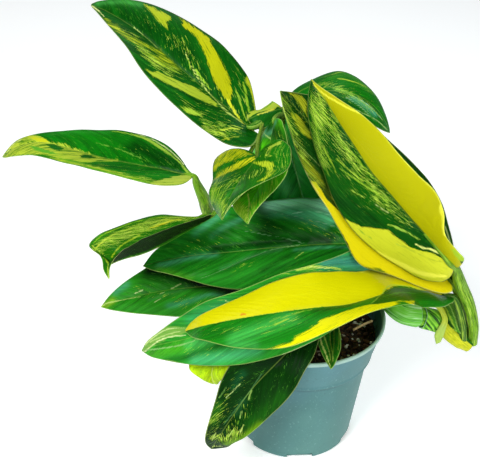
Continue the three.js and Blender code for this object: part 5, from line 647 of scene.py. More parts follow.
# ------------------------------------------------------------------ node helpers
class Nodes:
    def __init__(self, name):
        self.mat = bpy.data.materials.new(name)
        self.mat.use_nodes = True
        self.t = self.mat.node_tree
        self.t.nodes.clear()
        self.out = self.t.nodes.new("ShaderNodeOutputMaterial")
        self.bsdf = self.t.nodes.new("ShaderNodeBsdfPrincipled")
        self.t.links.new(self.bsdf.outputs[0], self.out.inputs[0])

    def link(self, a, b):
        self.t.links.new(a, b)

    def set(self, sock, v):
        if hasattr(v, "links") or isinstance(v, bpy.types.NodeSocket):
            self.t.links.new(v, sock)
        elif v is not None:
            sock.default_value = v

    def attr(self, name, vec=True):
        n = self.t.nodes.new("ShaderNodeAttribute")
        n.attribute_name = name
        return n.outputs["Vector"] if vec else n.outputs["Fac"]

    def math(self, op, a, b=None, c=None, clamp=False):
        n = self.t.nodes.new("ShaderNodeMath")
        n.operation = op
        n.use_clamp = clamp
        for s, v in zip(n.inputs, (a, b, c)):
            if v is not None:
                self.set(s, v)
        return n.outputs[0]

    def xyz(self, v):
        n = self.t.nodes.new("ShaderNodeSeparateXYZ")
        self.set(n.inputs[0], v)
        return n.outputs

    def vec(self, x, y, z=0.0):
        n = self.t.nodes.new("ShaderNodeCombineXYZ")
        for s, v in zip(n.inputs, (x, y, z)):
            self.set(s, v)
        return n.outputs[0]

    def mul(self, v, s):
        n = self.t.nodes.new("ShaderNodeVectorMath")
        n.operation = "MULTIPLY"
        self.set(n.inputs[0], v)
        n.inputs[1].default_value = s
        return n.outputs[0]

    def noise(self, v, scale=1.0, detail=2.0, rough=0.5, dist=0.0):
        n = self.t.nodes.new("ShaderNodeTexNoise")
        n.inputs["Scale"].default_value = scale
        n.inputs["Detail"].default_value = detail
        n.inputs["Roughness"].default_value = rough
        n.inputs["Distortion"].default_value = dist
        self.set(n.inputs["Vector"], v)
        return n.outputs["Fac"]

    def voronoi(self, v, scale=1.0, feature="F1", out="Distance"):
        n = self.t.nodes.new("ShaderNodeTexVoronoi")
        n.feature = feature
        n.inputs["Scale"].default_value = scale
        self.set(n.inputs["Vector"], v)
        return n.outputs[out]

    def ramp(self, f, stops, mode="LINEAR"):
        n = self.t.nodes.new("ShaderNodeValToRGB")
        n.color_ramp.interpolation = mode
        el = n.color_ramp.elements
        while len(el) < len(stops):
            el.new(0.5)
        for e, (p, c) in zip(el, stops):
            e.position = p
            e.color = (*c, 1) if len(c) == 3 else c
        self.set(n.inputs[0], f)
        return n.outputs[0]

    def step(self, x, lo, hi):
        n = self.t.nodes.new("ShaderNodeMapRange")
        n.interpolation_type = "SMOOTHSTEP"
        self.set(n.inputs["Value"], x)
        n.inputs["From Min"].default_value = lo
        n.inputs["From Max"].default_value = hi
        return n.outputs["Result"]

    def mix(self, f, a, b, mode="MIX"):
        n = self.t.nodes.new("ShaderNodeMix")
        n.data_type = "RGBA"
        n.blend_type = mode
        self.set(n.inputs["Factor"], f)
        for s, v in ((n.inputs["A"], a), (n.inputs["B"], b)):
            if isinstance(v, tuple) and len(v) == 3:
                v = (*v, 1)
            # the colour sockets of a Mix node come after the number and vector ones
            pass
        cols = [s for s in n.inputs if s.type == "RGBA"]
        for s, v in zip(cols, (a, b)):
            self.set(s, (*v, 1) if isinstance(v, tuple) and len(v) == 3 else v)
        return [o for o in n.outputs if o.type == "RGBA"][0]

    def bump(self, h, strength=0.3, dist=0.001, normal=None):
        n = self.t.nodes.new("ShaderNodeBump")
        n.inputs["Strength"].default_value = strength
        n.inputs["Distance"].default_value = dist
        self.set(n.inputs["Height"], h)
        if normal is not None:
            self.set(n.inputs["Normal"], normal)
        return n.outputs[0]

    def finish(self, color, rough=0.5, normal=None, spec=0.5, coat=0.0, coat_rough=0.2, sss=0.0, trans=0.0, ior=1.45):
        b = self.bsdf.inputs
        self.set(b["Base Color"], (*color, 1) if isinstance(color, tuple) and len(color) == 3 else color)
        self.set(b["Roughness"], rough)
        b["Specular IOR Level"].default_value = spec
        b["IOR"].default_value = ior
        b["Coat Weight"].default_value = coat
        b["Coat Roughness"].default_value = coat_rough
        if normal is not None:
            self.set(b["Normal"], normal)
        return self.mat


def srgb(r, g, b):
    f = lambda c: c / 12.92 if c <= 0.04045 else ((c + 0.055) / 1.055) ** 2.4
    return tuple(f(x / 255) for x in (r, g, b))


# ------------------------------------------------------------------ marks drawn on a blade
def dist_line(X, Y, V, W=None):
    """Distance in mm to a polyline, less its half width where that is given."""
    out = np.full(X.shape, 1e3)
    for k in range(len(V) - 1):
        a, e = V[k], V[k + 1] - V[k]
        h = np.clip(((X - a[0]) * e[0] + (Y - a[1]) * e[1]) / max(e @ e, 1e-9), 0, 1)
        d = np.hypot(X - a[0] - e[0] * h, Y - a[1] - e[1] * h)
        if W is not None:
            d = d - (W[k] + (W[k + 1] - W[k]) * h)
        out = np.minimum(out, d)
    return out


def dist_poly(X, Y, V):
    """Signed distance in mm to a closed outline, negative inside."""
    inside = np.zeros(X.shape, bool)
    for k in range(len(V)):
        a, b = V[k], V[(k + 1) % len(V)]
        cross = ((a[1] <= Y) & (b[1] > Y)) | ((a[1] > Y) & (b[1] <= Y))
        if abs(b[1] - a[1]) > 1e-9:
            inside ^= cross & (X < a[0] + (Y - a[1]) / (b[1] - a[1]) * (b[0] - a[0]))
    d = dist_line(X, Y, np.vstack([V, V[:1]]))
    return np.where(inside, -d, d)


def lin(c):
    return np.array(srgb(*c))


class Blade:
    """Guide lines of one leaf: rib and two edges, with a flat (X, Y) chart in millimetres."""

    def __init__(self, d):
        self.M, self.L, self.R = (np.array(d[k], float) for k in ("rib", "left", "right"))
        self.s = d["side"]
        self.n = len(self.M) - 1
        self.tt = np.linspace(0, self.n, 480)
        C = along(self.M, self.tt)
        self.arc = np.r_[0, np.cumsum(np.linalg.norm(np.diff(C, axis=0), axis=1))]
        self.len = self.arc[-1]
        self.T = unit(np.gradient(C, axis=0))

    def chart(self, t, v):
        t = np.clip(t, 0, self.n)
        M = along(self.M, t)
        E = np.where((v < 0)[..., None], along(self.L, t), along(self.R, t))
        T = unit(np.stack([np.interp(t, self.tt, self.T[:, k]) for k in range(3)], -1))
        D = E - M
        dx = (D * T).sum(-1)
        dy = np.linalg.norm(D - dx[..., None] * T, axis=-1)
        a = np.abs(v)
        return np.interp(t, self.tt, self.arc) + a * dx, np.sign(v) * a * dy

    def path(self, pts, curved=True):
        P = np.array(pts, float)
        n = len(P) - 1
        u = np.linspace(0, n, n * 4 + 1)
        P = along(P, u) if curved and n > 1 else np.stack([np.interp(u, np.arange(n + 1), P[:, k]) for k in range(2)], -1)
        return np.stack(self.chart(P[:, 0], P[:, 1]), -1), u / n

    def outline(self, pts):
        P = np.array(pts + pts[:1], float)
        out = []
        for a, b in zip(P[:-1], P[1:]):
            k = max(2, int(abs(b[0] - a[0]) / 0.3) + 1)
            out.append(a + (b - a) * np.linspace(0, 1, k, endpoint=False)[:, None])
        P = np.vstack(out)
        return np.stack(self.chart(P[:, 0], P[:, 1]), -1)


def paint(b, X, Y, t, v, look):
    """Colours and distances of the marks at each point of the chart."""
    n = X.size
    X, Y, t, v = (q.ravel() for q in (X, Y, t, v))
    cb = np.tile(lin(look["base"]), (n, 1))
    c = {1: np.tile(lin((190, 206, 40)), (n, 1)), 2: np.tile(lin((190, 206, 40)), (n, 1))}
    sd = {1: np.full(n, 6.0), 2: np.full(n, 6.0)}
    am = {1: np.zeros(n), 2: np.zeros(n)}
    F = np.zeros(n)
    crease = np.zeros(n)
    for m in look["marks"]:
        kind = m[0]
        if kind == "s":
            V, _ = b.path(m[3])
            w = m[4] * np.exp(-(dist_line(X, Y, V) / m[2]) ** 2)
            cb = cb + (lin(m[1]) - cb) * w[:, None]
        # h: painted shade laid over the half with v > 0, fading out towards the tip
        elif kind == "h":
            w = m[4] * smooth(0.0, 0.09, v) * smooth(11.8, 9.0, t)
            cb = cb + (lin(m[1]) - cb) * w[:, None]
        elif kind == "f":
            V, _ = b.path(m[3])
            F = F + m[1] * np.exp(-(dist_line(X, Y, V) / m[2]) ** 2)
        elif kind == "c":
            V, _ = b.path(m[3])
            crease += -1.7 * m[1] * np.exp(-(dist_line(X, Y, V) / (m[2] * 0.9)) ** 2)
        else:
            lay = m[1]
            col = np.tile(lin(m[2]), (n, 1))
            if kind == "p":
                V = b.outline(m[3])
                d = dist_poly(X, Y, V)
                amp = m[4] if len(m) > 4 else 1.0
                a = np.full(n, amp)
            else:
                V, u = b.path(m[4])
                W = np.interp(u, np.linspace(0, 1, len(m[3])), m[3])
                fine = np.clip(W.mean() / 0.5, 0.45, 1)
                W = np.maximum(W, 0.42)
                d = dist_line(X, Y, V, W)
                a = np.full(n, min(1.1, 0.8 * W.mean()))
                if fine < 1:
                    under = np.where((sd[1] < 0)[:, None], c[1], cb) if lay == 2 else cb
                    col = under + (col - under) * fine
            take = (d < sd[lay]) | (d < 0)
            c[lay][take] = col[take]
            am[lay][take] = a[take]
            sd[lay] = np.minimum(sd[lay], d)
    return cb, c, sd, am, np.clip(F, 0, 1), crease


# ------------------------------------------------------------------ a tube with a UV strip
def tube(points, step=1.2, sides=22, grow=0.0, shape=None, uv=(0.9, 0.0, 1.0, 1.0), close=True):
    verts, faces, at, info = sweep(points, step, sides, grow, shape)
    m = len(info[4]) - 1
    x0, y0, x1, y1 = uv
    px = lambda k: x0 + (x1 - x0) * k / sides
    py = lambda i: y0 + (y1 - y0) * (0.03 + 0.94 * i / m)
    uvs = []
    nq = m * sides
    for f in range(nq):
        i, k = divmod(f, sides)
        uvs += [(px(k), py(i)), (px(k + 1), py(i)), (px(k + 1), py(i + 1)), (px(k), py(i + 1))]
    for k in range(sides):
        uvs += [(px(k + 0.5), y0), (px(k + 1), py(0)), (px(k), py(0))]
        uvs += [(px(k + 0.5), y1), (px(k), py(m)), (px(k + 1), py(m))]
    return verts, faces, at["lv"], uvs, info


ATTR = ("lv", "vq", "cb", "c1", "c2", "sd", "ms")


def pack_attrs(n, **kw):
    out = {k: np.zeros((n, 3)) for k in ATTR}
    out["sd"][:, :2] = 6.0
    for k, val in kw.items():
        out[k] = np.asarray(val, float)
    return out


def sheet(b, look, seed, nh=27, thick=0.55, rib=1.0, relief=0.13, pitch=7.0, edge_wave=0.5, petiole=None, pet_color=(70, 130, 30), rows=1.15, lean=1.5):
    """A closed thin blade with rib, veins and marks, and its petiole. Millimetres."""
    nu = int(np.clip(b.len / rows, 50, 175))
    t = np.interp(np.linspace(0, b.len, nu + 1), b.arc, b.tt)
    x = np.linspace(-1, 1, 2 * nh + 1)
    v = np.sign(x) * np.abs(x) ** 1.18
    tg, vg = np.meshgrid(t, v, indexing="ij")
    X, Y = b.chart(tg, vg)
    M, L, R = along(b.M, t), along(b.L, t), along(b.R, t)
    T = unit(np.gradient(M, axis=0))
    up = unit(np.cross(T, R - L)) * b.s
    E = np.where((vg < 0)[..., None], L[:, None], R[:, None])
    D = E - M[:, None]
    w = np.linalg.norm(D, axis=-1)
    a = np.abs(vg)
    P = M[:, None] + D * a[..., None] + up[:, None] * (w * 0.06 * 4 * a * (1 - a))[..., None]
    N = unit(np.cross(np.gradient(P, axis=0), np.gradient(P, axis=1))) * b.s
    mid = len(v) // 2
    N[:, mid] = unit(N[:, mid - 1] + N[:, mid + 1])
    cb, c, sd, am, F, crease = paint(b, X, Y, tg, vg, look)
    wl = np.abs(b.chart(t, -np.ones_like(t))[1])
    wr = np.abs(b.chart(t, np.ones_like(t))[1])
    W = np.where(vg < 0, wl[:, None], wr[:, None]) + 0.01
    # lateral veins leave the rib and lean towards the tip
    q = X - lean * np.abs(Y) * (0.75 + 0.5 * np.abs(Y) / W) + 1.1 * wave(X / 9 + np.sign(Y) * 3, seed) * a
    p = Y * math.hypot(1, lean)
    grow = smooth(0, 0.06, tg / b.n) * smooth(1.0, 0.9, tg / b.n)
    ridge = np.cos(2 * np.pi * q / pitch + 0.8 * wave(X / 14, seed + 1)) * relief * 4 * a * (1 - a) * grow
    fine = np.cos(2 * np.pi * q / (pitch / 3.1)) * relief * 0.22 * 4 * a * (1 - a) * grow
    taper = (1.0 - 0.72 * tg / b.n)
    groove = -0.55 * rib * taper * np.exp(-(Y / (1.15 * taper + 0.25)) ** 2) * smooth(0, 0.05, tg / b.n)
    keel = 1.25 * rib * taper * np.exp(-(Y / (1.3 * taper + 0.3)) ** 2)
    P = P + N * (edge_wave * wave(X / 13 + np.sign(vg) * 7, seed + 2) * a ** 3 * smooth(0, 0.12, tg / b.n))[..., None]
    P = P + N * (crease.reshape(X.shape) * smooth(0, 0.1, a) * smooth(1, 0.93, a))[..., None]
    th = thick * (1 - 0.55 * a ** 2) * smooth(-0.02, 0.02, tg / b.n)
    top = P + N * (th / 2 + ridge + fine + groove)[..., None]
    bot = P - N * (th / 2 - ridge + keel)[..., None]
    border = np.zeros(X.shape, bool)
    border[0] = border[-1] = True
    border[:, 0] = border[:, -1] = True
    top[border] = P[border]
    nr, nc = X.shape
    it = np.arange(nr * nc).reshape(nr, nc)
    ib = it.copy()
    inner = ~border
    ib[inner] = nr * nc + np.arange(inner.sum())
    verts = np.vstack([top.reshape(-1, 3), bot[inner]])
    quad = lambda g: np.stack([g[:-1, :-1], g[1:, :-1], g[1:, 1:], g[:-1, 1:]], -1).reshape(-1, 4)
    uvg = np.stack([0.005 + 0.43 * np.arange(nc)[None] / (nc - 1) + 0 * tg, 0.01 + 0.98 * np.arange(nr)[:, None] / (nr - 1) + 0 * tg], -1)
    quv = lambda g: np.stack([g[:-1, :-1], g[1:, :-1], g[1:, 1:], g[:-1, 1:]], 2).reshape(-1, 4, 2)
    ft, fb = quad(it), quad(ib)
    ut, ub = quv(uvg), quv(uvg + np.array([0.45, 0]))
    if b.s > 0:
        fb, ub = fb[:, ::-1], ub[:, ::-1]
    else:
        ft, ut = ft[:, ::-1], ut[:, ::-1]
    faces = [tuple(f) for f in ft.tolist()] + [tuple(f) for f in fb.tolist()]
    uvs = [tuple(z) for z in ut.reshape(-1, 2).tolist()] + [tuple(z) for z in ub.reshape(-1, 2).tolist()]
    both = lambda g: np.concatenate([g.reshape(nr * nc, -1), g.reshape(nr, nc, -1)[inner]])
    edge = (1 - a) * W
    under = np.zeros(X.shape)
    n_all = len(verts)
    lv = both(np.stack([X, Y, edge], -1))
    vq = both(np.stack([q, p, np.full(X.shape, seed * 7.3)], -1))
    sdv = both(np.stack([sd[1].reshape(X.shape), sd[2].reshape(X.shape), F.reshape(X.shape)], -1))
    ms = both(np.stack([under, am[1].reshape(X.shape), am[2].reshape(X.shape)], -1))
    ms[nr * nc:, 0] = 1.0
    ms[it[border], 0] = 0.5
    A = dict(lv=lv, vq=vq, cb=both(cb.reshape(nr, nc, 3)), c1=both(c[1].reshape(nr, nc, 3)), c2=both(c[2].reshape(nr, nc, 3)), sd=sdv, ms=ms)
    mi = [0] * len(faces)
    if petiole:
        gutter = lambda s, ang, ln: 1 - 0.16 * np.exp(-((ang - 0.0 + math.pi) % (2 * math.pi) - math.pi) ** 2 / 0.12) * np.ones_like(s)
        v2, f2, l2, u2, info = tube(petiole, step=1.3, sides=22, shape=gutter, uv=(0.895, 0.01, 0.995, 0.99))
        k0 = len(verts)
        faces += [tuple(int(i) + k0 for i in f) for f in f2]
        mi += [1] * len(f2)
        uvs += u2
        verts = np.vstack([verts, v2])
        A2 = pack_attrs(len(v2), lv=l2, cb=np.tile(lin(pet_color), (len(v2), 1)))
        A2["vq"][:, 0] = l2[:, 0]
        A2["vq"][:, 2] = seed
        for k in A:
            A[k] = np.vstack([A[k], A2[k]])
    return verts, faces, A, mi, uvs


# ------------------------------------------------------------------ materials
def leaf_look(name, rough=0.33, coat=0.02):
    N = Nodes(name)
    lv, vq, sd, ms = N.xyz(N.attr("lv")), N.xyz(N.attr("vq")), N.xyz(N.attr("sd")), N.xyz(N.attr("ms"))
    cb, c1, c2 = N.attr("cb"), N.attr("c1"), N.attr("c2")
    q, p, seed = vq[0], vq[1], vq[2]
    V = lambda sq, sp, off: N.vec(N.math("MULTIPLY", q, sq), N.math("MULTIPLY", p, sp), N.math("ADD", seed, off))
    broad = N.noise(V(0.05, 0.03, 1.0), 1, 2, 0.5)
    jag = N.math("SUBTRACT", N.noise(V(0.62, 0.11, 2.0), 1, 4, 0.68), 0.5)
    jag2 = N.math("SUBTRACT", N.noise(V(1.9, 0.30, 3.0), 1, 2, 0.6), 0.5)
    jag = N.math("ADD", jag, N.math("MULTIPLY", jag2, 0.45))
    streak = N.noise(V(0.82, 0.12, 5.0), 1, 4, 0.64)
    micro = N.noise(V(1.7, 0.42, 9.0), 1, 2, 0.6)
    # vein lines
    vein = N.math("PINGPONG", N.math("ADD", q, N.math("MULTIPLY", broad, 2.0)), 1.15)
    line = N.step(vein, 0.26, 0.02)
    away = N.step(N.math("ABSOLUTE", lv[1]), 0.6, 2.5)
    line = N.math("MULTIPLY", line, away)
    # ground green
    lift = N.math("ADD", 0.74, N.math("MULTIPLY", broad, 0.42))
    lift = N.math("ADD", lift, N.math("MULTIPLY", line, 0.42))
    lift = N.math("ADD", lift, N.math("MULTIPLY", N.math("SUBTRACT", streak, 0.5), 1.15))
    band = N.noise(V(0.17, 0.018, 31.0), 1, 2, 0.5)
    lift = N.math("ADD", lift, N.math("MULTIPLY", N.math("SUBTRACT", band, 0.5), 1.5))
    lift = N.math("MAXIMUM", lift, 0.12)
    col = N.mix(1.0, cb, N.vec(lift, lift, lift), "MULTIPLY")
    dash = N.noise(V(1.6, 0.24, 13.0), 1, 2, 0.55)
    where = N.noise(V(0.09, 0.05, 17.0), 1, 2, 0.5)
    spk = N.math("MULTIPLY", N.step(N.math("ADD", dash, N.math("MULTIPLY", N.math("SUBTRACT", where, 0.5), 0.35)), 0.66, 0.71), 0.55)
    col = N.mix(spk, col, srgb(92, 176, 48))
    # broad marks, with edges that run out along the veins
    def mask(s, amp):
        d = N.math("ADD", s, N.math("MULTIPLY", N.math("MULTIPLY", jag, amp), 6.0))
        return N.step(d, 0.22, -0.22)
    m1 = mask(sd[0], ms[1])
    tone = N.math("ADD", 0.93, N.math("MULTIPLY", N.math("SUBTRACT", streak, 0.5), 0.24))
    c1v = N.mix(1.0, c1, N.vec(tone, tone, N.math("MULTIPLY", tone, 0.96)), "MULTIPLY")
    c1v = N.mix(N.math("MULTIPLY", line, 0.10), c1v, N.mix(1.0, c1v, (0.62, 0.80, 0.45), "MULTIPLY"))
    loose = N.math("MINIMUM", ms[1], 1.0)
    more = N.math("MULTIPLY", N.math("MAXIMUM", N.math("SUBTRACT", ms[1], 1.0), 0.0), 0.16)
    chunk = N.noise(V(0.40, 0.05, 41.0), 1, 3, 0.6)
    parts = N.math("ADD", N.math("MULTIPLY", chunk, 0.6), N.math("MULTIPLY", streak, 0.4))
    inner = N.math("MULTIPLY", N.step(N.math("SUBTRACT", N.math("ADD", parts, N.math("MULTIPLY", jag2, 0.2)), more), 0.425, 0.385), N.step(loose, 0.3, 0.9))
    c1v = N.mix(N.math("MULTIPLY", inner, 0.85), c1v, N.mix(0.22, cb, srgb(84, 132, 12)))
    col = N.mix(m1, col, c1v)
    # flecks where they are dense
    th = N.math("SUBTRACT", 0.640, N.math("MULTIPLY", sd[2], 0.150))
    fine = N.noise(V(1.25, 0.14, 25.0), 1, 2, 0.55)
    fl = N.step(N.math("SUBTRACT", N.math("ADD", N.math("MULTIPLY", streak, 0.55), N.math("MULTIPLY", fine, 0.45)), th), 0.0, 0.024)
    fl = N.math("MULTIPLY", fl, N.step(sd[2], 0.02, 0.12))
    col = N.mix(N.math("MULTIPLY", sd[2], 0.25), col, N.mix(1.0, col, (0.5, 0.7, 0.4), "MULTIPLY"))
    fcol = N.mix(N.step(micro, 0.42, 0.6), srgb(128, 184, 34), srgb(200, 220, 84))
    col = N.mix(N.math("MULTIPLY", fl, 0.95), col, fcol)
    m2 = mask(sd[1], ms[2])
    col = N.mix(m2, col, c2)
    # rib and margin
    ribm = N.math("MULTIPLY", N.step(N.math("ABSOLUTE", lv[1]), 0.5, 0.15), 0.42)
    col = N.mix(ribm, col, N.mix(0.4, col, srgb(176, 216, 92)))
    mar = N.math("MULTIPLY", N.step(lv[2], 0.75, 0.25), 0.70)
    col = N.mix(mar, col, N.mix(0.55, col, srgb(206, 228, 128)))
    # the underside is paler and duller
    un = N.step(ms[0], 0.55, 0.95)
    col = N.mix(N.math("MULTIPLY", un, 0.07), col, srgb(70, 120, 44))
    r = N.math("ADD", rough - 0.05, N.math("MULTIPLY", micro, 0.10))
    r = N.math("ADD", r, N.math("MULTIPLY", un, 0.2))
    h = N.math("ADD", N.math("MULTIPLY", line, 0.6), N.math("MULTIPLY", streak, 0.5))
    h = N.math("ADD", h, N.math("MULTIPLY", micro, 0.25))
    return N.finish(col, r, N.bump(h, 0.35, 0.00035), spec=0.06, coat=0.0)


def petiole_look(name, rough=0.42):
    N = Nodes(name)
    lv, vq = N.xyz(N.attr("lv")), N.xyz(N.attr("vq"))
    cb = N.attr("cb")
    ca, sa = N.math("COSINE", lv[1]), N.math("SINE", lv[1])
    st = N.noise(N.vec(N.math("MULTIPLY", ca, 2.6), N.math("MULTIPLY", sa, 2.6), N.math("ADD", N.math("MULTIPLY", lv[0], 0.035), vq[2])), 1, 3, 0.6)
    fi = N.noise(N.vec(N.math("MULTIPLY", ca, 9.0), N.math("MULTIPLY", sa, 9.0), N.math("ADD", N.math("MULTIPLY", lv[0], 0.12), vq[2])), 1, 2, 0.5)
    tone = N.math("ADD", 0.7, N.math("MULTIPLY", st, 0.6))
    col = N.mix(1.0, cb, N.vec(tone, tone, tone), "MULTIPLY")
    hair = N.noise(N.vec(N.math("MULTIPLY", ca, 14.0), N.math("MULTIPLY", sa, 14.0), N.math("MULTIPLY", lv[0], 0.05)), 1, 2, 0.5)
    pale = N.math("MULTIPLY", N.step(st, 0.52, 0.62), 0.6)
    col = N.mix(pale, col, srgb(168, 204, 60))
    col = N.mix(N.math("MULTIPLY", N.step(fi, 0.50, 0.60), 0.72), col, srgb(18, 62, 6))
    col = N.mix(N.math("MULTIPLY", N.step(hair, 0.56, 0.66), 0.5), col, srgb(186, 214, 116))
    dots = N.step(N.voronoi(N.vec(N.math("MULTIPLY", ca, 3.0), N.math("MULTIPLY", sa, 3.0), N.math("MULTIPLY", lv[0], 0.9)), 1.3), 0.16, 0.08)
    col = N.mix(N.math("MULTIPLY", dots, 0.5), col, srgb(206, 220, 140))
    h = N.math("ADD", st, N.math("MULTIPLY", fi, 0.5))
    return N.finish(col, rough, N.bump(h, 0.4, 0.0004), spec=0.07, coat=0.0)


def stem_look(name, base, pale, dark, ring=14.0, tip=None):
    N = Nodes(name)
    lv = N.xyz(N.attr("lv"))
    ca, sa = N.math("COSINE", lv[1]), N.math("SINE", lv[1])
    st = N.noise(N.vec(N.math("MULTIPLY", ca, 2.2), N.math("MULTIPLY", sa, 2.2), N.math("MULTIPLY", lv[0], 0.05)), 1, 4, 0.6)
    fi = N.noise(N.vec(N.math("MULTIPLY", ca, 8.0), N.math("MULTIPLY", sa, 8.0), N.math("MULTIPLY", lv[0], 0.22)), 1, 3, 0.6)
    scar = N.step(N.math("PINGPONG", N.math("ADD", lv[0], N.math("MULTIPLY", st, 3.0)), ring), 1.0, 0.3)
    col = N.ramp(st, [(0.32, srgb(*dark)), (0.5, srgb(*base)), (0.66, srgb(*pale))])
    col = N.mix(N.math("MULTIPLY", N.step(fi, 0.55, 0.68), 0.45), col, srgb(*pale))
    col = N.mix(N.math("MULTIPLY", scar, 0.6), col, srgb(150, 128, 70))
    if tip:
        far = N.step(N.math("ADD", lv[0], N.math("MULTIPLY", st, 2.0)), tip, tip + 0.8)
        face = N.math("ADD", lv[2], N.math("MULTIPLY", N.math("SUBTRACT", fi, 0.5), 0.25))
        side = N.step(face, 0.10, 0.20)
        last = N.mix(side, N.ramp(fi, [(0.35, srgb(160, 168, 4)), (0.65, srgb(206, 206, 30))]), N.ramp(fi, [(0.35, srgb(2, 44, 3)), (0.65, srgb(26, 110, 14))]))
        col = N.mix(N.math("MULTIPLY", far, 0.95), col, last)
    h = N.math("ADD", N.math("MULTIPLY", fi, 0.8), N.math("MULTIPLY", scar, -0.5))
    return N.finish(col, 0.5, N.bump(h, 0.5, 0.0006), spec=0.18)


def sleeve_look(name, a, b, c, twist=0.0, bands=6.0, hard=False):
    """Lengthwise stripes on a wrapped sheath."""
    N = Nodes(name)
    lv = N.xyz(N.attr("lv"))
    ang = N.math("ADD", lv[1], N.math("MULTIPLY", lv[0], twist))
    ca, sa = N.math("COSINE", ang), N.math("SINE", ang)
    st = N.noise(N.vec(N.math("MULTIPLY", ca, bands * 0.45), N.math("MULTIPLY", sa, bands * 0.45), N.math("MULTIPLY", lv[0], 0.03)), 1, 3, 0.6)
    fi = N.noise(N.vec(N.math("MULTIPLY", ca, bands * 2), N.math("MULTIPLY", sa, bands * 2), N.math("MULTIPLY", lv[0], 0.10)), 1, 2, 0.5)
    col = N.ramp(st, [(0.36, srgb(*b)), (0.47, srgb(*a)), (0.56, srgb(*a)), (0.64, srgb(*c))]) if not hard else N.ramp(st, [(0.43, srgb(*b)), (0.48, srgb(*a)), (0.55, srgb(*c))])
    col = N.mix(N.math("MULTIPLY", N.step(fi, 0.5, 0.66), 0.35), col, srgb(*c))
    rim = N.step(lv[2], 0.55, 1.0)
    col = N.mix(N.math("MULTIPLY", rim, 0.75), col, srgb(172, 214, 180))
    return N.finish(col, 0.42, N.bump(N.math("ADD", fi, st), 0.5, 0.0005), spec=0.18, coat=0.0)


def pot_look():
    N = Nodes("pot_plastic")
    tc = N.t.nodes.new("ShaderNodeTexCoord").outputs["Object"]
    x, y, z = N.xyz(tc)
    n1 = N.noise(N.mul(tc, (9, 9, 9)), 1, 3, 0.55)
    n2 = N.noise(N.mul(tc, (520, 520, 520)), 1, 3, 0.6)
    drag = N.noise(N.mul(tc, (60, 60, 7)), 1, 3, 0.6)
    col = N.ramp(n1, [(0.30, srgb(80, 126, 136)), (0.5, srgb(68, 114, 113)), (0.70, srgb(80, 127, 122))])
    tone = N.math("ADD", 0.90, N.math("MULTIPLY", drag, 0.2))
    col = N.mix(1.0, col, N.vec(tone, tone, tone), "MULTIPLY")
    col = N.mix(N.math("MULTIPLY", N.step(n2, 0.60, 0.74), 0.30), col, srgb(150, 188, 186))
    col = N.mix(N.math("MULTIPLY", N.step(n2, 0.40, 0.28), 0.25), col, srgb(40, 72, 74))
    # painted highlight: the flat top of the rim is mixed towards a pale colour; the same mask also places the crumbs on
    # the rim
    lip = N.step(z, 0.0992, 0.0998)
    col = N.mix(N.math("MULTIPLY", lip, 0.62), col, srgb(176, 206, 190))
    # crumbs and a damp tide line above the soil, inside the wall
    rad = N.math("SQRT", N.math("ADD", N.math("MULTIPLY", x, x), N.math("MULTIPLY", y, y)))
    dirt = N.noise(N.mul(tc, (300, 300, 300)), 1, 4, 0.7)
    low = N.math("MULTIPLY", N.step(z, 0.0965, 0.0875), N.step(z, 0.080, 0.086))
    # painted shade: a dark band on the wall just under the collar's overhang
    ledge_shade = N.math("MULTIPLY", N.step(z, 0.0688, 0.0722), N.step(z, 0.0732, 0.0726))
    col = N.mix(N.math("MULTIPLY", ledge_shade, 0.45), col, srgb(28, 56, 58))
    wall_r = N.math("ADD", 0.0518, N.math("MULTIPLY", N.math("SUBTRACT", z, 0.0736), 0.25))
    inside = N.step(N.math("SUBTRACT", wall_r, rad), -0.0002, 0.0002)
    d = N.math("MULTIPLY", N.math("MULTIPLY", N.step(dirt, 0.46, 0.56), low), inside)
    col = N.mix(N.math("MULTIPLY", d, 0.8), col, srgb(48, 34, 22))
    crumbs = N.math("MULTIPLY", N.math("MULTIPLY", N.step(dirt, 0.66, 0.72), lip), 0.7)
    col = N.mix(crumbs, col, srgb(60, 44, 28))
    r = N.math("ADD", 0.50, N.math("MULTIPLY", n2, 0.16))
    return N.finish(col, r, N.bump(N.math("ADD", n2, N.math("MULTIPLY", drag, 0.4)), 0.16, 0.0004), spec=0.4)


def soil_look():
    N = Nodes("soil_peat")
    tc = N.t.nodes.new("ShaderNodeTexCoord").outputs["Object"]
    v = N.voronoi(N.mul(tc, (420, 420, 420)), 1, "F1", "Distance")
    cc = N.voronoi(N.mul(tc, (420, 420, 420)), 1, "F1", "Color")
    n1 = N.noise(N.mul(tc, (160, 160, 160)), 1, 5, 0.7)
    pick = N.xyz(cc)[0]
    col = N.ramp(n1, [(0.30, srgb(14, 10, 6)), (0.5, srgb(34, 25, 14)), (0.66, srgb(62, 46, 27)), (0.8, srgb(92, 70, 42))])
    col = N.mix(N.math("MULTIPLY", N.step(pick, 0.72, 0.8), 0.5), col, srgb(96, 64, 34))
    col = N.mix(N.math("MULTIPLY", N.step(pick, 0.95, 0.97), 0.7), col, srgb(186, 176, 150))
    fib = N.noise(N.mul(tc, (900, 180, 500)), 1, 3, 0.6, 0.6)
    col = N.mix(N.math("MULTIPLY", N.step(fib, 0.62, 0.7), 0.35), col, srgb(128, 98, 60))
    h = N.math("ADD", N.math("MULTIPLY", v, -1.0), n1)
    return N.finish(col, 0.93, N.bump(h, 0.8, 0.0012), spec=0.2)


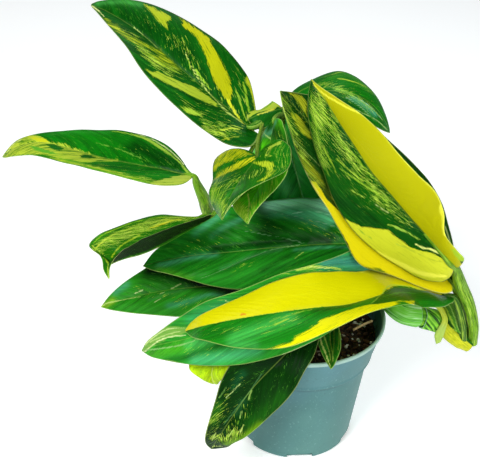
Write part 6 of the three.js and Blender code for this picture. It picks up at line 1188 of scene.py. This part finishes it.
def grain_look(name, lo, hi, scale=260, rough=0.85):
    N = Nodes(name)
    tc = N.t.nodes.new("ShaderNodeTexCoord").outputs["Object"]
    n1 = N.noise(N.mul(tc, (scale, scale, scale)), 1, 4, 0.65)
    n2 = N.noise(N.mul(tc, (scale * 3, scale * 3, scale * 3)), 1, 2, 0.6)
    col = N.ramp(n1, [(0.32, srgb(*lo)), (0.66, srgb(*hi))])
    col = N.mix(N.math("MULTIPLY", N.step(n2, 0.58, 0.7), 0.3), col, srgb(*lo))
    return N.finish(col, rough, N.bump(n2, 0.5, 0.0004), spec=0.3)


def strap_look():
    N = Nodes("dry_sheath")
    lv, vq = N.xyz(N.attr("lv")), N.xyz(N.attr("vq"))
    f = N.noise(N.vec(N.math("MULTIPLY", lv[0], 0.08), N.math("MULTIPLY", lv[1], 1.6), 0.0), 1, 4, 0.6)
    g = N.noise(N.vec(N.math("MULTIPLY", lv[0], 0.5), N.math("MULTIPLY", lv[1], 2.6), 4.0), 1, 3, 0.6)
    col = N.ramp(f, [(0.30, srgb(132, 150, 16)), (0.5, srgb(186, 200, 36)), (0.68, srgb(206, 218, 90))])
    col = N.mix(N.math("MULTIPLY", N.step(g, 0.6, 0.7), 0.35), col, srgb(112, 100, 20))
    col = N.mix(N.math("MULTIPLY", N.step(lv[0], 14.0, 20.0), 0.6), col, srgb(150, 192, 96))
    return N.finish(col, 0.55, N.bump(N.math("ADD", f, g), 0.5, 0.0005), spec=0.4)


# ------------------------------------------------------------------ leaves
LEAF_MAT = leaf_look("leaf_blade")
PET_MAT = petiole_look("leaf_petiole")
PALE = dict(base=(150, 190, 90), marks=[])
# per leaf: relief, vein pitch, edge waviness, petiole colour
SHAPE = {
    "leaf_upper_left": dict(relief=0.14, pitch=8.0, edge_wave=0.7, pet_color=(50, 128, 12), lean=1.7),
    "leaf_far_left": dict(relief=0.12, pitch=8.0, edge_wave=0.6, pet_color=(112, 168, 26), lean=1.9),
    "leaf_drooping_front": dict(relief=0.10, pitch=6.0, edge_wave=0.5, pet_color=(92, 124, 16)),
    "leaf_drooping_rear": dict(relief=0.10, pitch=6.0, edge_wave=0.4, pet_color=(96, 150, 40)),
    "leaf_folded_left": dict(relief=0.12, pitch=6.5, edge_wave=0.6, pet_color=(86, 140, 30), lean=3.2),
    "leaf_broad_middle": dict(relief=0.32, pitch=9.0, edge_wave=0.5, pet_color=(80, 140, 36), lean=1.6),
    "leaf_lower_left": dict(relief=0.20, pitch=8.0, edge_wave=0.6, pet_color=(70, 120, 34), lean=1.6),
    "leaf_low_pale_tip": dict(relief=0.20, pitch=9.0, edge_wave=0.7, pet_color=(104, 156, 60), lean=2.2),
    "leaf_lime_low": dict(relief=0.10, pitch=6.0, edge_wave=0.3, pet_color=(150, 186, 40)),
    "leaf_hanging_front": dict(relief=0.12, pitch=7.0, edge_wave=0.5, pet_color=(60, 110, 30), lean=1.7),
    "leaf_young_furled": dict(relief=0.05, pitch=5.0, edge_wave=0.2, rib=0.6, pet_color=(110, 150, 60)),
    "leaf_arched_top": dict(relief=0.10, pitch=7.0, edge_wave=0.4, pet_color=(64, 120, 30), lean=3.4),
    "leaf_upright_rear": dict(relief=0.14, pitch=8.0, edge_wave=0.5, pet_color=(74, 112, 12), lean=4.0),
    "leaf_upright_front": dict(relief=0.10, pitch=8.0, edge_wave=0.4, pet_color=(98, 146, 14), lean=4.4),
    "leaf_yellow_front": dict(relief=0.10, pitch=9.0, edge_wave=0.5, pet_color=(34, 84, 6), lean=3.0),
    "leaf_shaded_inner": dict(relief=0.10, pitch=7.0, edge_wave=0.3, pet_color=(40, 90, 24)),
    "sheath_stem_top": dict(relief=0.04, pitch=5.0, edge_wave=0.2, rib=0.7, thick=0.7, rows=0.7, nh=16),
}
SLOT = {"leaf_drooping_rear": "leaf_lime", "leaf_folded_left": "leaf_lime", "leaf_lime_low": "leaf_lime",
        "leaf_upright_front": "leaf_yellow", "leaf_yellow_front": "leaf_yellow", "sheath_stem_top": "sheath"}
for k, (name, d) in enumerate(LEAVES.items()):
    b = Blade(d)
    verts, faces, A, mi, uvs = sheet(b, LOOKS.get(name, PALE), seed=11 + k, petiole=d["petiole"], **SHAPE[name])
    ob = new_object(name, verts * MM, faces, A, (LEAF_MAT, PET_MAT), mi, uvs)
    put(ob, SLOT.get(name, "leaf_green"), name)

# ------------------------------------------------------------------ stems
STEM_MAT = {
    "stem_main": stem_look("stem_bark_main", (96, 138, 44), (150, 178, 78), (52, 84, 26)),
    "stem_creeping": stem_look("stem_bark_creeping", (84, 156, 22), (150, 206, 60), (30, 92, 8), tip=115.0),
    "stem_front": stem_look("stem_bark_front", (96, 138, 44), (150, 178, 78), (52, 84, 26)),
}
for name, line in STEMS.items():
    knots = lambda s, a, ln: (1 + 0.05 * np.exp(-(((s + 7) % 19 - 9.5) / 1.6) ** 2) + 0.012 * np.sin(5 * a + s * 0.15) + 0.010 * np.sin(9 * a - s * 0.4)) - 0.03
    v, f, l, u, info = tube(line, step=0.9, sides=40, shape=knots, uv=(0.01, 0.01, 0.99, 0.99))
    # how far each point of the stem's skin looks up the picture
    turn = np.array([0.0, 0.527, 0.850])
    centre = info[0][:, :3].repeat(40, axis=0)
    l[:len(centre), 2] = unit(v[:len(centre)] - centre) @ turn
    ob = new_object(name, v * MM, f, dict(lv=l), (STEM_MAT[name],), None, u)
    put(ob, "stem", name)

# ------------------------------------------------------------------ wrapped sheaths on the creeping stem
def sleeve(line, wall, step=0.6, sides=64, ragged=0.8, seed=3, fold=0.0):
    P = np.asarray(line, float)
    n = len(P) - 1
    t = np.linspace(0, n, 300)
    C = along(P, t)
    d = np.r_[0, np.cumsum(np.linalg.norm(np.diff(C[:, :3], axis=0), axis=1))]
    m = int(d[-1] / step)
    a = np.linspace(0, 2 * np.pi, sides, endpoint=False)
    e0 = ragged * (0.5 + 0.5 * np.sin(a + seed)) + 0.25 * np.sin(5 * a + seed)
    e1 = ragged * (0.5 + 0.5 * np.sin(a * 1.0 + seed * 2.1)) + 0.25 * np.sin(4 * a)
    S = np.linspace(0, 1, m + 1)[:, None] * (d[-1] - e0 - e1)[None] + e0[None]
    tg = np.interp(S, d, t)
    Cg = along(P, tg)
    T, U, W = frames(C[:, :3])
    Ug = np.stack([np.interp(tg, t, U[:, k]) for k in range(3)], -1)
    Wg = np.stack([np.interp(tg, t, W[:, k]) for k in range(3)], -1)
    dirs = unit(Ug * np.cos(a)[None, :, None] + Wg * np.sin(a)[None, :, None])
    ro = Cg[..., 3] * (1 + 0.02 * np.sin(7 * a + seed)[None] + 0.012 * np.sin(17 * a)[None]) - 0.1
    lap = fold * np.exp(-(((a - 2.2 + np.pi) % (2 * np.pi) - np.pi) / 0.16) ** 2)
    ro = ro + lap[None]
    ri = Cg[..., 3] - wall + 0.08
    rows_ = [Cg[..., :3] + dirs * ro[..., None], Cg[..., :3] + dirs * ri[..., None]]
    outer, inner = rows_
    ring0 = (outer[0] + inner[0]) / 2 - T[0] * 0.2
    ring1 = (outer[-1] + inner[-1]) / 2 + T[-1] * 0.2
    rings = [*outer, ring1, *inner[::-1], ring0]
    V = np.stack(rings).reshape(-1, 3)
    nr = len(rings)
    at = lambda i, k: (i % nr) * sides + (k % sides)
    faces, uvs = [], []
    for i in range(nr):
        for k in range(sides):
            faces.append((at(i, k), at(i, k + 1), at(i + 1, k + 1), at(i + 1, k)))
            uvs += [(0.01 + 0.98 * x / sides, 0.01 + 0.98 * y / nr) for x, y in ((k, i), (k + 1, i), (k + 1, i + 1), (k, i + 1))]
    arc = np.vstack([S, S[-1:], S[::-1], S[:1]])
    rim = np.zeros(arc.shape)
    rim[0] = rim[m] = rim[m + 1] = rim[m + 2] = rim[-1] = rim[-2] = 1
    lv = np.stack([arc, np.tile(a, (nr, 1)), rim], -1).reshape(-1, 3)
    return V, faces, lv, uvs


S_PALE = sleeve_look("sheath_pale", (104, 188, 56), (44, 132, 14), (178, 228, 160), twist=0.02, bands=5)
S_STRIPE = sleeve_look("sheath_striped", (72, 150, 14), (6, 56, 4), (140, 206, 54), twist=-0.09, bands=5.5, hard=True)
for name, mat, seed in (("sheath_pale_tube", S_PALE, 1), ("sheath_striped_tube", S_STRIPE, 4)):
    v, f, l, u = sleeve(SLEEVES[name], 0.9, seed=seed, fold=0.45)
    ob = new_object(name, v * MM, f, dict(lv=l), (mat,), None, u)
    put(ob, "sheath", name)

# sheath at the foot of the right petioles, and the dry strap: curved ribbons between two edges
def ribbon(name, left, right, thick, look, mat, slot, seed, cup):
    left, right = np.array(left, float), np.array(right, float)
    b = Blade(dict(rib=(left + right) / 2, left=left, right=right, side=1))
    nrm = unit(np.cross(b.M[-1] - b.M[0], (right - left).mean(0)))
    if nrm @ np.array([0, -0.85, 0.527]) < 0:
        b.s = -1
        nrm = -nrm
    b.M = b.M + nrm * cup
    b.__init__(dict(rib=b.M, left=b.L, right=b.R, side=b.s))
    verts, faces, A, mi, uvs = sheet(b, look, seed, nh=12, thick=thick, rib=0.25, relief=0.06, pitch=3.0, edge_wave=0.25, rows=0.6)
    ob = new_object(name, verts * MM, faces, A, (mat,), None, uvs)
    return put(ob, slot, name)


o = PLATES["sheath_petioles_right"]
ribbon("sheath_petioles_right", [o[0], o[9], o[8], o[7], o[6]], [o[1], o[2], o[3], o[4], o[5]], 0.9,
       dict(base=(72, 132, 30), marks=[["l", 1, (150, 188, 50), (0.6, 0.9, 0.6), [(0.3, -0.2), (2.0, 0.1), (3.8, 0.0)]],
            ["p", 1, (30, 72, 14), [(1.9, -0.9), (2.6, -0.2), (3.7, 0.2), (3.0, -0.9)]], ["l", 2, (206, 208, 60), (0.5, 0.7, 0.5), [(2.6, -0.95), (3.3, -0.9), (4.0, -0.7)]],
            ["l", 1, (150, 196, 84), (0.4, 0.5), [(0.4, 0.6), (3.6, 0.7)]]]), LEAF_MAT, "sheath", 51, 0.6)
o = PLATES["dry_strap"]
ribbon("dry_strap", [o[0], o[11], o[10], o[9], o[8], o[7]], [o[1], o[2], o[3], o[4], o[5], o[6]], 0.7, PALE, strap_look(), "strap", 57, 0.5)

STRAW_MAT = grain_look("straw_dry", (150, 116, 66), (214, 190, 140), 300, 0.8)
v, f, l, u, info = tube(STRAW, step=0.5, sides=14, shape=lambda s, a, ln: 1 + 0.10 * np.sin(3 * a) + 0.06 * np.sin(s * 2.1 + a), uv=(0.01, 0.01, 0.99, 0.99))
put(new_object("straw_stick", v * MM, f, dict(lv=l), (STRAW_MAT,), None, u), "straw", "straw_stick")

# ------------------------------------------------------------------ soil
from mathutils import noise as mnoise


def soil_height(x, y, r):
    lump = math.sin(x * 0.31 + 1.1) * math.cos(y * 0.27 - 0.4) + 0.6 * math.sin(x * 0.11 - y * 0.19)
    z = SOIL["edgeZ"] + 2.6 * (1 - (r / SOIL["edgeR"]) ** 2.2) + 0.9 * lump * min(1, max(0, (52 - r) / 8))
    g = mnoise.fractal(Vector((x * 0.22, y * 0.22, 3.0)), 0.9, 2.2, 5)
    vd = mnoise.voronoi(Vector((x * 0.42, y * 0.42, 7.0)))[0]
    return z + 0.75 * g + 0.9 * (0.45 - vd[0]) * min(1, (54.6 - r) / 1.5)


def soil():
    rings, seg = 74, 300
    er = SOIL["edgeR"]
    verts, faces, mi, uvs = [], [], [], []
    for i in range(1, rings + 1):
        r = er * (i / rings) ** 0.85
        for k in range(seg):
            a = 2 * math.pi * k / seg
            x, y = r * math.cos(a), r * math.sin(a)
            verts.append((x, y, soil_height(x, y, r)))
    prof = [(54.0, 85.2), (51.6, 74.6), (49.2, 71.5), (43.0, 4.4), (41.5, 2.4)]
    for r, z in prof:
        for k in range(seg):
            a = 2 * math.pi * k / seg
            verts.append((r * math.cos(a), r * math.sin(a), z))
    n = rings + len(prof)
    c0 = len(verts)
    verts += [(0, 0, soil_height(0, 0, 0)), (0, 0, 2.4)]
    at = lambda i, k: i * seg + k % seg
    flat = lambda x, y: (0.25 + x / er * 0.24, 0.75 + y / er * 0.24)
    for k in range(seg):
        faces.append((c0, at(0, k), at(0, k + 1)))
        uvs += [flat(*verts[j][:2]) for j in faces[-1]]
        faces.append((c0 + 1, at(n - 1, k + 1), at(n - 1, k)))
        uvs += [(0.75 + verts[j][0] / er * 0.24, 0.75 + verts[j][1] / er * 0.24) for j in faces[-1]]
    for i in range(n - 1):
        for k in range(seg):
            faces.append((at(i, k), at(i + 1, k), at(i + 1, k + 1), at(i, k + 1)))
            if i < rings - 1:
                uvs += [flat(*verts[j][:2]) for j in faces[-1]]
            else:
                e = i - rings + 1
                w = len(prof)
                uvs += [(0.01 + 0.98 * x / seg, 0.48 - 0.46 * yy / w) for x, yy in ((k, e), (k, e + 1), (k + 1, e + 1), (k + 1, e))]
    mi = [0] * len(faces)
    # perlite, bark and peat crumbs pressed into the surface
    import bmesh
    bm = bmesh.new()
    bmesh.ops.create_icosphere(bm, subdivisions=2, radius=1)
    bv = np.array([tuple(x.co) for x in bm.verts])
    bf = [tuple(x.index for x in f.verts) for f in bm.faces]
    bm.free()
    rng = np.random.default_rng(21)
    stems = [(4, 25), (38, 22), (10, -12)]
    spots = [(36.4, -14.5, 1, 1.9), (41.0, -12.0, 1, 1.6), (33.0, -20.0, 1, 1.3), (47.0, -14.0, 2, 2.6), (30.0, -33.0, 2, 2.4)]
    while len(spots) < (330):
        r, a = 53.0 * math.sqrt(rng.random()), rng.random() * 6.283
        x, y = r * math.cos(a), r * math.sin(a)
        if min(math.hypot(x - sx, y - sy) for sx, sy in stems) < 8:
            continue
        kind = rng.random()
        if kind < 0.20:
            spots.append((x, y, 1, 0.7 + 1.1 * rng.random()))
        elif kind < 0.45:
            spots.append((x, y, 2, 1.1 + 1.8 * rng.random()))
        else:
            spots.append((x, y, 0, 0.8 + 1.2 * rng.random()))
    for j, (x, y, kind, size) in enumerate(spots):
        r = math.hypot(x, y)
        if r + size > 53.4:
            f = (53.4 - size) / r
            x, y, r = x * f, y * f, r * f
        s = np.array([1, 0.75, 0.7]) * size if kind != 2 else np.array([1.3, 0.7, 0.42]) * size
        q = rng.random(3) * 6.283
        rot = np.array((Matrix.Rotation(q[0], 3, "Z") @ Matrix.Rotation((q[1] - 3.14) * 0.25, 3, "X") @ Matrix.Rotation((q[2] - 3.14) * 0.25, 3, "Y")))
        bump = 1 + 0.28 * np.array([mnoise.noise(Vector(c) * 1.6 + Vector((j, 0, 0))) for c in bv.tolist()])
        pv = (bv * bump[:, None] * s) @ rot.T
        z = soil_height(x, y, r) + size * (0.22 if kind != 2 else 0.18)
        k0 = len(verts)
        verts += [(float(px + x), float(py + y), float(pz + z)) for px, py, pz in pv]
        cell = 0.5 / 19
        ux, uy = 0.5 + cell * (j % 19), cell * (j // 19)
        for f in bf:
            faces.append(tuple(i + k0 for i in f))
            mi.append(kind)
            uvs += [(ux + cell * (0.5 + 0.45 * bv[i][0]), 0.0 + uy + cell * (0.5 + 0.45 * bv[i][1])) for i in f]
    return verts, faces, mi, uvs


vs, fs, mi, uvs = soil()
ob = new_object("potting_soil", np.array(vs) * MM, fs, None, (soil_look(), grain_look("perlite", (170, 168, 158), (236, 234, 224), 420, 0.9), grain_look("bark_chip", (36, 22, 11), (96, 64, 34), 380, 0.85)), mi, uvs)
put(ob, "soil", "potting_soil")

# ------------------------------------------------------------------ pot
def pot():
    H, RR, BR, SR, SZ, WL, FL = (POT[k] for k in ("height", "rimR", "baseR", "stepR", "stepZ", "wall", "floor"))
    prof = [(0.0, 0.0), (14, 0.0), (24, 0.25), (BR - 4, 0.25), (BR - 2.4, 0.0), (BR - 1.4, 0.0), (BR - 0.5, 0.4), (BR - 0.05, 1.4)]
    prof += [(BR + (SR - BR) * k, 1.8 + (SZ - 1.8) * k) for k in np.linspace(0.0, 1.0, 26)]
    prof += [(SR + 0.15, SZ + 0.3), (SR + 0.55, SZ + 0.55), (SR + 1.3, SZ + 0.62), (SR + 1.95, SZ + 0.8), (SR + 2.5, SZ + 1.25), (SR + 2.75, SZ + 1.9), (SR + 2.7, SZ + 2.6), (SR + 2.5, SZ + 3.3)]
    prof += [(SR + 2.1 + (RR - 1.5 - SR - 2.1) * k, SZ + 1.25 + (H - 3.5 - SZ - 1.25) * k) for k in np.linspace(0.12, 1.0, 12)]
    prof += [(RR - 1.3, H - 3.25), (RR - 0.5, H - 3.0), (RR - 0.1, H - 2.6), (RR, H - 2.0), (RR, H - 0.8), (RR - 0.15, H - 0.35), (RR - 0.5, H - 0.05), (RR - 1.0, H), (RR - 1.5, H - 0.1), (RR - 1.9, H - 0.5), (RR - 2.15, H - 1.2)]
    prof += [(SR + 2.1 - WL + (RR - 2.3 - SR - 2.1 + WL) * k, SZ + 1.6 + (H - 2.2 - SZ - 1.6) * k) for k in np.linspace(1.0, 0.0, 12)]
    prof += [(SR + 0.4 - WL, SZ + 0.6), (SR - WL, SZ - 0.2)]
    prof += [(SR - WL + (BR - WL - SR) * k, SZ - 0.2 + (3.2 - SZ + 0.2) * k) for k in np.linspace(0.05, 1, 14)]
    prof += [(BR - WL - 0.4, 2.2), (BR - WL - 1.2, FL), (30, FL), (0.0, FL)]
    seg = 168
    verts, faces = [], []
    ring = prof[1:-1]
    for r, z in ring:
        for k in range(seg):
            a = 2 * math.pi * k / seg
            verts.append((r * math.cos(a), r * math.sin(a), z))
    c0 = len(verts)
    verts += [(0, 0, prof[0][1]), (0, 0, prof[-1][1])]
    n = len(ring)
    at = lambda i, k: i * seg + k % seg
    for i in range(n - 1):
        for k in range(seg):
            faces.append((at(i, k), at(i, k + 1), at(i + 1, k + 1), at(i + 1, k)))
    for k in range(seg):
        faces.append((c0, at(0, k + 1), at(0, k)))
        faces.append((c0 + 1, at(n - 1, k), at(n - 1, k + 1)))
    return verts, faces


def cutter(name, verts, faces):
    me = bpy.data.meshes.new(name)
    me.from_pydata(verts, [], faces)
    ob = bpy.data.objects.new(name, me)
    SC.collection.objects.link(ob)
    return ob


vs, fs = pot()
raw = cutter("pot_raw", (np.array(vs) * MM).tolist(), fs)
import bmesh
cv, cf = [], []
for k in range(POT["notches"]):
    a = math.radians(POT["notchAt"] + 360 / POT["notches"] * k)
    ca, sa = math.cos(a), math.sin(a)
    hw, top = POT["notchW"] / 2, POT["notchH"]
    # a rounded arch-topped slot through the foot of the wall
    edge = [(-hw, -2.0), (hw, -2.0), (hw, top - 1.2), (hw - 0.35, top - 0.35), (hw - 1.2, top), (-hw + 1.2, top), (-hw + 0.35, top - 0.35), (-hw, top - 1.2)]
    k0 = len(cv)
    for x in (POT["baseR"] - 3.5, POT["baseR"] + 3.5):
        for y, z in edge:
            cv.append(((x * ca - y * sa) * MM, (x * sa + y * ca) * MM, z * MM))
    m = len(edge)
    cf.append(tuple(k0 + i for i in range(m))[::-1])
    cf.append(tuple(k0 + m + i for i in range(m)))
    for i in range(m):
        j = (i + 1) % m
        cf.append((k0 + i, k0 + j, k0 + m + j, k0 + m + i))
for k in range(POT["drains"]):
    a = 2 * math.pi * (k + 0.5) / POT["drains"]
    x0, y0 = POT["drainRing"] * math.cos(a), POT["drainRing"] * math.sin(a)
    k0 = len(cv)
    m = 28
    for z in (-4, 5):
        for i in range(m):
            b_ = 2 * math.pi * i / m
            cv.append(((x0 + POT["drainR"] * math.cos(b_)) * MM, (y0 + POT["drainR"] * math.sin(b_)) * MM, z * MM))
    cf.append(tuple(k0 + i for i in range(m))[::-1])
    cf.append(tuple(k0 + m + i for i in range(m)))
    for i in range(m):
        j = (i + 1) % m
        cf.append((k0 + i, k0 + j, k0 + m + j, k0 + m + i))
cut = cutter("pot_cut", cv, cf)
for o_ in (raw, cut):
    bm = bmesh.new()
    bm.from_mesh(o_.data)
    bmesh.ops.recalc_face_normals(bm, faces=bm.faces)
    bm.to_mesh(o_.data)
    bm.free()
mod = raw.modifiers.new("cut", "BOOLEAN")
mod.object = cut
mod.operation = "DIFFERENCE"
mod.solver = "EXACT"
dg = bpy.context.evaluated_depsgraph_get()
made = bpy.data.meshes.new_from_object(raw.evaluated_get(dg))
made.name = "nursery_pot"
bpy.data.objects.remove(raw)
bpy.data.objects.remove(cut)
made.materials.clear()
made.materials.append(pot_look())
for poly in made.polygons:
    poly.use_smooth = True
    poly.material_index = 0
made.set_sharp_from_angle(angle=math.radians(38))
ob = bpy.data.objects.new("nursery_pot", made)
SC.collection.objects.link(ob)
put(ob, "pot", "nursery_pot")

# ------------------------------------------------------------------ floor, light, camera
N = Nodes("floor_paper")
tc = N.t.nodes.new("ShaderNodeTexCoord").outputs["Object"]
n1 = N.noise(N.mul(tc, (3, 3, 3)), 1, 2, 0.5)
col = N.ramp(n1, [(0.3, (0.93, 0.935, 0.94)), (0.7, (0.95, 0.95, 0.95))])
floor_mat = N.finish(col, 0.9, None, spec=0.1)
N.bsdf.inputs["Emission Color"].default_value = (1, 1, 1, 1)
N.bsdf.inputs["Emission Strength"].default_value = 0.34
fl = new_object("floor", [(-3, -3, -0.0006), (3, -3, -0.0006), (3, 3, -0.0006), (-3, 3, -0.0006)], [(0, 1, 2, 3)], None, (floor_mat,), None, None, False)

world = bpy.data.worlds.new("studio")
SC.world = world
world.use_nodes = True
bg = world.node_tree.nodes["Background"]
bg.inputs["Color"].default_value = (0.93, 0.97, 1.0, 1)
bg.inputs["Strength"].default_value = 0.26


def area(name, loc, aim, size, power, color=(1, 1, 1)):
    la = bpy.data.lights.new(name, "AREA")
    la.shape = "DISK"
    la.size = size
    la.energy = power
    la.color = color
    o = bpy.data.objects.new(name, la)
    SC.collection.objects.link(o)
    o.location = loc
    o.rotation_euler = (Vector(aim) - Vector(loc)).to_track_quat("-Z", "Y").to_euler()
    return o


area("key_left", (-0.55, -0.85, 1.05), (0, 0.03, 0.15), 0.5, 15, (1.0, 0.99, 0.96))
area("top_back", (0.10, 0.75, 1.35), (0, 0.05, 0.15), 0.7, 6, (0.90, 0.98, 1.0))
area("fill_right", (0.75, -0.85, 0.60), (0.03, 0.03, 0.15), 0.8, 7.5, (0.97, 1.0, 1.0))

cam_data = bpy.data.cameras.new("view")
cam_data.lens = 70.1
cam_data.sensor_width = 36
cam_data.sensor_fit = "HORIZONTAL"
cam_data.clip_start = 0.02
cam_data.clip_end = 20
cam = bpy.data.objects.new("view", cam_data)
SC.collection.objects.link(cam)
pitch, roll = 0.555, 0.05
fwd = Vector((0, math.cos(pitch), -math.sin(pitch)))
right0, up0 = Vector((1, 0, 0)), Vector((0, math.sin(pitch), math.cos(pitch)))
r2 = right0 * math.cos(roll) + up0 * math.sin(roll)
u2 = -right0 * math.sin(roll) + up0 * math.cos(roll)
m = Matrix((r2, u2, -fwd)).transposed().to_4x4()
m.translation = Vector((-47.013, -538.653, 502.176)) * MM
cam.matrix_world = m
SC.camera = cam
SC.view_settings.view_transform = "Standard"
SC.view_settings.look = "None"
